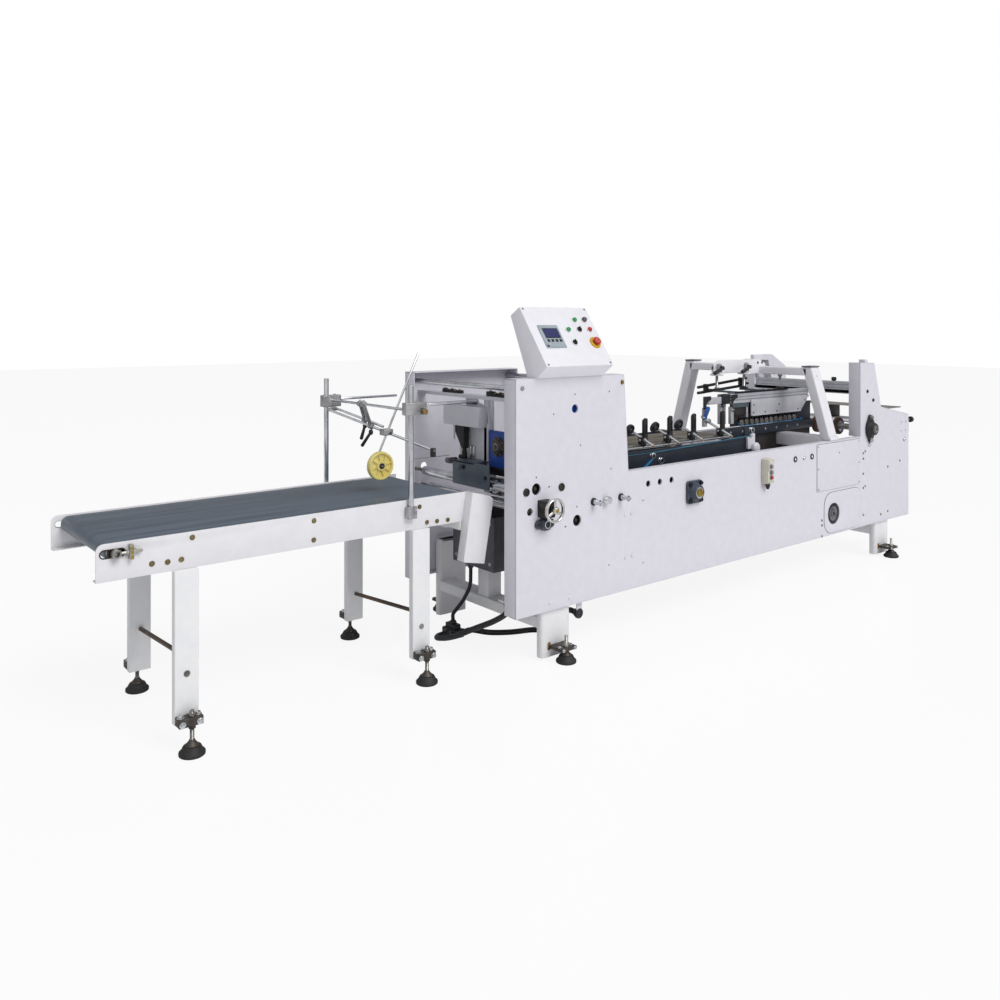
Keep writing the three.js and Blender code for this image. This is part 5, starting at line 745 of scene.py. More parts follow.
front_holes = [(0.1017, 0.8592, 20), (0.0337, 0.5313, 26), (0.0231, 0.4388, 17), (0.1055, 0.3664, 26),
    (0.0844, 0.3491, 5), (0.0556, 0.5333, 5), (0.2455, 0.4764, 16), (0.2703, 0.4764, 16),
    (0.2957, 0.4764, 16), (0.7297, 0.1234, 67), (0.1017, 0.9229, 4), (0.1663, 0.9248, 4),
    (0.0637, 0.8428, 4), (0.1118, 0.6953, 4), (0.1695, 0.5719, 4), (0.0337, 0.5815, 4), (0.1052, 0.4272, 4),
    (0.2343, 0.4021, 4), (0.1657, 0.1369, 4), (0.2343, 0.109, 4), (0.9709, 0.6027, 5), (0.9888, 0.6027, 5),
    (0.9709, 0.5477, 5), (0.9888, 0.5477, 5), (drive_x / 3470, (drive_z - 228) / 1037, 23),
    (feed_x / 3470, (feed_z - 228) / 1037, 23)]
panel_pieces = panel_sheet(0, 1, front_holes)
# Bearing seats and caps behind the open holes, black inside
hole_black = mottled("black_bearing_seat", "1d1e22", "0f1013", 5.0, 0.2, 0.5, 0.1)
blue_plastic = mottled("blue_moulded_plastic", "2257a8", "163f86", 4.0, 0, 0.4, 0.1)
for across, up, radius in front_holes[:9]:
    x, z = share_at(across, up)
    lining = blue_plastic if radius == 20 else hole_black
    panel_pieces.append(turned((x, 8.2, z), to_back, [(0, radius - 0.5), (0, radius + 5), (22, radius + 5),
        (24, radius + 3), (24, 0), (14, 0), (14, radius * 0.5), (16, radius - 2.5)], lining, 36))
for across, up in ((0.0337, 0.5313), (0.1055, 0.3664), (0.0231, 0.4388)):
    x, z = share_at(across, up)
    panel_pieces.append(turned((x, 6, z), to_back, [(0, 0), (0, 7), (2, 9), (18, 9), (18, 0)], dark_oiled,
        28))
for across, up, radius in front_holes[10:24]:
    x, z = share_at(across, up)
    panel_pieces.append(rod((x, 2.2, z), (x, 9, z), radius + 1.4, hole_black, 0.4, 16))
# Hex and socket screws on the face
for across, up, metal in ((0.0101, 0.9614, zinc), (0.1916, 0.9633, aged_brass), (0.845, 0.8197, dark_oiled),
        (0.8657, 0.7628, dark_oiled)):
    x, z = share_at(across, up)
    panel_pieces += bolt(x, 0, z, -1, 8.5, metal, 6.5)
for across, up in ((0.198, 0.351), (0.2107, 0.3529), (0.1983, 0.1543), (0.2118, 0.1562), (0.0573, 0.0357),
        (0.0919, 0.0366)):
    x, z = share_at(across, up)
    panel_pieces.append(turned((x, 1, z), to_front, [(0, 0), (0, 10), (2.5, 10), (4.6, 8.6), (6.2, 5),
        (6.6, 0)], machine_coat, 28))
for across, up in ((0.8524, 0.49), (0.9821, 0.4889), (0.638, 0.4754)):
    x, z = share_at(across, up)
    panel_pieces.append(turned((x, 1, z), to_front, [(0, 0), (0, 14), (2, 14), (2.4, 10), (6, 9.4), (8, 7),
        (8, 4), (5.5, 4), (5.5, 0)], bright_zinc, 28))
# Threaded rings, a dark plug and two black grommets with pale centres
for across, up, centre in ((0.0167, 0.5246, hole_black), (0.0772, 0.5246, dark_oiled)):
    x, z = share_at(across, up)
    panel_pieces += [
        turned((x, 1, z), to_front, [(0, 0), (0, 18), (5, 18), (6, 17), (6, 11.5), (3, 11), (3, 0)],
            dark_oiled, 36),
        turned((x, 0, z), to_front, [(0, 0), (0, 11), (3.4, 11), (4.2, 9), (4.2, 0)], centre, 32)]
for across, up in ((0.6118, 0.4773), (0.6617, 0.4773)):
    x, z = share_at(across, up)
    panel_pieces += [
        turned((x, 1, z), to_front, [(0, 8), (0, 17), (4, 17), (6, 15), (6, 10), (4.4, 8)], hole_black, 36),
        turned((x, 1, z), to_front, [(0, 0), (0, 8.2), (4, 8), (4.6, 6), (4.6, 0)], machine_coat, 28)]
# Small countersunk screws in the right half of the face
for x, z in ((2882, 690), (2882, 655), (2882, 560), (2882, 470), (2882, 300), (2405, 330), (2405, 300),
        (2405, 235), (2905, 700), (2905, 480), (3190, 575), (3350, 600), (3190, 285), (3100, 275),
        (2420, 560)):
    panel_pieces.append(turned((x, 0.5, z), to_front, [(0, 0), (0, 7.2), (1.6, 7.2), (3, 5.6), (3, 2.6),
        (1.2, 2.2), (1.2, 0)], bronzed_zinc, 20))
# The rounded cover round the port: a thin sheet with a rolled edge. The black sheet under it, a little
# larger, is painted shade: it stands for the shadow in the groove round the cover's edge
port_tool = rod((port_x, -10, port_z), (port_x, 10, port_z), 67, machine_coat, 0, 56)
panel_pieces += [
    plate("y", -0.9, 0.6, corner_points(2426.8, 2862.2, 238.8, 487.2, 81, 14), hole_black, 0,
        [rod((port_x, -10, port_z), (port_x, 10, port_z), 69, hole_black, 0, 56)]),
    plate("y", -3, -0.9, corner_points(2428.5, 2860.5, 240.5, 485.5, 80, 14), machine_coat, 0.7,
        [port_tool]),
    turned((port_x, -1, port_z), to_front, [(0, 64.5), (0, 68), (1.6, 69.5), (2.6, 69), (3, 67), (2.2, 65)],
        machine_coat, 56),
    # Dark gearbox housing behind the handwheel, with a rib on its side
    pierced(block(124, 186, -50, 4, 654.5, 729.5, hole_black, 5, 4),
        [rod((165, -60, 690), (165, 10, 690), 8.8, hole_black, 0, 28)]),
    block(122.5, 130, -47, -6, 664, 720, dark_oiled, 2.4, 3),
    block(136, 174, -51.5, -49, 727, 729, dark_oiled, 0.6)]
# Two-bolt bearing of slate-painted cast iron under it
slate_iron = mottled("slate_cast_iron", "47505f", "2c333f", 5.0, 0.1, 0.42, 0.35)
ear_outline = []
for end in (1, -1):
    for i in range(9):
        turn = (-math.pi / 2 if end > 0 else math.pi / 2) + math.pi * i / 8
        ear_outline.append((160 + end * 35 + 20 * math.cos(turn), 622 + 20 * math.sin(turn)))
panel_pieces += [
    plate("y", -14, 3, ear_outline, slate_iron, 3, segments=3),
    turned((160, 0, 622), to_front, [(0, 0), (0, 31), (12, 30), (22, 27), (28, 24), (30, 22), (30, 19),
        (27, 18), (27, 0)], slate_iron, 44),
    turned((160, -26.5, 622), to_front, [(0, 13), (0, 17.6), (2.6, 17.6), (3, 16), (3, 13.5)], bright_zinc,
        36),
    turned((160, -25, 622), to_front, [(0, 0), (0, 13), (3, 13), (4, 11.5), (4, 5), (1.5, 4.5), (1.5, 0)],
        hole_black, 32)]
for x in (118, 202):
    panel_pieces.append(rod((x, -13, 622), (x, -20, 622), 8, dark_oiled, 1.0, 6))
# Shaft ends with their collars, and a knurled steel knob between them
for x, out in ((471, 55), (655, 62)):
    panel_pieces += [
        turned((x, 2, 681), to_front, [(0, 0), (0, 18), (8, 18), (11, 16), (11, 11), (8, 10), (8, 0)],
            hole_black, 36),
        turned((x, -7, 681), to_front, [(0, 0), (0, 12), (16, 12), (18, 11), (18, 9), (out - 24, 9),
            (out - 24, 12), (out - 17, 12), (out - 16, 8.5), (out - 9, 8), (out - 7, 6.5), (out - 7, 0)],
            bright_zinc, 32),
        rod((x, -out + 12, 694), (x, -out + 12, 668), 4.4, blue_plastic if x < 500 else hole_black, 0.8,
            20)]
ridges = [(0, 0), (0, 17)]
for i in range(7):
    ridges += [(2 + i * 2.6, 17), (3 + i * 2.6, 18)]
panel_pieces += [
    turned((550, -8, 681), to_front, ridges + [(21, 16.6), (22, 14), (22, 8), (20, 7), (20, 0)], chrome,
        40),
    rod((550, 2, 681), (550, -9, 681), 9, zinc, 0.4, 24)]
# End bracket of grey plastic at the right, the gland tab inside the left fold and the strap under it
grey_plastic = mottled("grey_moulded_plastic", "8d8d92", "6f7076", 4.0, 0, 0.46, 0.15)
panel_pieces += [
    block(3466, 3480, 4, 34, 790, 880, grey_plastic, 2.4, 3),
    block(0, 52, 76, 122, 281, 289, machine_coat, 1.2),
    turned((30, 100, 276.9), upward, [(0, 14), (0, 17), (2, 17.5), (6, 17.5), (8, 16), (8, 0), (3, 0),
        (3, 14)], black_abs, 32),
    block(398, 430, 34, 40, 166, 232, machine_coat, 1.2),
    turned((414, 33.5, 166), to_back, [(0, 0), (0, 23), (2, 24), (12, 24), (14, 22), (20, 20), (26.4, 17),
        (26.4, 14), (20, 13.5), (20, 0)], black_abs, 36),
    block(2921, 2954, 10, 52, 1252, 1280, machine_coat, 2, 3)]
assembled("front_panel_sheet", panel_pieces, "machine", ["front_side_panel"])

# Far side panel, tie shafts, hood and table
# The same folded sheet on the far side. Four tie shafts run across from it, and it carries the
# feeder's hood, its sheet table and the zinc feed plate that a dark block holds over the table.
rear_pieces = panel_sheet(864, -1, [(0.032, 0.5313, 20)])
for x, z in ((35, 1220), (660, 1225)):
    rear_pieces.append(rod((x, 8.3, z), (x, 860, z), 13, chrome, 1.0, 32))
for x, z in ((2200, 330), (3400, 300)):
    rear_pieces.append(rod((x, 8.3, z), (x, 860, z), 13, plain_steel, 1.0, 32))
rear_pieces += [
    plate("y", 832, 860, [(2912, 1233), (2912, 1290), (3136, 1290), (3310, 1200), (3310, 940), (3129, 996),
        (3081, 984)], machine_coat, 3, segments=3),
    block(3150, 3440, 8.3, 860, 845, 855, machine_coat, 1.6),
    block(3284, 3446, 40, 700, 944, 951, zinc, 1.4),
    block(3300, 3420, 470, 486, 853, 946, dark_oiled, 1.4)]
for across, up in ((0.0101, 0.9614), (0.1916, 0.9633), (0.198, 0.351), (0.2107, 0.3529), (0.198, 0.154),
        (0.845, 0.8197), (0.8657, 0.7628), (0.6118, 0.4773), (0.35, 0.4), (0.5, 0.12), (0.98, 0.1),
        (0.98, 0.56), (0.02, 0.06)):
    x, z = share_at(across, up)
    rear_pieces += bolt(x, 864, z, 1, 8, zinc, 6)
assembled("rear_panel_sheet", rear_pieces, "machine", ["rear_side_panel"])

# Access cover
# A flat sheet held on the front panel by small screws. Under it lies a black sheet a little larger, which is
# painted shade: it stands for the shadow in the gap round the cover's edge and shows as a line.
cover_pieces = [
    plate("y", -1.2, -0.3, corner_points(2349, 2840, 503, 787, 8, 5), hole_black, 0),
    plate("y", -3.3, -1.2, corner_points(2350.6, 2838.4, 504.6, 785.4, 8, 5), machine_coat, 0.7),
]
for x, z in ((2364, 640), (2364, 772), (2825, 772), (2825, 640), (2825, 518), (2364, 518), (2595, 720)):
    cover_pieces.append(turned((x, -3, z), to_front, [(0, 0), (0, 5.5), (1.4, 5.5), (2.4, 4.4), (2.4, 2.2),
        (1, 2), (1, 0)], zinc, 18))
assembled("access_cover_sheet", cover_pieces, "machine", ["access_cover"])

# Port pulley
# A black anodised disc with a grey hub and a dark socket screw, on a steel shaft to the far panel.
black_oxide = mottled("black_oxide_steel", "2a2b30", "151619", 5.0, 0.5, 0.4, 0.15)
grey_iron = mottled("machined_grey_iron", "8a8b90", "5d5e63", 4.0, 0.75, 0.38, 0.15)
ridged = [(0.3, 0), (0.3, 60), (2, 63.5)]
for i in range(6):
    ridged += [(4 + i * 2.6, 63.8), (5.2 + i * 2.6, 61.6)]
port_pieces = [
    turned((port_x, 0, port_z), to_back, ridged + [(23, 63.5), (24, 62), (24, 0)], black_oxide, 64),
    turned((port_x, 2, port_z), to_front, [(0, 0), (0, 44), (1.6, 44), (2.4, 42), (2.4, 30), (7, 29),
        (8, 27), (8, 14), (5, 12), (5, 0)], grey_iron, 56),
    rod((port_x, 20, port_z), (port_x, 855.7, port_z), 15, plain_steel, 0.8, 36),
    rod((port_x, -3, port_z), (port_x, -6, port_z), 9, hole_black, 0.6, 6)]
for i in range(3):
    turn = math.radians(90 + 120 * i)
    x, z = port_x + 21 * math.cos(turn), port_z + 21 * math.sin(turn)
    port_pieces.append(rod((x, -5, z), (x, -7.4, z), 3.4, hole_black, 0.5, 12))
assembled("port_pulley_disc", port_pieces, "port_pulley", ["port_pulley"])

# Machine legs, crossbeams and drive box
# Box-section legs inside the panels, tied by two channels near the floor. The left pair carries the
# drive box on a column and the bracket that the conveyor docks on.
leg_sets = {"left_main_legs": [], "right_main_legs": []}
for name, left, beam_left in (("left_main_legs", 168, 173), ("right_main_legs", 3064, 3069)):
    group = leg_sets[name]
    for face, inward in ((0, 1), (864, -1)):
        outer, back = face + inward * 20, face + inward * 65
        low, high = min(outer, back), max(outer, back)
        tube = plate("z", 15, 398.7, corner_points(left, left + 175, low, high, 18, 6), leg_coat, 1.5)
        notch = block(left - 6, left + 181, min(face, face + inward * 40.4),
            max(face, face + inward * 40.4), 227.6, 233.4, leg_coat, 0)
        group.append(pierced(tube, [notch]))
        shelf = face + inward * 8.3
        group.append(block(left + 20, left + 155, min(shelf, back), max(shelf, back), 389, 398.7, leg_coat,
            1.4))
        # Foot: a zinc clamp plate on the leg's face, stem, cone nut and pad
        x, y = left + 89, face - inward * 42
        far = y - inward * 21
        near = face + inward * 24
        group += pad(x, y, foot_iron)
        group += [
            thread(x, y, 44, 119, 8, zinc),
            block(x - 47, x + 47, min(near, far), max(near, far), 55, 69, foot_iron, 2, 3),
            rod((x, y, 68), (x, y, 83), 13, zinc, 1.2, 6),
            block(x - 56, x - 40, min(outer, outer - inward * 4), max(outer, outer - inward * 4), 48, 82,
                aged_brass, 1.2)]
        for dx in (-34, 34):
            group += bolt(x + dx, far, 62, -inward, 6.5, bright_zinc, 6)
            group += bolt(x + dx, 69, y + inward * 6, 1, 6.5, bright_zinc, 6, "z")
    beam = block(beam_left, beam_left + 100, 61, 803, 142, 192, leg_coat, 3, 3)
    group.append(pierced(beam, [block(beam_left + 5, beam_left + 95, 110, 754, 130, 187, leg_coat, 0)]))
drive = leg_sets["left_main_legs"]
# Dark lacquered box of the conveyor's drive
box_lacquer = mottled("dark_box_lacquer", "54545a", "45454b", 6.0, 0.1, 0.42, 0.2, 0.05)
box_shell = block(120, 300, 300, 620, 345, 600, box_lacquer, 3, 3)
drive += [
    pierced(box_shell, [block(123, 297, 303, 617, 348, 620, box_lacquer, 0)]),
    block(183, 263, 420, 500, 188, 349, leg_coat, 2)]
for y, z in ((330, 380), (590, 380), (330, 570), (590, 570)):
    drive += bolt(y, 120, z, -1, 7, zinc, 5, "x")
drive.append(turned((138, 500, 328.8), upward, [(0, 10), (0, 13), (2, 14), (9, 14), (10, 16), (17, 16),
    (17, 0), (4, 0), (4, 10)], black_abs, 32))
dock = block(-150, -110, 205.3, 791.7, 600.7, 639.7, leg_coat, 2)
drive += [
    pierced(dock, [block(-147, -113, 208, 789, 590, 636, leg_coat, 0)]),
    block(-114, 124, 360, 410, 580.7, 610.7, leg_coat, 2)]
assembled("left_legs_and_drive_box", drive, "machine", ["left_main_legs"])
assembled("right_legs_and_channel", leg_sets["right_main_legs"], "machine", ["right_main_legs"])

# Control box
# A box of folded sheet, tilted back on a neck. Its face holds a grey display frame with a dark blue
# screen and four keys, and white rings for the buttons. Four small screws hold the face.
def on_face(across, up, out):
    """A place on the tilted face, from mm across and up it and out of it."""
    return (115 + across, -73 + 0.57596 * up - 0.81748 * out, 1318 + 0.81748 * up + 0.57596 * out)


def tilted(piece):
    """Turns a piece made flat at the origin (x across, z up, -y out) on to the face."""
    piece.data.transform(Matrix.Translation(at(115, -73, 1318)) @ Matrix.Rotation(math.atan2(-186, 264), 4,
        "X") @ Matrix.Translation(-at(0, 0, 0)))
    return piece


face_way = (0, -0.81748, 0.57596)
box_coat = mottled("control_box_coat", "efeef3", "ebeaf0", 4.0, 0, 0.42, 0.15, 0.03)
outline = [(113, 1582), (-73, 1318), (-7, 1265.3), (57, 1265.3), (71, 1298.3), (175, 1543)]
shell = plate("x", 115, 530, outline, box_coat, 0)
middle = (56, 1428)
drawn_in = [(middle[0] + (y - middle[0]) * 0.93, middle[1] + (z - middle[1]) * 0.93) for y, z in outline]
shell = pierced(shell, [plate("x", 118, 527, drawn_in, box_coat, 0)])
bpy.context.view_layer.objects.active = shell
shell.select_set(True)
control_pieces = [shape(shell, box_coat, 2.6, 3)]
# Display frame, its screen, keys and the small screw at its lower corner
frame_grey = mottled("display_frame_plastic", "a9b4bb", "96a2aa", 4.0, 0, 0.42, 0.1)
W, H = 415, 322.94
a0, a1, u0, u1 = W * 0.12, W * 0.41, H * 0.3, H * 0.68
control_pieces += [
    tilted(block(a0, a1, -5, 0.6, u0, u1, frame_grey, 1.8, 3)),
    tilted(block(a0 + 5, a1 - 5, -6, -4, u0 + 5, u1 - 5, frame_grey, 0.9))]
screen_glass, tree, shader, coords = finish_of("screen_glass", 0, 0.12, 1.5)
flat_way = add(tree, "Mapping", {"Scale": (1.0, 1.0, 1.0)}, {"Vector": coords})
pixels = add(tree, "TexNoise", {"Scale": 180.0, "Detail": 1.0}, {"Vector": flat_way.outputs[0]})
ramp = add(tree, "ValToRGB", {}, {0: pixels.outputs[0]})
ramp.color_ramp.elements[0].color = linear("1c2150")
ramp.color_ramp.elements[1].color = linear("30386f")
tree.links.new(ramp.outputs[0], shader.inputs["Base Color"])
control_pieces += [
    tilted(block(W * 0.158, W * 0.382, -6.8, -4, H * 0.455, H * 0.622, hole_black, 0.8)),
    tilted(block(W * 0.167, W * 0.373, -7.6, -5, H * 0.468, H * 0.61, screen_glass, 0.5))]
for share in (0.182, 0.24, 0.3, 0.359):
    control_pieces.append(tilted(block(W * share - 7.5, W * share + 7.5, -8, -4, H * 0.415 - 7,
        H * 0.415 + 7, black_abs, 1.6, 3)))
control_pieces.append(turned(on_face(a0 + 10, u0 + 9, 5), face_way,
    [(0, 0), (0, 6.5), (2, 6), (2, 2), (1, 1.6), (1, 0)], hole_black, 24))
white_abs = mottled("white_moulded_ring", "f1f1f2", "e4e4e7", 3.0, 0, 0.35, 0.05)
yellow_abs = mottled("yellow_moulded_ring", "e2b32a", "c99620", 3.0, 0, 0.4, 0.08)
spots = {"green_button_upper": (0.718, 0.768), "green_button_lower": (0.552, 0.6),
    "speed_knob": (0.866, 0.768), "selector_upper": (0.722, 0.601), "red_button": (0.883, 0.601),
    "selector_lower": (0.559, 0.381), "e_stop_button": (0.875, 0.375)}
for name, (across, up) in spots.items():
    place = on_face(W * across, H * up, 0)
    if name == "e_stop_button":
        ring = [(-1, 11.6), (-1, 30), (4, 30), (7, 28.6), (8, 26), (8, 14), (6, 11.6)]
        control_pieces.append(turned(place, face_way, ring, yellow_abs, 48))
    else:
        ring = [(-1, 11.1), (-1, 15), (3.4, 15), (5, 13.8), (5, 12), (3.6, 11.1)]
        control_pieces.append(turned(place, face_way, ring, white_abs, 40))
for across in (0.035, 0.965):
    for up in (0.035, 0.965):
        control_pieces.append(turned(on_face(W * across, H * up, 0), face_way,
            [(-1, 0), (-1, 5), (2, 4.6), (3.2, 3.4), (3.2, 1.8), (1.8, 1.5), (1.8, 0)], grey_plastic, 20))
assembled("control_box_shell", control_pieces, "machine", ["control_box"])

# Push buttons
# Moulded caps, two green and one red, a little proud of their white rings and dished in the middle.
green_abs = mottled("green_button_cap", "1f9a4e", "17803f", 3.0, 0, 0.3, 0.05)
red_abs = mottled("red_button_cap", "c8302c", "ab2422", 3.0, 0, 0.3, 0.05)
for name, cap in (("green_button_upper", green_abs), ("green_button_lower", green_abs),
        ("red_button", red_abs)):
    across, up = spots[name]
    profile = [(0, 0), (0, 10.3), (6.4, 10.4), (8.2, 9.6), (9, 8), (8.7, 6), (8.2, 3), (8, 0)]
    button = turned(on_face(W * across, H * up, 4.3), face_way, profile, cap, 36)
    assembled(name + "_cap", [button], name, [name])

# Selectors, speed knob and emergency stop
# The selectors are black with a white line on the grip. The speed knob is grey and fluted. The stop is a red
# mushroom on a steel stem; the pale red ring on its shoulder is a painted highlight.
for name in ("selector_upper", "selector_lower"):
    across, up = spots[name]
    a, u = W * across, H * up
    skirt = turned(on_face(a, u, 0.4), face_way, [(0, 0), (0, 10.4), (5, 10.4), (5, 13), (7.4, 13),
        (9.6, 11), (9.6, 0)], black_abs, 36)
    grip = tilted(block(a - 2.6, a + 2.6, -18.8, -9, u - 11, u + 11, black_abs, 1.4, 3))
    mark = tilted(block(a - 0.7, a + 0.7, -19.3, -16, u + 1, u + 10.4, white_abs, 0.2))
    assembled(name + "_grip", [skirt, grip, mark], name, [name])
across, up = spots["speed_knob"]
knob_grey = mottled("speed_knob_plastic", "6b6c70", "4d4e53", 3.0, 0, 0.4, 0.1)
knob = [turned(on_face(W * across, H * up, 0.4), face_way, [(0, 0), (0, 10.4), (5.2, 10.4), (5.2, 12.9),
    (8, 12.6), (16.6, 10.4), (17.8, 9), (17.8, 0)], knob_grey, 40)]
for i in range(12):
    turn = 2 * math.pi * i / 12
    a, u = W * across + 11.4 * math.cos(turn), H * up + 11.4 * math.sin(turn)
    knob.append(rod(on_face(a, u, 6), on_face(a - 1.2 * math.cos(turn), u - 1.2 * math.sin(turn), 16.6),
        1.3, knob_grey, 0.3, 8))
knob.append(tilted(block(W * across - 0.6, W * across + 0.6, -18.4, -17, H * up + 2, H * up + 8.6,
    white_abs, 0.2)))
assembled("speed_knob_grip", knob, "speed_knob", ["speed_knob"])
across, up = spots["e_stop_button"]
stop = [
    turned(on_face(W * across, H * up, 6.4), face_way, [(0, 0), (0, 11), (10, 11), (10, 0)], bright_zinc,
        32),
    turned(on_face(W * across, H * up, 14.4), face_way, [(0, 11), (0, 17), (1.4, 19.4), (4, 20),
        (7.6, 19.4), (10, 17.4), (11.2, 14), (11.6, 9), (11.6, 0), (2, 0), (2, 11)], red_abs, 48)]
# Pale red ring on the dome's shoulder: a painted highlight
stop.append(turned(on_face(W * across, H * up, 25.6), face_way, [(0, 8), (0, 12), (0.6, 11.6), (0.6, 8.4)],
    mottled("pale_red_painted_highlight", "d98a86", "cf7773", 3.0, 0, 0.35, 0.05), 40))
assembled("e_stop_mushroom", stop, "e_stop_button", ["e_stop_button"])

# Handwheel
# A polished cast wheel with a round rim, three flat spokes and a dished hub, on a steel shaft. The
# hub's cap is yellow.
polished = mottled("polished_cast_wheel", "dddcd9", "b9b6b0", 6.0, 1.0, 0.14, 0.06, 0.08)
ring_turns = [2 * math.pi * i / 20 for i in range(20)]
rim = turned((165, -68, 690), to_front, [(9.6 * math.sin(t), 49 + 6 * math.cos(t)) for t in ring_turns],
    polished, 72)
wheel_hub = turned((165, -58, 690), to_front, [(0, 0), (0, 13), (4, 16), (20, 17), (24, 15.4), (26, 13),
    (26, 9), (23.6, 8.6), (23.6, 0)], polished, 44)
cap = turned((165, -81, 690), to_front, [(0, 0), (0, 8.4), (2, 8.2), (3, 6.6), (3, 0)], yellow_zinc, 32)
hand_pieces = [rim, wheel_hub, cap, rod((165, -62, 690), (165, -0.5, 690), 8, plain_steel, 0.8, 32)]
for i in range(3):
    turn = math.pi / 2 + 2 * math.pi * i / 3
    c, s = math.cos(turn), math.sin(turn)
    for lift in (-2.4, 0, 2.4):
        start = (165 + 12 * c - lift * s, -69, 690 + 12 * s + lift * c)
        stop_at = (165 + 46 * c - lift * 0.8 * s, -68, 690 + 46 * s + lift * 0.8 * c)
        hand_pieces.append(rod(start, stop_at, 4.4, polished, 0.6, 16, 3.8))
assembled("handwheel_casting", hand_pieces, "handwheel", ["handwheel"])

# Flange bearings
# The drive bearing is a square cast flange with four socket bolts and a grease nipple, and the
# feeder's is a tall black two-bolt flange. The inner ring round the shaft is bright on the first and
# grey on the second.
square_pieces = [
    pierced(plate("y", -16, -0.3, corner_points(1136.5, 1253.5, 585.5, 702.5, 16, 6), slate_iron, 3,
        segments=3), [rod((drive_x, -30, drive_z), (drive_x, 5, drive_z), 21.6, slate_iron, 0, 36)]),
    turned((drive_x, -12, drive_z), to_front, [(0, 21.6), (0, 50), (6, 49), (14, 44), (24, 39), (31, 37),
        (33, 35), (33, 30), (30, 28), (30, 21.6)], slate_iron, 56),
    turned((drive_x, -40, drive_z), to_front, [(0, 21.6), (0, 28.6), (4.4, 28.6), (5, 27), (5, 22.4),
        (4, 21.6)], bright_zinc, 48)]
for dx in (-1, 1):
    for dz in (-1, 1):
        square_pieces.append(turned((drive_x + dx * 43, -15, drive_z + dz * 43), (0, -1, 0),
            [(0, 0), (0, 13), (2, 13), (2.2, 10.5), (9, 10.5), (10.4, 9.4), (10.4, 5.4), (6, 5), (6, 0)],
            black_oxide, 28))
square_pieces.append(rod((1222, -30, 672), (1229, -34, 680), 3.4, bright_zinc, 0.6, 12))
assembled("drive_bearing_casting", square_pieces, "machine", ["drive_bearing"])
tall = [(feed_x + 19 * math.cos(math.pi * i / 8), feed_z + 70 + 19
    * math.sin(math.pi * i / 8)) for i in range(9)] + [(2911, 874), (2905, 840),
    (2911, 806)] + [(feed_x - 19 * math.cos(math.pi * i / 8),
    feed_z - 70 - 19 * math.sin(math.pi * i / 8)) for i in range(9)] + [(2999, 806), (3005, 840),
    (2999, 874)]
feeder_iron = mottled("black_cast_iron", "212229", "121318", 5.0, 0.1, 0.5, 0.3)
tall_pieces = [
    pierced(plate("y", -16, -0.3, tall, feeder_iron, 3, segments=3),
        [rod((feed_x, -30, feed_z), (feed_x, 5, feed_z), 21.6, feeder_iron, 0, 36)]),
    turned((feed_x, -12, feed_z), to_front, [(0, 21.6), (0, 52), (6, 50), (14, 44), (24, 39), (31, 37),
        (33, 35), (33, 30), (30, 28), (30, 21.6)], feeder_iron, 56),
    turned((feed_x, -40, feed_z), to_front, [(0, 21.6), (0, 28.6), (4.4, 28.6), (5, 27), (5, 22.4),
        (4, 21.6)], grey_iron, 48)]
for z, metal in ((913, grey_iron), (767, bright_zinc)):
    tall_pieces.append(turned((feed_x, -15, z), to_front, [(0, 0), (0, 15.6), (2, 15.6), (2.2, 11), (9, 11),
        (11, 9.6), (11, 5.4), (7, 5), (7, 0)], metal, 28))
assembled("feeder_bearing_casting", tall_pieces, "machine", ["feeder_bearing"])

# Main drive shaft and feeder shaft
# Ground steel shafts between the bearings. The drive shaft's end is brass-coloured with a crossed
# slot, and the feeder shaft carries three brown rubber friction rings.
shaft_brass = mottled("brass_shaft_end", "b9a04a", "8a7230", 3.0, 0.85, 0.3, 0.1)
end_face = pierced(rod((drive_x, -51, drive_z), (drive_x, -30, drive_z), 20, shaft_brass, 1.4, 48),
    [block(1178, 1212, -54, -47, 641, 647, shaft_brass, 0), block(1192, 1198, -54, -47, 627, 661,
    shaft_brass, 0)])
assembled("main_drive_shaft_bar", [end_face, rod((drive_x, -32, drive_z), (drive_x, 855.7, drive_z), 20,
    plain_steel, 0.8, 44)], "main_drive_shaft", ["main_drive_shaft"])
brown_rubber = mottled("brown_rubber_ring", "6d4c37", "4c3325", 6.0, 0, 0.7, 0.3)
feed_pieces = [
    rod((feed_x, -51, feed_z), (feed_x, 855.7, feed_z), 20, plain_steel, 1.2, 44),
    rod((feed_x, -51.6, feed_z), (feed_x, -46, feed_z), 9, hole_black, 0.5, 6)]
for y in (200, 350, 500):
    feed_pieces.append(turned((feed_x, y, feed_z), to_back, [(0, 19), (0, 52), (2, 54.6), (5, 55), (21, 55),
        (24, 54.6), (26, 52), (26, 19)], brown_rubber, 56))
    for side in (-4, 26):
        feed_pieces.append(turned((feed_x, y + side, feed_z), to_back,
            [(0, 19), (0, 34), (1, 35), (4, 35), (4, 19)], bright_zinc, 44))
assembled("feeder_shaft_bar", feed_pieces, "feeder_shaft", ["feeder_shaft"])

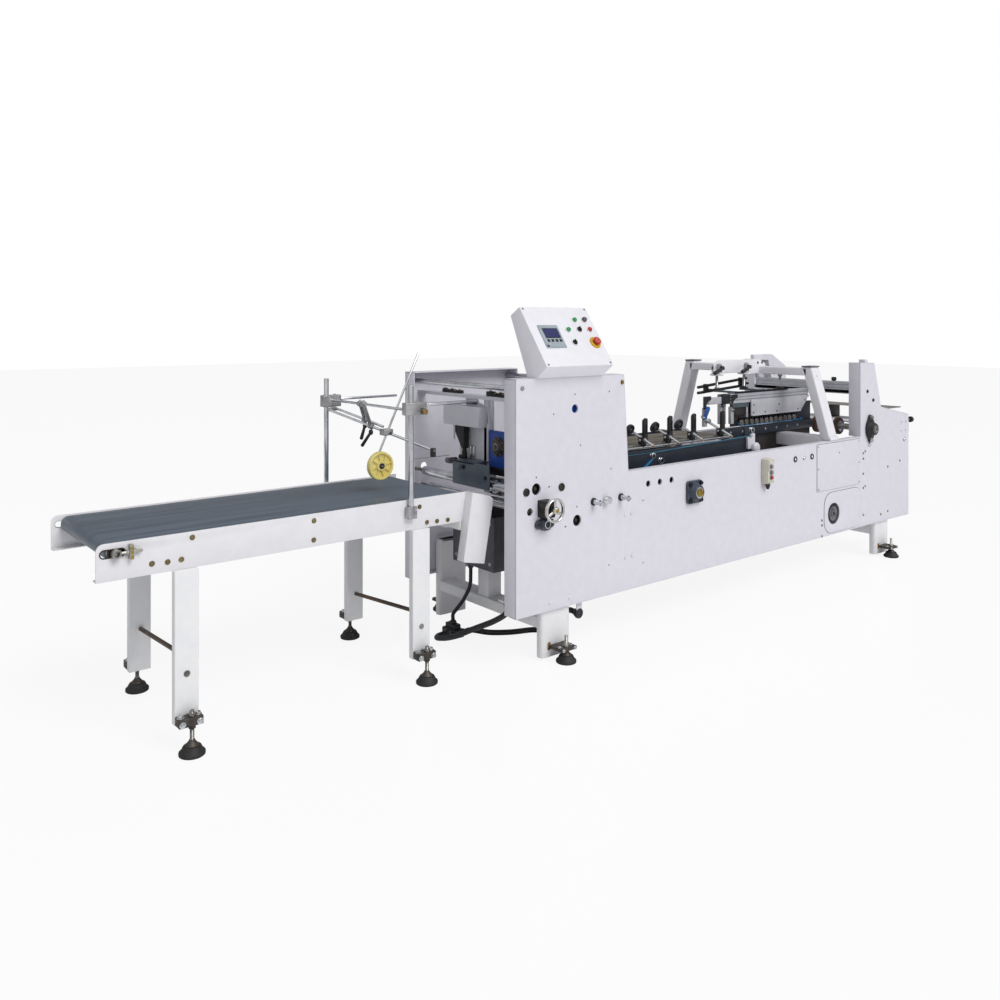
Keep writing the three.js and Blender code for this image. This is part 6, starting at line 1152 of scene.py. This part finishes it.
# Switch box
# A small beige moulded box with a raised front, three grey rings and a black cable gland below.
beige_abs = mottled("beige_switch_box", "d2cec0", "c0bcab", 4.0, 0, 0.5, 0.2)
switch_pieces = [
    block(1790, 1851, -36, -0.3, 620, 755, beige_abs, 3, 3),
    block(1792, 1849, -43, -35, 622, 753, beige_abs, 3, 3),
    turned((1820, -21.5, 624), downward, [(0, 0), (0, 13.6), (8, 14), (9, 12.4), (22, 12.4), (26, 10),
        (36, 7), (36, 0)], black_abs, 32),
    block(1796, 1800, -44, -41, 690, 745, grey_plastic, 1)]
for z in (715.85, 682.78, 655.1):
    switch_pieces.append(turned((1820, -42.4, z), to_front, [(0, 9.6), (0, 13), (3.6, 13), (5, 12),
        (5, 10.4), (4, 9.6)], grey_plastic, 40))
for x, z in ((1797, 628), (1844, 628), (1797, 748), (1844, 748)):
    switch_pieces.append(turned((x, -42.8, z), to_front, [(0, 0), (0, 3), (0.8, 2.8), (0.8, 0)], zinc, 16))
assembled("switch_box_case", switch_pieces, "machine", ["switch_box"])
for name, z, cap, slot in (("switch_button_top", 715.85, grey_plastic, "grey_plastic"),
        ("switch_button_middle", 682.78, grey_plastic, "grey_plastic"),
        ("switch_button_bottom", 655.1, red_abs, "red")):
    button = turned((1820, -47.3, z), to_front, [(0, 0), (0, 9), (6, 9), (7.4, 8), (8, 6), (7.6, 3),
        (7.4, 0)], cap, 32)
    assembled(name + "_cap", [button], name, [name])

# Press rollers
# Two ground and chromed steel rollers with stepped journals, which draw the folded sheet out between
# them. Each journal carries a zinc-plated collar beside the panel.
for name, x, z in (("press_roller_upper", 58, 772), ("press_roller_lower", 98, 688)):
    barrel = turned((x, 92, z), to_back, [(0, 0), (0, 20.6), (1.4, 22), (678.6, 22), (680, 20.6), (680, 0)],
        chrome, 56)
    journal = turned((x, 8.3, z), to_back, [(0, 0), (0, 8.2), (0.8, 9), (846.6, 9), (847.4, 8.2),
        (847.4, 0)], plain_steel, 36)
    collars = [turned((x, y, z), to_back, [(0, 0), (0, 14), (1, 15), (11, 15), (12, 14), (12, 0)], zinc,
        36) for y in (78, 774)]
    assembled(name + "_barrel", [barrel, journal, *collars], name, [name])

# Press unit
# Folded and painted steel plates hung from the tie shafts. They carry a black valve with its white
# piston, a row of air fittings, a dark grey cover, a blue bearing plate and a bright square flange.
unit_coat = mottled("press_unit_coat", "cfcfd5", "c9c9d0", 6.0, 0, 0.42, 0.2, 0.04)
dark_sheet = mottled("slate_grey_sheet", "56606b", "47525d", 6.0, 0, 0.36, 0.2)
blue_enamel = mottled("blue_enamel", "2b52ac", "203f90", 5.0, 0, 0.36, 0.15)
white_tube = mottled("white_acetal", "ededea", "dcdcd8", 4.0, 0, 0.35, 0.08)
curve_points = [(325 + 90 * (1 + math.cos(math.pi / 2 * (1 + i / 10))),
    1132 - 90 * (1 - math.sin(math.pi / 2 * (1 + i / 10)))) for i in range(11)]
unit = [
    plate("x", 112, 122, [(505, 800), (505, 1132), *curve_points, (325, 800)], unit_coat, 1.4, segments=3),
    plate("x", 102, 113, [(332, 802), (332, 1040), (325, 1042), (325, 802)], unit_coat, 0.8),
    block(60, 116, 340, 618, 1020, 1116, unit_coat, 2.6, 3),
    block(112, 152, 335, 365, 800, 1170, unit_coat, 2),
    block(112, 122, 415, 505, 1120, 1160, unit_coat, 1.2),
    block(70, 122, 8.3, 855.7, 1154, 1170, unit_coat, 1.6),
    block(22, 32, 219, 491, 752, 864, dark_sheet, 2.4, 3),
    block(22, 116, 325, 491, 854, 864, dark_sheet, 2),
    block(26, 112, 484, 490, 756, 860, dark_sheet, 1.4),
    block(112, 122, 285, 365, 716, 804, unit_coat, 1.2),
]
for z in (820, 885, 950, 1010):
    unit += bolt(333, 112, z, -1, 4.2, dark_oiled, 3.4, "x")
for y, z, size in ((404, 838, 9), (240, 806, 8)):
    unit += bolt(y, 22, z, -1, size, hole_black, 8, "x")
unit += [
    turned((22, 440, 834), to_left, [(0, 0), (0, 15), (3, 15), (4, 13), (4, 0)], dark_sheet, 32),
    # Bright bow handle on the plate over the cover
    block(104, 113, 428, 462, 872, 880, bright_zinc, 1.2)]
for y in (432, 458):
    unit.append(rod((106, y, 868), (106, y, 925), 4.6, bright_zinc, 0.8, 16))
unit += [
    rod((106, 432, 925), (106, 458, 925), 4.6, bright_zinc, 0.8, 16),
    # Valve wedge, piston and knob
    plate("x", 66, 98, [(461, 1024), (538, 1024), (534, 992), (480, 914), (461, 914)], hole_black, 2.4,
        segments=3),
    plate("x", 60, 67, [(528, 1022), (538, 1022), (538, 962), (528, 950)], unit_coat, 0.8),
    turned((82, 500, 880), upward, [(0, 0), (0, 9), (3, 9.4), (60, 9.4), (66, 7.5), (76, 7), (76, 0)],
        white_tube, 28),
    turned((82, 500, 863), upward, [(0, 0), (0, 13), (2, 15), (12, 15), (14, 12), (18, 10), (18, 0)],
        black_abs, 28),
    turned((82, 474, 861), upward, [(0, 0), (0, 11), (4, 12), (40, 12), (44, 9), (58, 9), (58, 0)],
        hole_black, 24),
    # Black fitting that enters the cover, and its grey plug
    rod((40, 530, 852), (40, 486, 858), 15, black_abs, 3, 28),
    turned((40, 560, 850), to_front, [(0, 0), (0, 12), (3, 14), (26, 14), (30, 12), (30, 0)], knob_grey,
        28)]
# Air fittings and their black blocks on the cross rail
for y, high, wide in ((600, 16, 22), (566, 10, 12), (540, 14, 20), (300, 22, 26), (262, 14, 20),
        (228, 18, 16), (196, 12, 18)):
    unit += [
        block(84, 112, y - wide, y + wide / 2, 1169, 1171 + high, hole_black, 2, 3),
        rod((98, y - 4, 1170), (98, y - 4, 1176 + high), 6, aged_brass, 0.8, 16),
        rod((98, y, 1174 + high / 2), (98, y + wide, 1174 + high / 2), 5, bright_zinc, 0.8, 16)]
unit += [
    turned((96, 660, 1178), to_front, [(0, 0), (0, 12), (3, 14), (18, 14), (20, 9), (50, 9), (50, 0)],
        hole_black, 28),
    # Blue plate with a dark ribbed bearing, black block under it and the arm to the panel
    block(112, 127, 190, 329, 840, 1010, blue_enamel, 2, 3),
    block(112, 127, 8.3, 194, 979, 1010, blue_enamel, 2),
    turned((114, 257, 939), to_left, [(0, 0), (0, 46), (2, 47), (6, 47), (7, 44), (7, 36), (13, 34),
        (17, 31), (17, 22), (15, 20), (15, 12), (20, 11), (20, 0)], foot_iron, 48)]
for i in range(8):
    turn = 2 * math.pi * i / 8 + 0.2
    unit.append(rod((108, 257 + 40 * math.cos(turn), 939 + 40 * math.sin(turn)),
        (103, 257 + 40 * math.cos(turn), 939 + 40 * math.sin(turn)), 3.6, grey_iron, 0.6, 12))
unit += [
    turned((98, 257, 939), to_left, [(0, 12), (0, 19), (3, 19), (4, 17), (4, 12)], grey_iron, 36),
    block(110, 130, 200, 326, 806, 842, hole_black, 2.4, 3)]
# Bright square flange with a shaft's nose
flange_sheet = plate("x", 102, 132, corner_points(221, 309, 716, 795, 12, 5), grey_iron, 2, segments=3)
unit += [
    flange_sheet,
    turned((103, 265, 755.5), to_left, [(0, 0), (0, 34), (5, 33), (8, 30), (8, 22), (4, 20), (4, 16),
        (34, 16), (36, 14), (36, 0)], bright_zinc, 44)]
for y, z in ((233, 728), (297, 728), (233, 783), (297, 783)):
    unit += bolt(y, 102, z, -1, 6, dark_oiled, 6, "x")
assembled("press_unit_plates", unit, "machine", ["press_unit"])

# Carrier beams
# Two long beams of steel plate in blue-black enamel, tied by cross bars, with idler pulleys and a
# teal flat belt along the edge. A lower carrier of the same plate runs on to the feeder.
navy_enamel = mottled("blue_black_enamel", "232936", "1a1f2a", 7.0, 0, 0.4, 0.2)
belt_teal = mottled("teal_flat_belt", "3c7286", "2c5b70", 5.0, 0, 0.5, 0.15)
strap_blue = mottled("blue_flat_belt", "3184b4", "2472a2", 5.0, 0, 0.45, 0.15)
# Oiled dark steel of the guides and plates under the upper carrier. The same near black on the lower
# carrier's plate is painted shade, which darkens the inside of the machine behind it
dark_guides_and_painted_shade = mottled("dark_guide_steel_and_painted_shade", "3a3435", "231f21", 7.0, 0.3, 0.5, 0.3)
beams = [
    block(640, 1950, 165, 177, 700, 852, navy_enamel, 1.6, 3),
    block(640, 1950, 687, 699, 700, 852, navy_enamel, 1.6, 3),
    block(644, 1946, 163.6, 166, 838, 851, navy_enamel, 0.6),
    block(1870, 1950, 165, 177, 848, 908, navy_enamel, 2),
]
for x in (680, 1830):
    beams.append(block(x, x + 40, 8.3, 855.7, 664, 704, navy_enamel, 2))
for share in (0.06, 0.19, 0.31, 0.47, 0.6, 0.74, 0.86, 0.95):
    x = 640 + 1310 * share
    beams.append(turned((x, 165.5, 730 + 14 * (share > 0.4)), (0, -1, 0),
        [(0, 0), (0, 6), (2.4, 6), (3.4, 4.8), (3.4, 2.4), (2, 2), (2, 0)], zinc, 18))
# Teal belt along the edge with its pulleys, and the blue strap that slants down from the first one
beams += [
    plate("y", 158.5, 165.4, [(1064, 834), (1905, 856), (1926, 870), (1922, 875), (1900, 862), (1064, 840)],
        belt_teal, 0.4),
    plate("y", 158.5, 165.4, [(645, 836.5), (1064, 836.5), (1064, 839.5), (645, 839.5)], belt_teal, 0.4)]
for x, z in ((1069.9, 821), (1136, 790), (1930, 892)):
    beams += [
        turned((x, 169, z), to_front, [(0, 0), (0, 14.8), (2, 16), (4, 16), (5, 14.6), (13, 14.6), (14, 16),
            (15.6, 16), (16.4, 15), (16.4, 10.6), (14.6, 10), (14.6, 0)], chrome, 44),
        turned((x, 155.4, z), to_front, [(0, 0), (0, 10), (1.6, 9.6), (1.6, 5.6), (3.6, 5), (3.6, 0)],
            hole_black, 32)]
beams.append(plate("y", 150, 168, [(952.9, 735), (1061.9, 802), (1060.3, 804.6), (951.3, 737.6)],
    strap_blue, 0.3))
# Lower carrier to the feeder with its side plate, and under it a near-black plate with its lip that is
# painted shade: it stands for the shadowed inside of the machine behind the carrier
beams += [
    block(1910, 1950, 169, 354, 826, 846, navy_enamel, 2),
    block(1910, 2880, 350, 374, 826, 880, navy_enamel, 2),
    block(2700, 2880, 370, 384, 826, 1000, navy_enamel, 2),
    # Painted shade: this near-black plate and its lip darken the machine's inside behind the lower carrier
    block(1952, 2880, 374, 392, 640, 838, dark_guides_and_painted_shade, 2),
    block(1956, 2876, 300, 374, 700, 712, dark_guides_and_painted_shade, 2),
]
for i in range(7):
    x = 1990 + i * 118
    beams.append(turned((x, 351, 853), to_front, [(0, 0), (0, 7), (2, 7), (3, 5.6), (3, 0)], zinc, 18))
# White bracket plate and rounded white casting at the beam's right end
beams += [
    plate("y", 150, 165, [(1880, 786), (1880, 850), (1920, 872), (1948, 872), (1948, 800), (1930, 786)],
        machine_coat, 2, segments=3),
    turned((1936, 152, 792), to_front, [(0, 0), (0, 26), (8, 30), (20, 30), (28, 24), (32, 12), (32, 0)],
        machine_coat, 40),
    rod((1900, 152, 862), (1900, 140, 862), 9, bright_zinc, 1.2, 6)]
assembled("carrier_beam_plates", beams, "machine", ["carrier_beams"])

# Guide bars with the hold-down arms
# Drawn and chromed bars and brown steel slide plates on cross plates. Each arm is a chromed rod in a
# black clamp with a slotted black post beside it, and a moulded amber tip closes its near end.
slide_brown = mottled("browned_slide_plate", "857d72", "5c544a", 7.0, 0.35, 0.45, 0.25)
amber = mottled("amber_moulded_tip", "bd9560", "a07c4c", 3.0, 0, 0.35, 0.05)
guides = [
    turned((640, 240, 866), to_right, [(0, 0), (0, 8), (1, 9), (1159, 9), (1160, 8), (1160, 0)],
        plain_steel, 28),
    turned((640, 206, 861), to_right, [(0, 0), (0, 6.2), (0.8, 7), (1159.2, 7), (1160, 6.2), (1160, 0)],
        chrome, 28),
    block(640, 1800, 310, 420, 857, 865, slide_brown, 1.2),
    block(640, 1800, 444, 554, 857, 865, slide_brown, 1.2)]
for x in (709.6, 1220, 1730.4):
    guides.append(block(x, x + 40, 165, 699, 852.3, 860.3, slide_brown, 1))
arm_way = Vector((0, 165, 68)).normalized()
for index, x in enumerate((1069.9, 1271, 1472, 1731)):
    near_end, far_end = Vector((x, 150, 870)), Vector((x, 315, 938))
    guides += [
        rod(tuple(near_end + arm_way * 5), tuple(far_end), 7, chrome, 0.8, 24),
        turned(tuple(near_end + arm_way * 6), tuple(-arm_way),
            [(0, 0), (0, 6.2), (5, 6.2), (7, 4.6), (7.6, 0)], amber, 24),
        block(x - 16, x + 16, 218, 250, 866, 911, hole_black, 3, 3),
        block(x - 12, x + 12, 226, 250, 846, 868, dark_oiled, 2),
        turned((x - 15, 234, 896), to_left, [(0, 0), (0, 7), (6, 7), (8, 5), (8, 0)], zinc, 20),
        turned(tuple(near_end + arm_way * 74), tuple(-arm_way),
            [(0, 0), (0, 10), (1.4, 11), (10, 11), (11.4, 10), (11.4, 0)], cast_alloy, 28)]
    # Post with its long slot and a rounded head
    post = plate("y", 222, 240, [(x + 4, 889), (x + 32, 889), (x + 32, 1003), (x + 28, 1008),
        (x + 22, 1009.5), (x + 8, 1001), (x + 4, 995)], hole_black, 2.2, segments=3)
    if index < 3:
        post = pierced(post, [block(x + 14, x + 22, 215, 250, 925, 975, hole_black, 0)])
    guides.append(post)
# Finger of the fourth arm with its silver hinge and the blue paddle over it
guides += [
    plate("x", 1723, 1739, [(311, 932), (315, 944), (360, 974), (366, 968), (362, 958), (322, 930)],
        cast_alloy, 2, segments=3),
    rod((1714, 322, 944), (1750, 322, 944), 13, cast_alloy, 2, 28),
    plate("y", 330, 342, [(1712, 950), (1728, 944), (1768, 1008), (1766, 1022), (1750, 1027), (1740, 1018)],
        blue_plastic, 3, segments=3),
    rod((1716, 338, 962), (1742, 338, 962), 6, bright_zinc, 0.8, 18)]
assembled("guide_bar_rods", guides, "machine", ["guide_bars"])

# Hold-down wheels
# Three free wheels of black plastic on the arms' far ends, with a raised tread, a dished web and a hub
# under a grey washer.
wheel_way = Vector((0, 0.9245, 0.381))
for number, x in enumerate((1069.9, 1271, 1472), 1):
    base = Vector((x, 315.3, 938.1))
    disc = turned(tuple(base), tuple(wheel_way), [(0, 0), (0, 9), (1, 12), (3.4, 13), (3.4, 23), (0.6, 25),
        (0.4, 29.6), (2, 31), (13.4, 31), (15.2, 29.6), (15, 25), (12, 23), (12, 13), (15.4, 12),
        (15.4, 0)], black_abs, 52)
    washer = turned(tuple(base + wheel_way * 0.4), tuple(-wheel_way),
        [(0, 7.4), (0, 10.6), (1, 10.4), (1.4, 9), (1.4, 7.4)], knob_grey, 32)
    assembled("hold_down_wheel_%d_disc" % number, [disc, washer], "hold_down_wheel_%d" % number,
        ["hold_down_wheel_%d" % number])

# Gantry
# White welded box tube: a slanted leg on each panel, a bar from each leg to a bridge plate between
# them, thin dark caps, a gusset at the front bar's end and the cast clamps of the height screws.
gantry_coat = mottled("gantry_powder_coat", "edecf0", "e8e7ec", 6.0, 0, 0.42, 0.18, 0.03)
cap_dark = mottled("dark_cap_plate", "77757c", "615f66", 6.0, 0.2, 0.45, 0.2)
gantry = [
    plate("x", 2497, 2585, [(0, 797.3), (62, 797.3), (191, 1238), (129, 1238)], gantry_coat, 5, segments=4),
    plate("x", 2043, 2121, [(802, 797.3), (864, 797.3), (735, 1273), (673, 1273)], gantry_coat, 5,
        segments=4),
    block(2497, 2585, 160, 534, 1186, 1232, gantry_coat, 5, 4),
    block(2043, 2121, 514, 704, 1219, 1263, gantry_coat, 5, 4),
    plate("y", 514, 534, [(2043, 1198), (2585, 1198), (2585, 1248), (2525, 1278), (2103, 1278),
        (2043, 1248)], gantry_coat, 3, segments=3),
    block(2494, 2588, 126, 194, 1238, 1246, cap_dark, 1.4),
    block(2040, 2124, 670, 738, 1273, 1281, cap_dark, 1.4),
    plate("y", 500, 513.5, [(2384, 1188), (2497, 1186), (2520, 1190), (2520, 1240), (2486, 1246)],
        gantry_coat, 2.4, segments=3),
    block(2420, 2560, 532, 566, 1240, 1278, gantry_coat, 4, 3)]
tube = block(2497, 2585, 58, 503, 742, 820, gantry_coat, 5, 4)
gantry += [
    pierced(tube, [block(2501, 2581, 124, 520, 746, 816, gantry_coat, 0)]),
    block(2494, 2588, -2.5, 1, 800, 822, gantry_coat, 1)]
for x in (2500, 2546):
    gantry.append(turned((x, 520, 1256), to_front, [(4, 0), (4, 8), (8, 8), (9.4, 6), (9.4, 0)], dark_oiled,
        20))
for x in (2085, 2364):
    gantry += [
        block(x - 14, x + 14, 494, 518, 1205, 1255, cast_alloy, 3, 3),
        rod((x, 506, 1252), (x, 506, 1262), 7, bright_zinc, 1, 6),
        turned((x + 13, 504, 1218), to_right, [(0, 0), (0, 7), (6, 7), (8, 5), (8, 0)], zinc, 20),
        turned((x, 494.3, 1234), to_front, [(0, 0), (0, 6), (0.2, 6), (0.2, 0)], plain_steel, 16)]
for y in (100, 180, 300, 400):
    gantry.append(turned((2516, y, 1186), downward, [(-1, 0), (-1, 4), (1.6, 3.6), (1.6, 0)], dark_oiled,
        14))
assembled("gantry_weldment", gantry, "machine", ["gantry_frame"])

# Gantry levers
# Clamp levers of black plastic on the height screws' clamps: a hub with a steel screw and a long
# handle that hangs down to the left.
for name, x in (("gantry_lever_a", 2085), ("gantry_lever_b", 2364)):
    hub = turned((x, 493.7, 1234), to_front, [(0, 0), (0, 10), (2, 12), (20, 12), (24, 10), (26, 7),
        (26, 0)], black_abs, 36)
    nose = turned((x, 470, 1234), to_front, [(0, 0), (0, 4.6), (4.6, 4.6), (5.4, 3.8), (5.4, 0)],
        bright_zinc, 20)
    start, stop = Vector((x - 2, 475, 1233.5)), Vector((x - 118, 455, 1204))
    way = (stop - start).normalized()
    grip = turned(tuple(start), tuple(way), [(0, 0), (0, 7), (24, 7.4), (36, 11), (100, 12.4), (112, 11.6),
        (117, 8.5), (119, 4), (119.4, 0)], black_abs, 32)
    assembled(name + "_handle", [hub, nose, grip], name, [name])

# Upper carrier
# An extruded aluminium beam with T-slots hangs on threaded screws. A white-grey plate on its face, a
# row of small ball bearings over a blue belt, dark cover brackets, two cross arms to the rear screws
# and rods belong to it.
extrusion = mottled("natural_aluminium_extrusion", "c6c7cc", "b2b3b9", 9.0, 0.35, 0.4, 0.1)
side_sheet = mottled("grey_lacquered_sheet", "c3c3c8", "b3b3b9", 7.0, 0.1, 0.4, 0.15)
upper = [block(1988, 2830, 350, 402, 1027, 1085, extrusion, 1.2)]
grooved = upper[0]
tools = [block(1980, 2840, 344, 358, z, z + 8, extrusion, 0) for z in (1043, 1061)]
upper[0] = pierced(grooved, tools)
upper += [
    block(1988, 2830, 349, 353, 1077, 1083, extrusion, 0.8),
    block(2028, 2585, 350, 402, 1085, 1090, dark_sheet, 1)]
for x in (2085, 2364):
    upper.append(block(x - 24, x + 24, 350, 544, 1085, 1095, dark_sheet, 1.4))
for i in range(27):
    x = 2034 + i * 20.4
    upper.append(block(x, x + 11, 342, 352, 1086, 1098, hole_black, 1))
# Height screws with disc flanges, plain between their nuts
for x, y, high in ((2085, 524, 1197.7), (2364, 524, 1197.7), (2540, 376, 1185.7)):
    upper += [
        thread(x, y, 1085, high - 1, 9, bright_zinc, 3.2),
        turned((x, y, 1095), upward, [(0, 0), (0, 26), (2, 27), (7, 27), (9, 22), (9, 0)], dark_oiled, 40),
        rod((x, y, 1103), (x, y, 1113), 15, plain_steel, 1.2, 6)]
    if y > 500:
        upper.append(turned((x, y, 1185.7), upward, [(0, 0), (0, 39), (2, 41), (8, 41), (10, 39), (10, 20),
            (12, 18), (12, 0)], gantry_coat, 44))
    else:
        upper.append(rod((x, y, 1173), (x, y, 1185), 16, plain_steel, 1.2, 6))
# Two dark rods behind the beam, with their small clamps
upper += [
    rod((1983, 590, 1113), (2483, 590, 1152), 9, hole_black, 1, 24),
    rod((1983, 590, 1078), (2467, 590, 1107), 9, hole_black, 1, 24)]
for x, z in ((2060, 1119), (2420, 1147)):
    upper += [
        block(x - 12, x + 12, 575, 602, z - 40, z + 12, dark_oiled, 3, 3),
        block(x - 8, x + 8, 530, 580, z - 30, z - 16, dark_oiled, 2)]
# Face plate with its sloping end, folded lower lip, plugs and screws; its labels' places are bare
upper += [
    plate("y", 342, 350, [(2186, 1027), (2186, 942), (2720, 942), (2800, 1018), (2800, 1042), (2186, 1042)],
        side_sheet, 1.4, segments=3),
    block(2188, 2716, 336, 344, 942, 949, side_sheet, 1)]
for x, z in ((2210, 1010), (2480, 1000), (2205, 962), (2330, 960), (2455, 958), (2690, 958), (2770, 1012)):
    upper.append(turned((x, 342.6, z), to_front, [(0, 0), (0, 5.5), (1.6, 5.4), (2.8, 4), (2.8, 2),
        (1.2, 1.8), (1.2, 0)], dark_oiled, 18))
# Bearing row: each a shielded ball bearing on its pin, with the dark guides and the blue belt
for i in range(12):
    x = 2110 + 51 * i
    upper += [
        turned((x, 368, 905), to_front, [(0, 0), (0, 17), (1, 18), (12.6, 18), (13.7, 17), (13.7, 14.4),
            (12.6, 14), (12.6, 8.6), (13.7, 8.2), (13.7, 5), (11, 4.6), (11, 0)], plain_steel, 40),
        turned((x, 356.6, 905), to_front, [(0, 8.6), (0, 14), (0.6, 14), (0.6, 8.6)], dark_oiled, 32),
        turned((x, 357, 905), to_front, [(0, 0), (0, 4), (2, 4), (2.6, 3), (2.6, 0)], aged_brass, 16)]
upper += [
    block(2110, 2671, 364, 378, 901, 909, dark_guides_and_painted_shade, 1),
    block(2100, 2700, 372, 379, 915, 941, dark_guides_and_painted_shade, 1.4),
    block(2030, 2760, 379, 388, 884, 1030, dark_guides_and_painted_shade, 1)]
for x in (2166, 2615):
    upper.append(block(x, x + 18, 364, 378, 905, 1031, side_sheet, 1.2))
for i in range(23):
    x = 2104 + 25.5 * i
    upper.append(block(x, x + 9, 350, 368, 924, 936, black_oxide, 1))
upper += [
    plate("y", 352, 364, [(2074, 905), (2092, 885.5), (2751, 885.5), (2762, 893), (2759, 896),
        (2750, 888.5), (2094, 888.5), (2077, 907)], strap_blue, 0.3),
    # Dark bracket at the left with three curved hangers, their pale screws and grey plates
    block(1928, 1992, 350, 402, 1027, 1085, hole_black, 3, 3)]
for x in (1928, 1968):
    upper.append(block(x, x + 10, 376, 402, 905, 1085, side_sheet, 1.2))
upper += [
    block(1785, 1935, 354, 372, 1032, 1072, side_sheet, 2, 3),
    block(1740, 1776, 358, 370, 905, 1016, side_sheet, 1.2)]
for x0, y in ((1735, 372), (1905, 372), (1992, 372)):
    outline = [(x0, 1082), (x0 + 66, 1082), (x0 + 66, 1060), (x0 + 40, 1052), (x0 + 24, 1038),
        (x0 + 22, 1012), (x0, 1008)]
    upper.append(plate("y", y - 24, y - 14, outline, hole_black, 2.4, segments=3))
    for dx, z in ((7, 1020), (15, 1020)):
        upper.append(rod((x0 + dx, y - 25.4, z), (x0 + dx, y - 23, z), 2.6, bright_zinc, 0.5, 12))
upper += [
    block(1934, 1978, 352, 372, 1030, 1072, side_sheet, 2, 3),
    block(2020, 2180, 356, 366, 1000, 1030, dark_sheet, 1.6),
    block(2030, 2186, 368, 378, 950, 1006, dark_guides_and_painted_shade, 1.6),
    plate("y", 352, 372, [(1994, 905), (2022, 905), (2022, 1000), (1994, 1008)], side_sheet, 1.6),
    block(1996, 2020, 346, 354, 982, 1004, bright_zinc, 1.4)]
for z in (984, 1000):
    upper.append(rod((2008, 347, z), (2008, 341, z), 4.6, dark_oiled, 0.6, 12))
assembled("upper_carrier_beam", upper, "machine", ["upper_carrier"])

# Feeder crossbar
# A grooved aluminium profile and a zinc-plated bar across the uprights, and a black clamp knob.
bar_piece = pierced(block(2860, 2900, 84, 780, 1060, 1137, extrusion, 1.4),
    [block(2852, 2866, 70, 800, 1092, 1100, extrusion, 0), block(2852, 2866, 70, 800, 1114, 1120, extrusion,
    0), block(2876, 2884, 70, 800, 1130, 1142, extrusion, 0)])
crossbar = [
    bar_piece,
    block(2860, 2900, 8.3, 855.7, 1064, 1086, zinc, 1.4),
    turned((2880, 200, 1134), upward, [(0, 0), (0, 9), (6, 9), (8, 15), (10, 16), (24, 16), (27, 14.4),
        (29, 10), (29, 0)], black_abs, 36),
    turned((2880, 200, 1130), upward, [(0, 0), (0, 13), (4, 13), (4, 0)], zinc, 28)]
assembled("feeder_crossbar_profile", crossbar, "machine", ["feeder_crossbar"])

# End knob
# A black fluted knob on a steel spindle at the right end.
knob_pieces = [
    rod((3480.3, 19, 860), (3528, 19, 860), 8, plain_steel, 0.8, 28),
    turned((3524, 19, 860), to_right, [(0, 0), (0, 17), (2, 19), (20, 19), (24, 17), (26, 12), (26, 0)],
        black_abs, 40)]
for i in range(8):
    turn = 2 * math.pi * i / 8
    y, z = 19 + 17.2 * math.cos(turn), 860 + 17.2 * math.sin(turn)
    knob_pieces.append(rod((3527, y, z), (3546, y, z), 2.8, black_abs, 0.8, 12))
assembled("end_knob_fluted", knob_pieces, "end_knob", ["end_knob"])

# Connector cluster
# Black moulded connectors that lie on the floor, with ribbed gland nuts where the cable and the two
# hoses enter.
cluster = [
    block(38, 100, 500, 600, 0, 40, black_abs, 5, 4),
    block(50, 88, 512, 588, 36, 62, black_abs, 4, 3),
    block(34, 104, 524, 540, 6, 34, knob_grey, 2, 3),
    block(34, 104, 564, 576, 6, 34, knob_grey, 2, 3),
]
gland = [(0, 0), (0, 14), (2, 16), (4, 16), (5, 17), (9, 17), (10, 16), (14, 15), (16, 14), (16, 0)]
for place, way in (((42, 550, 20), (-1, 0, 0)), ((96, 516, 20), (1, 0, 0)), ((69, 550, 58), (0, 0, 1))):
    cluster.append(turned(place, way, gland, black_abs, 36))
    for i in range(8):
        turn = 2 * math.pi * i / 8
        a, b = 16 * math.cos(turn), 16 * math.sin(turn)
        low = Vector(place) + Vector(way) * 5
        side = Vector((0, a, b)) if way[0] else Vector((a, b, 0))
        cluster.append(rod(tuple(low + side), tuple(low + side + Vector(way) * 5), 1.4, black_abs, 0.3, 8))
connectors = assembled("connector_cluster", cluster, "machine", ["hose_connectors"])
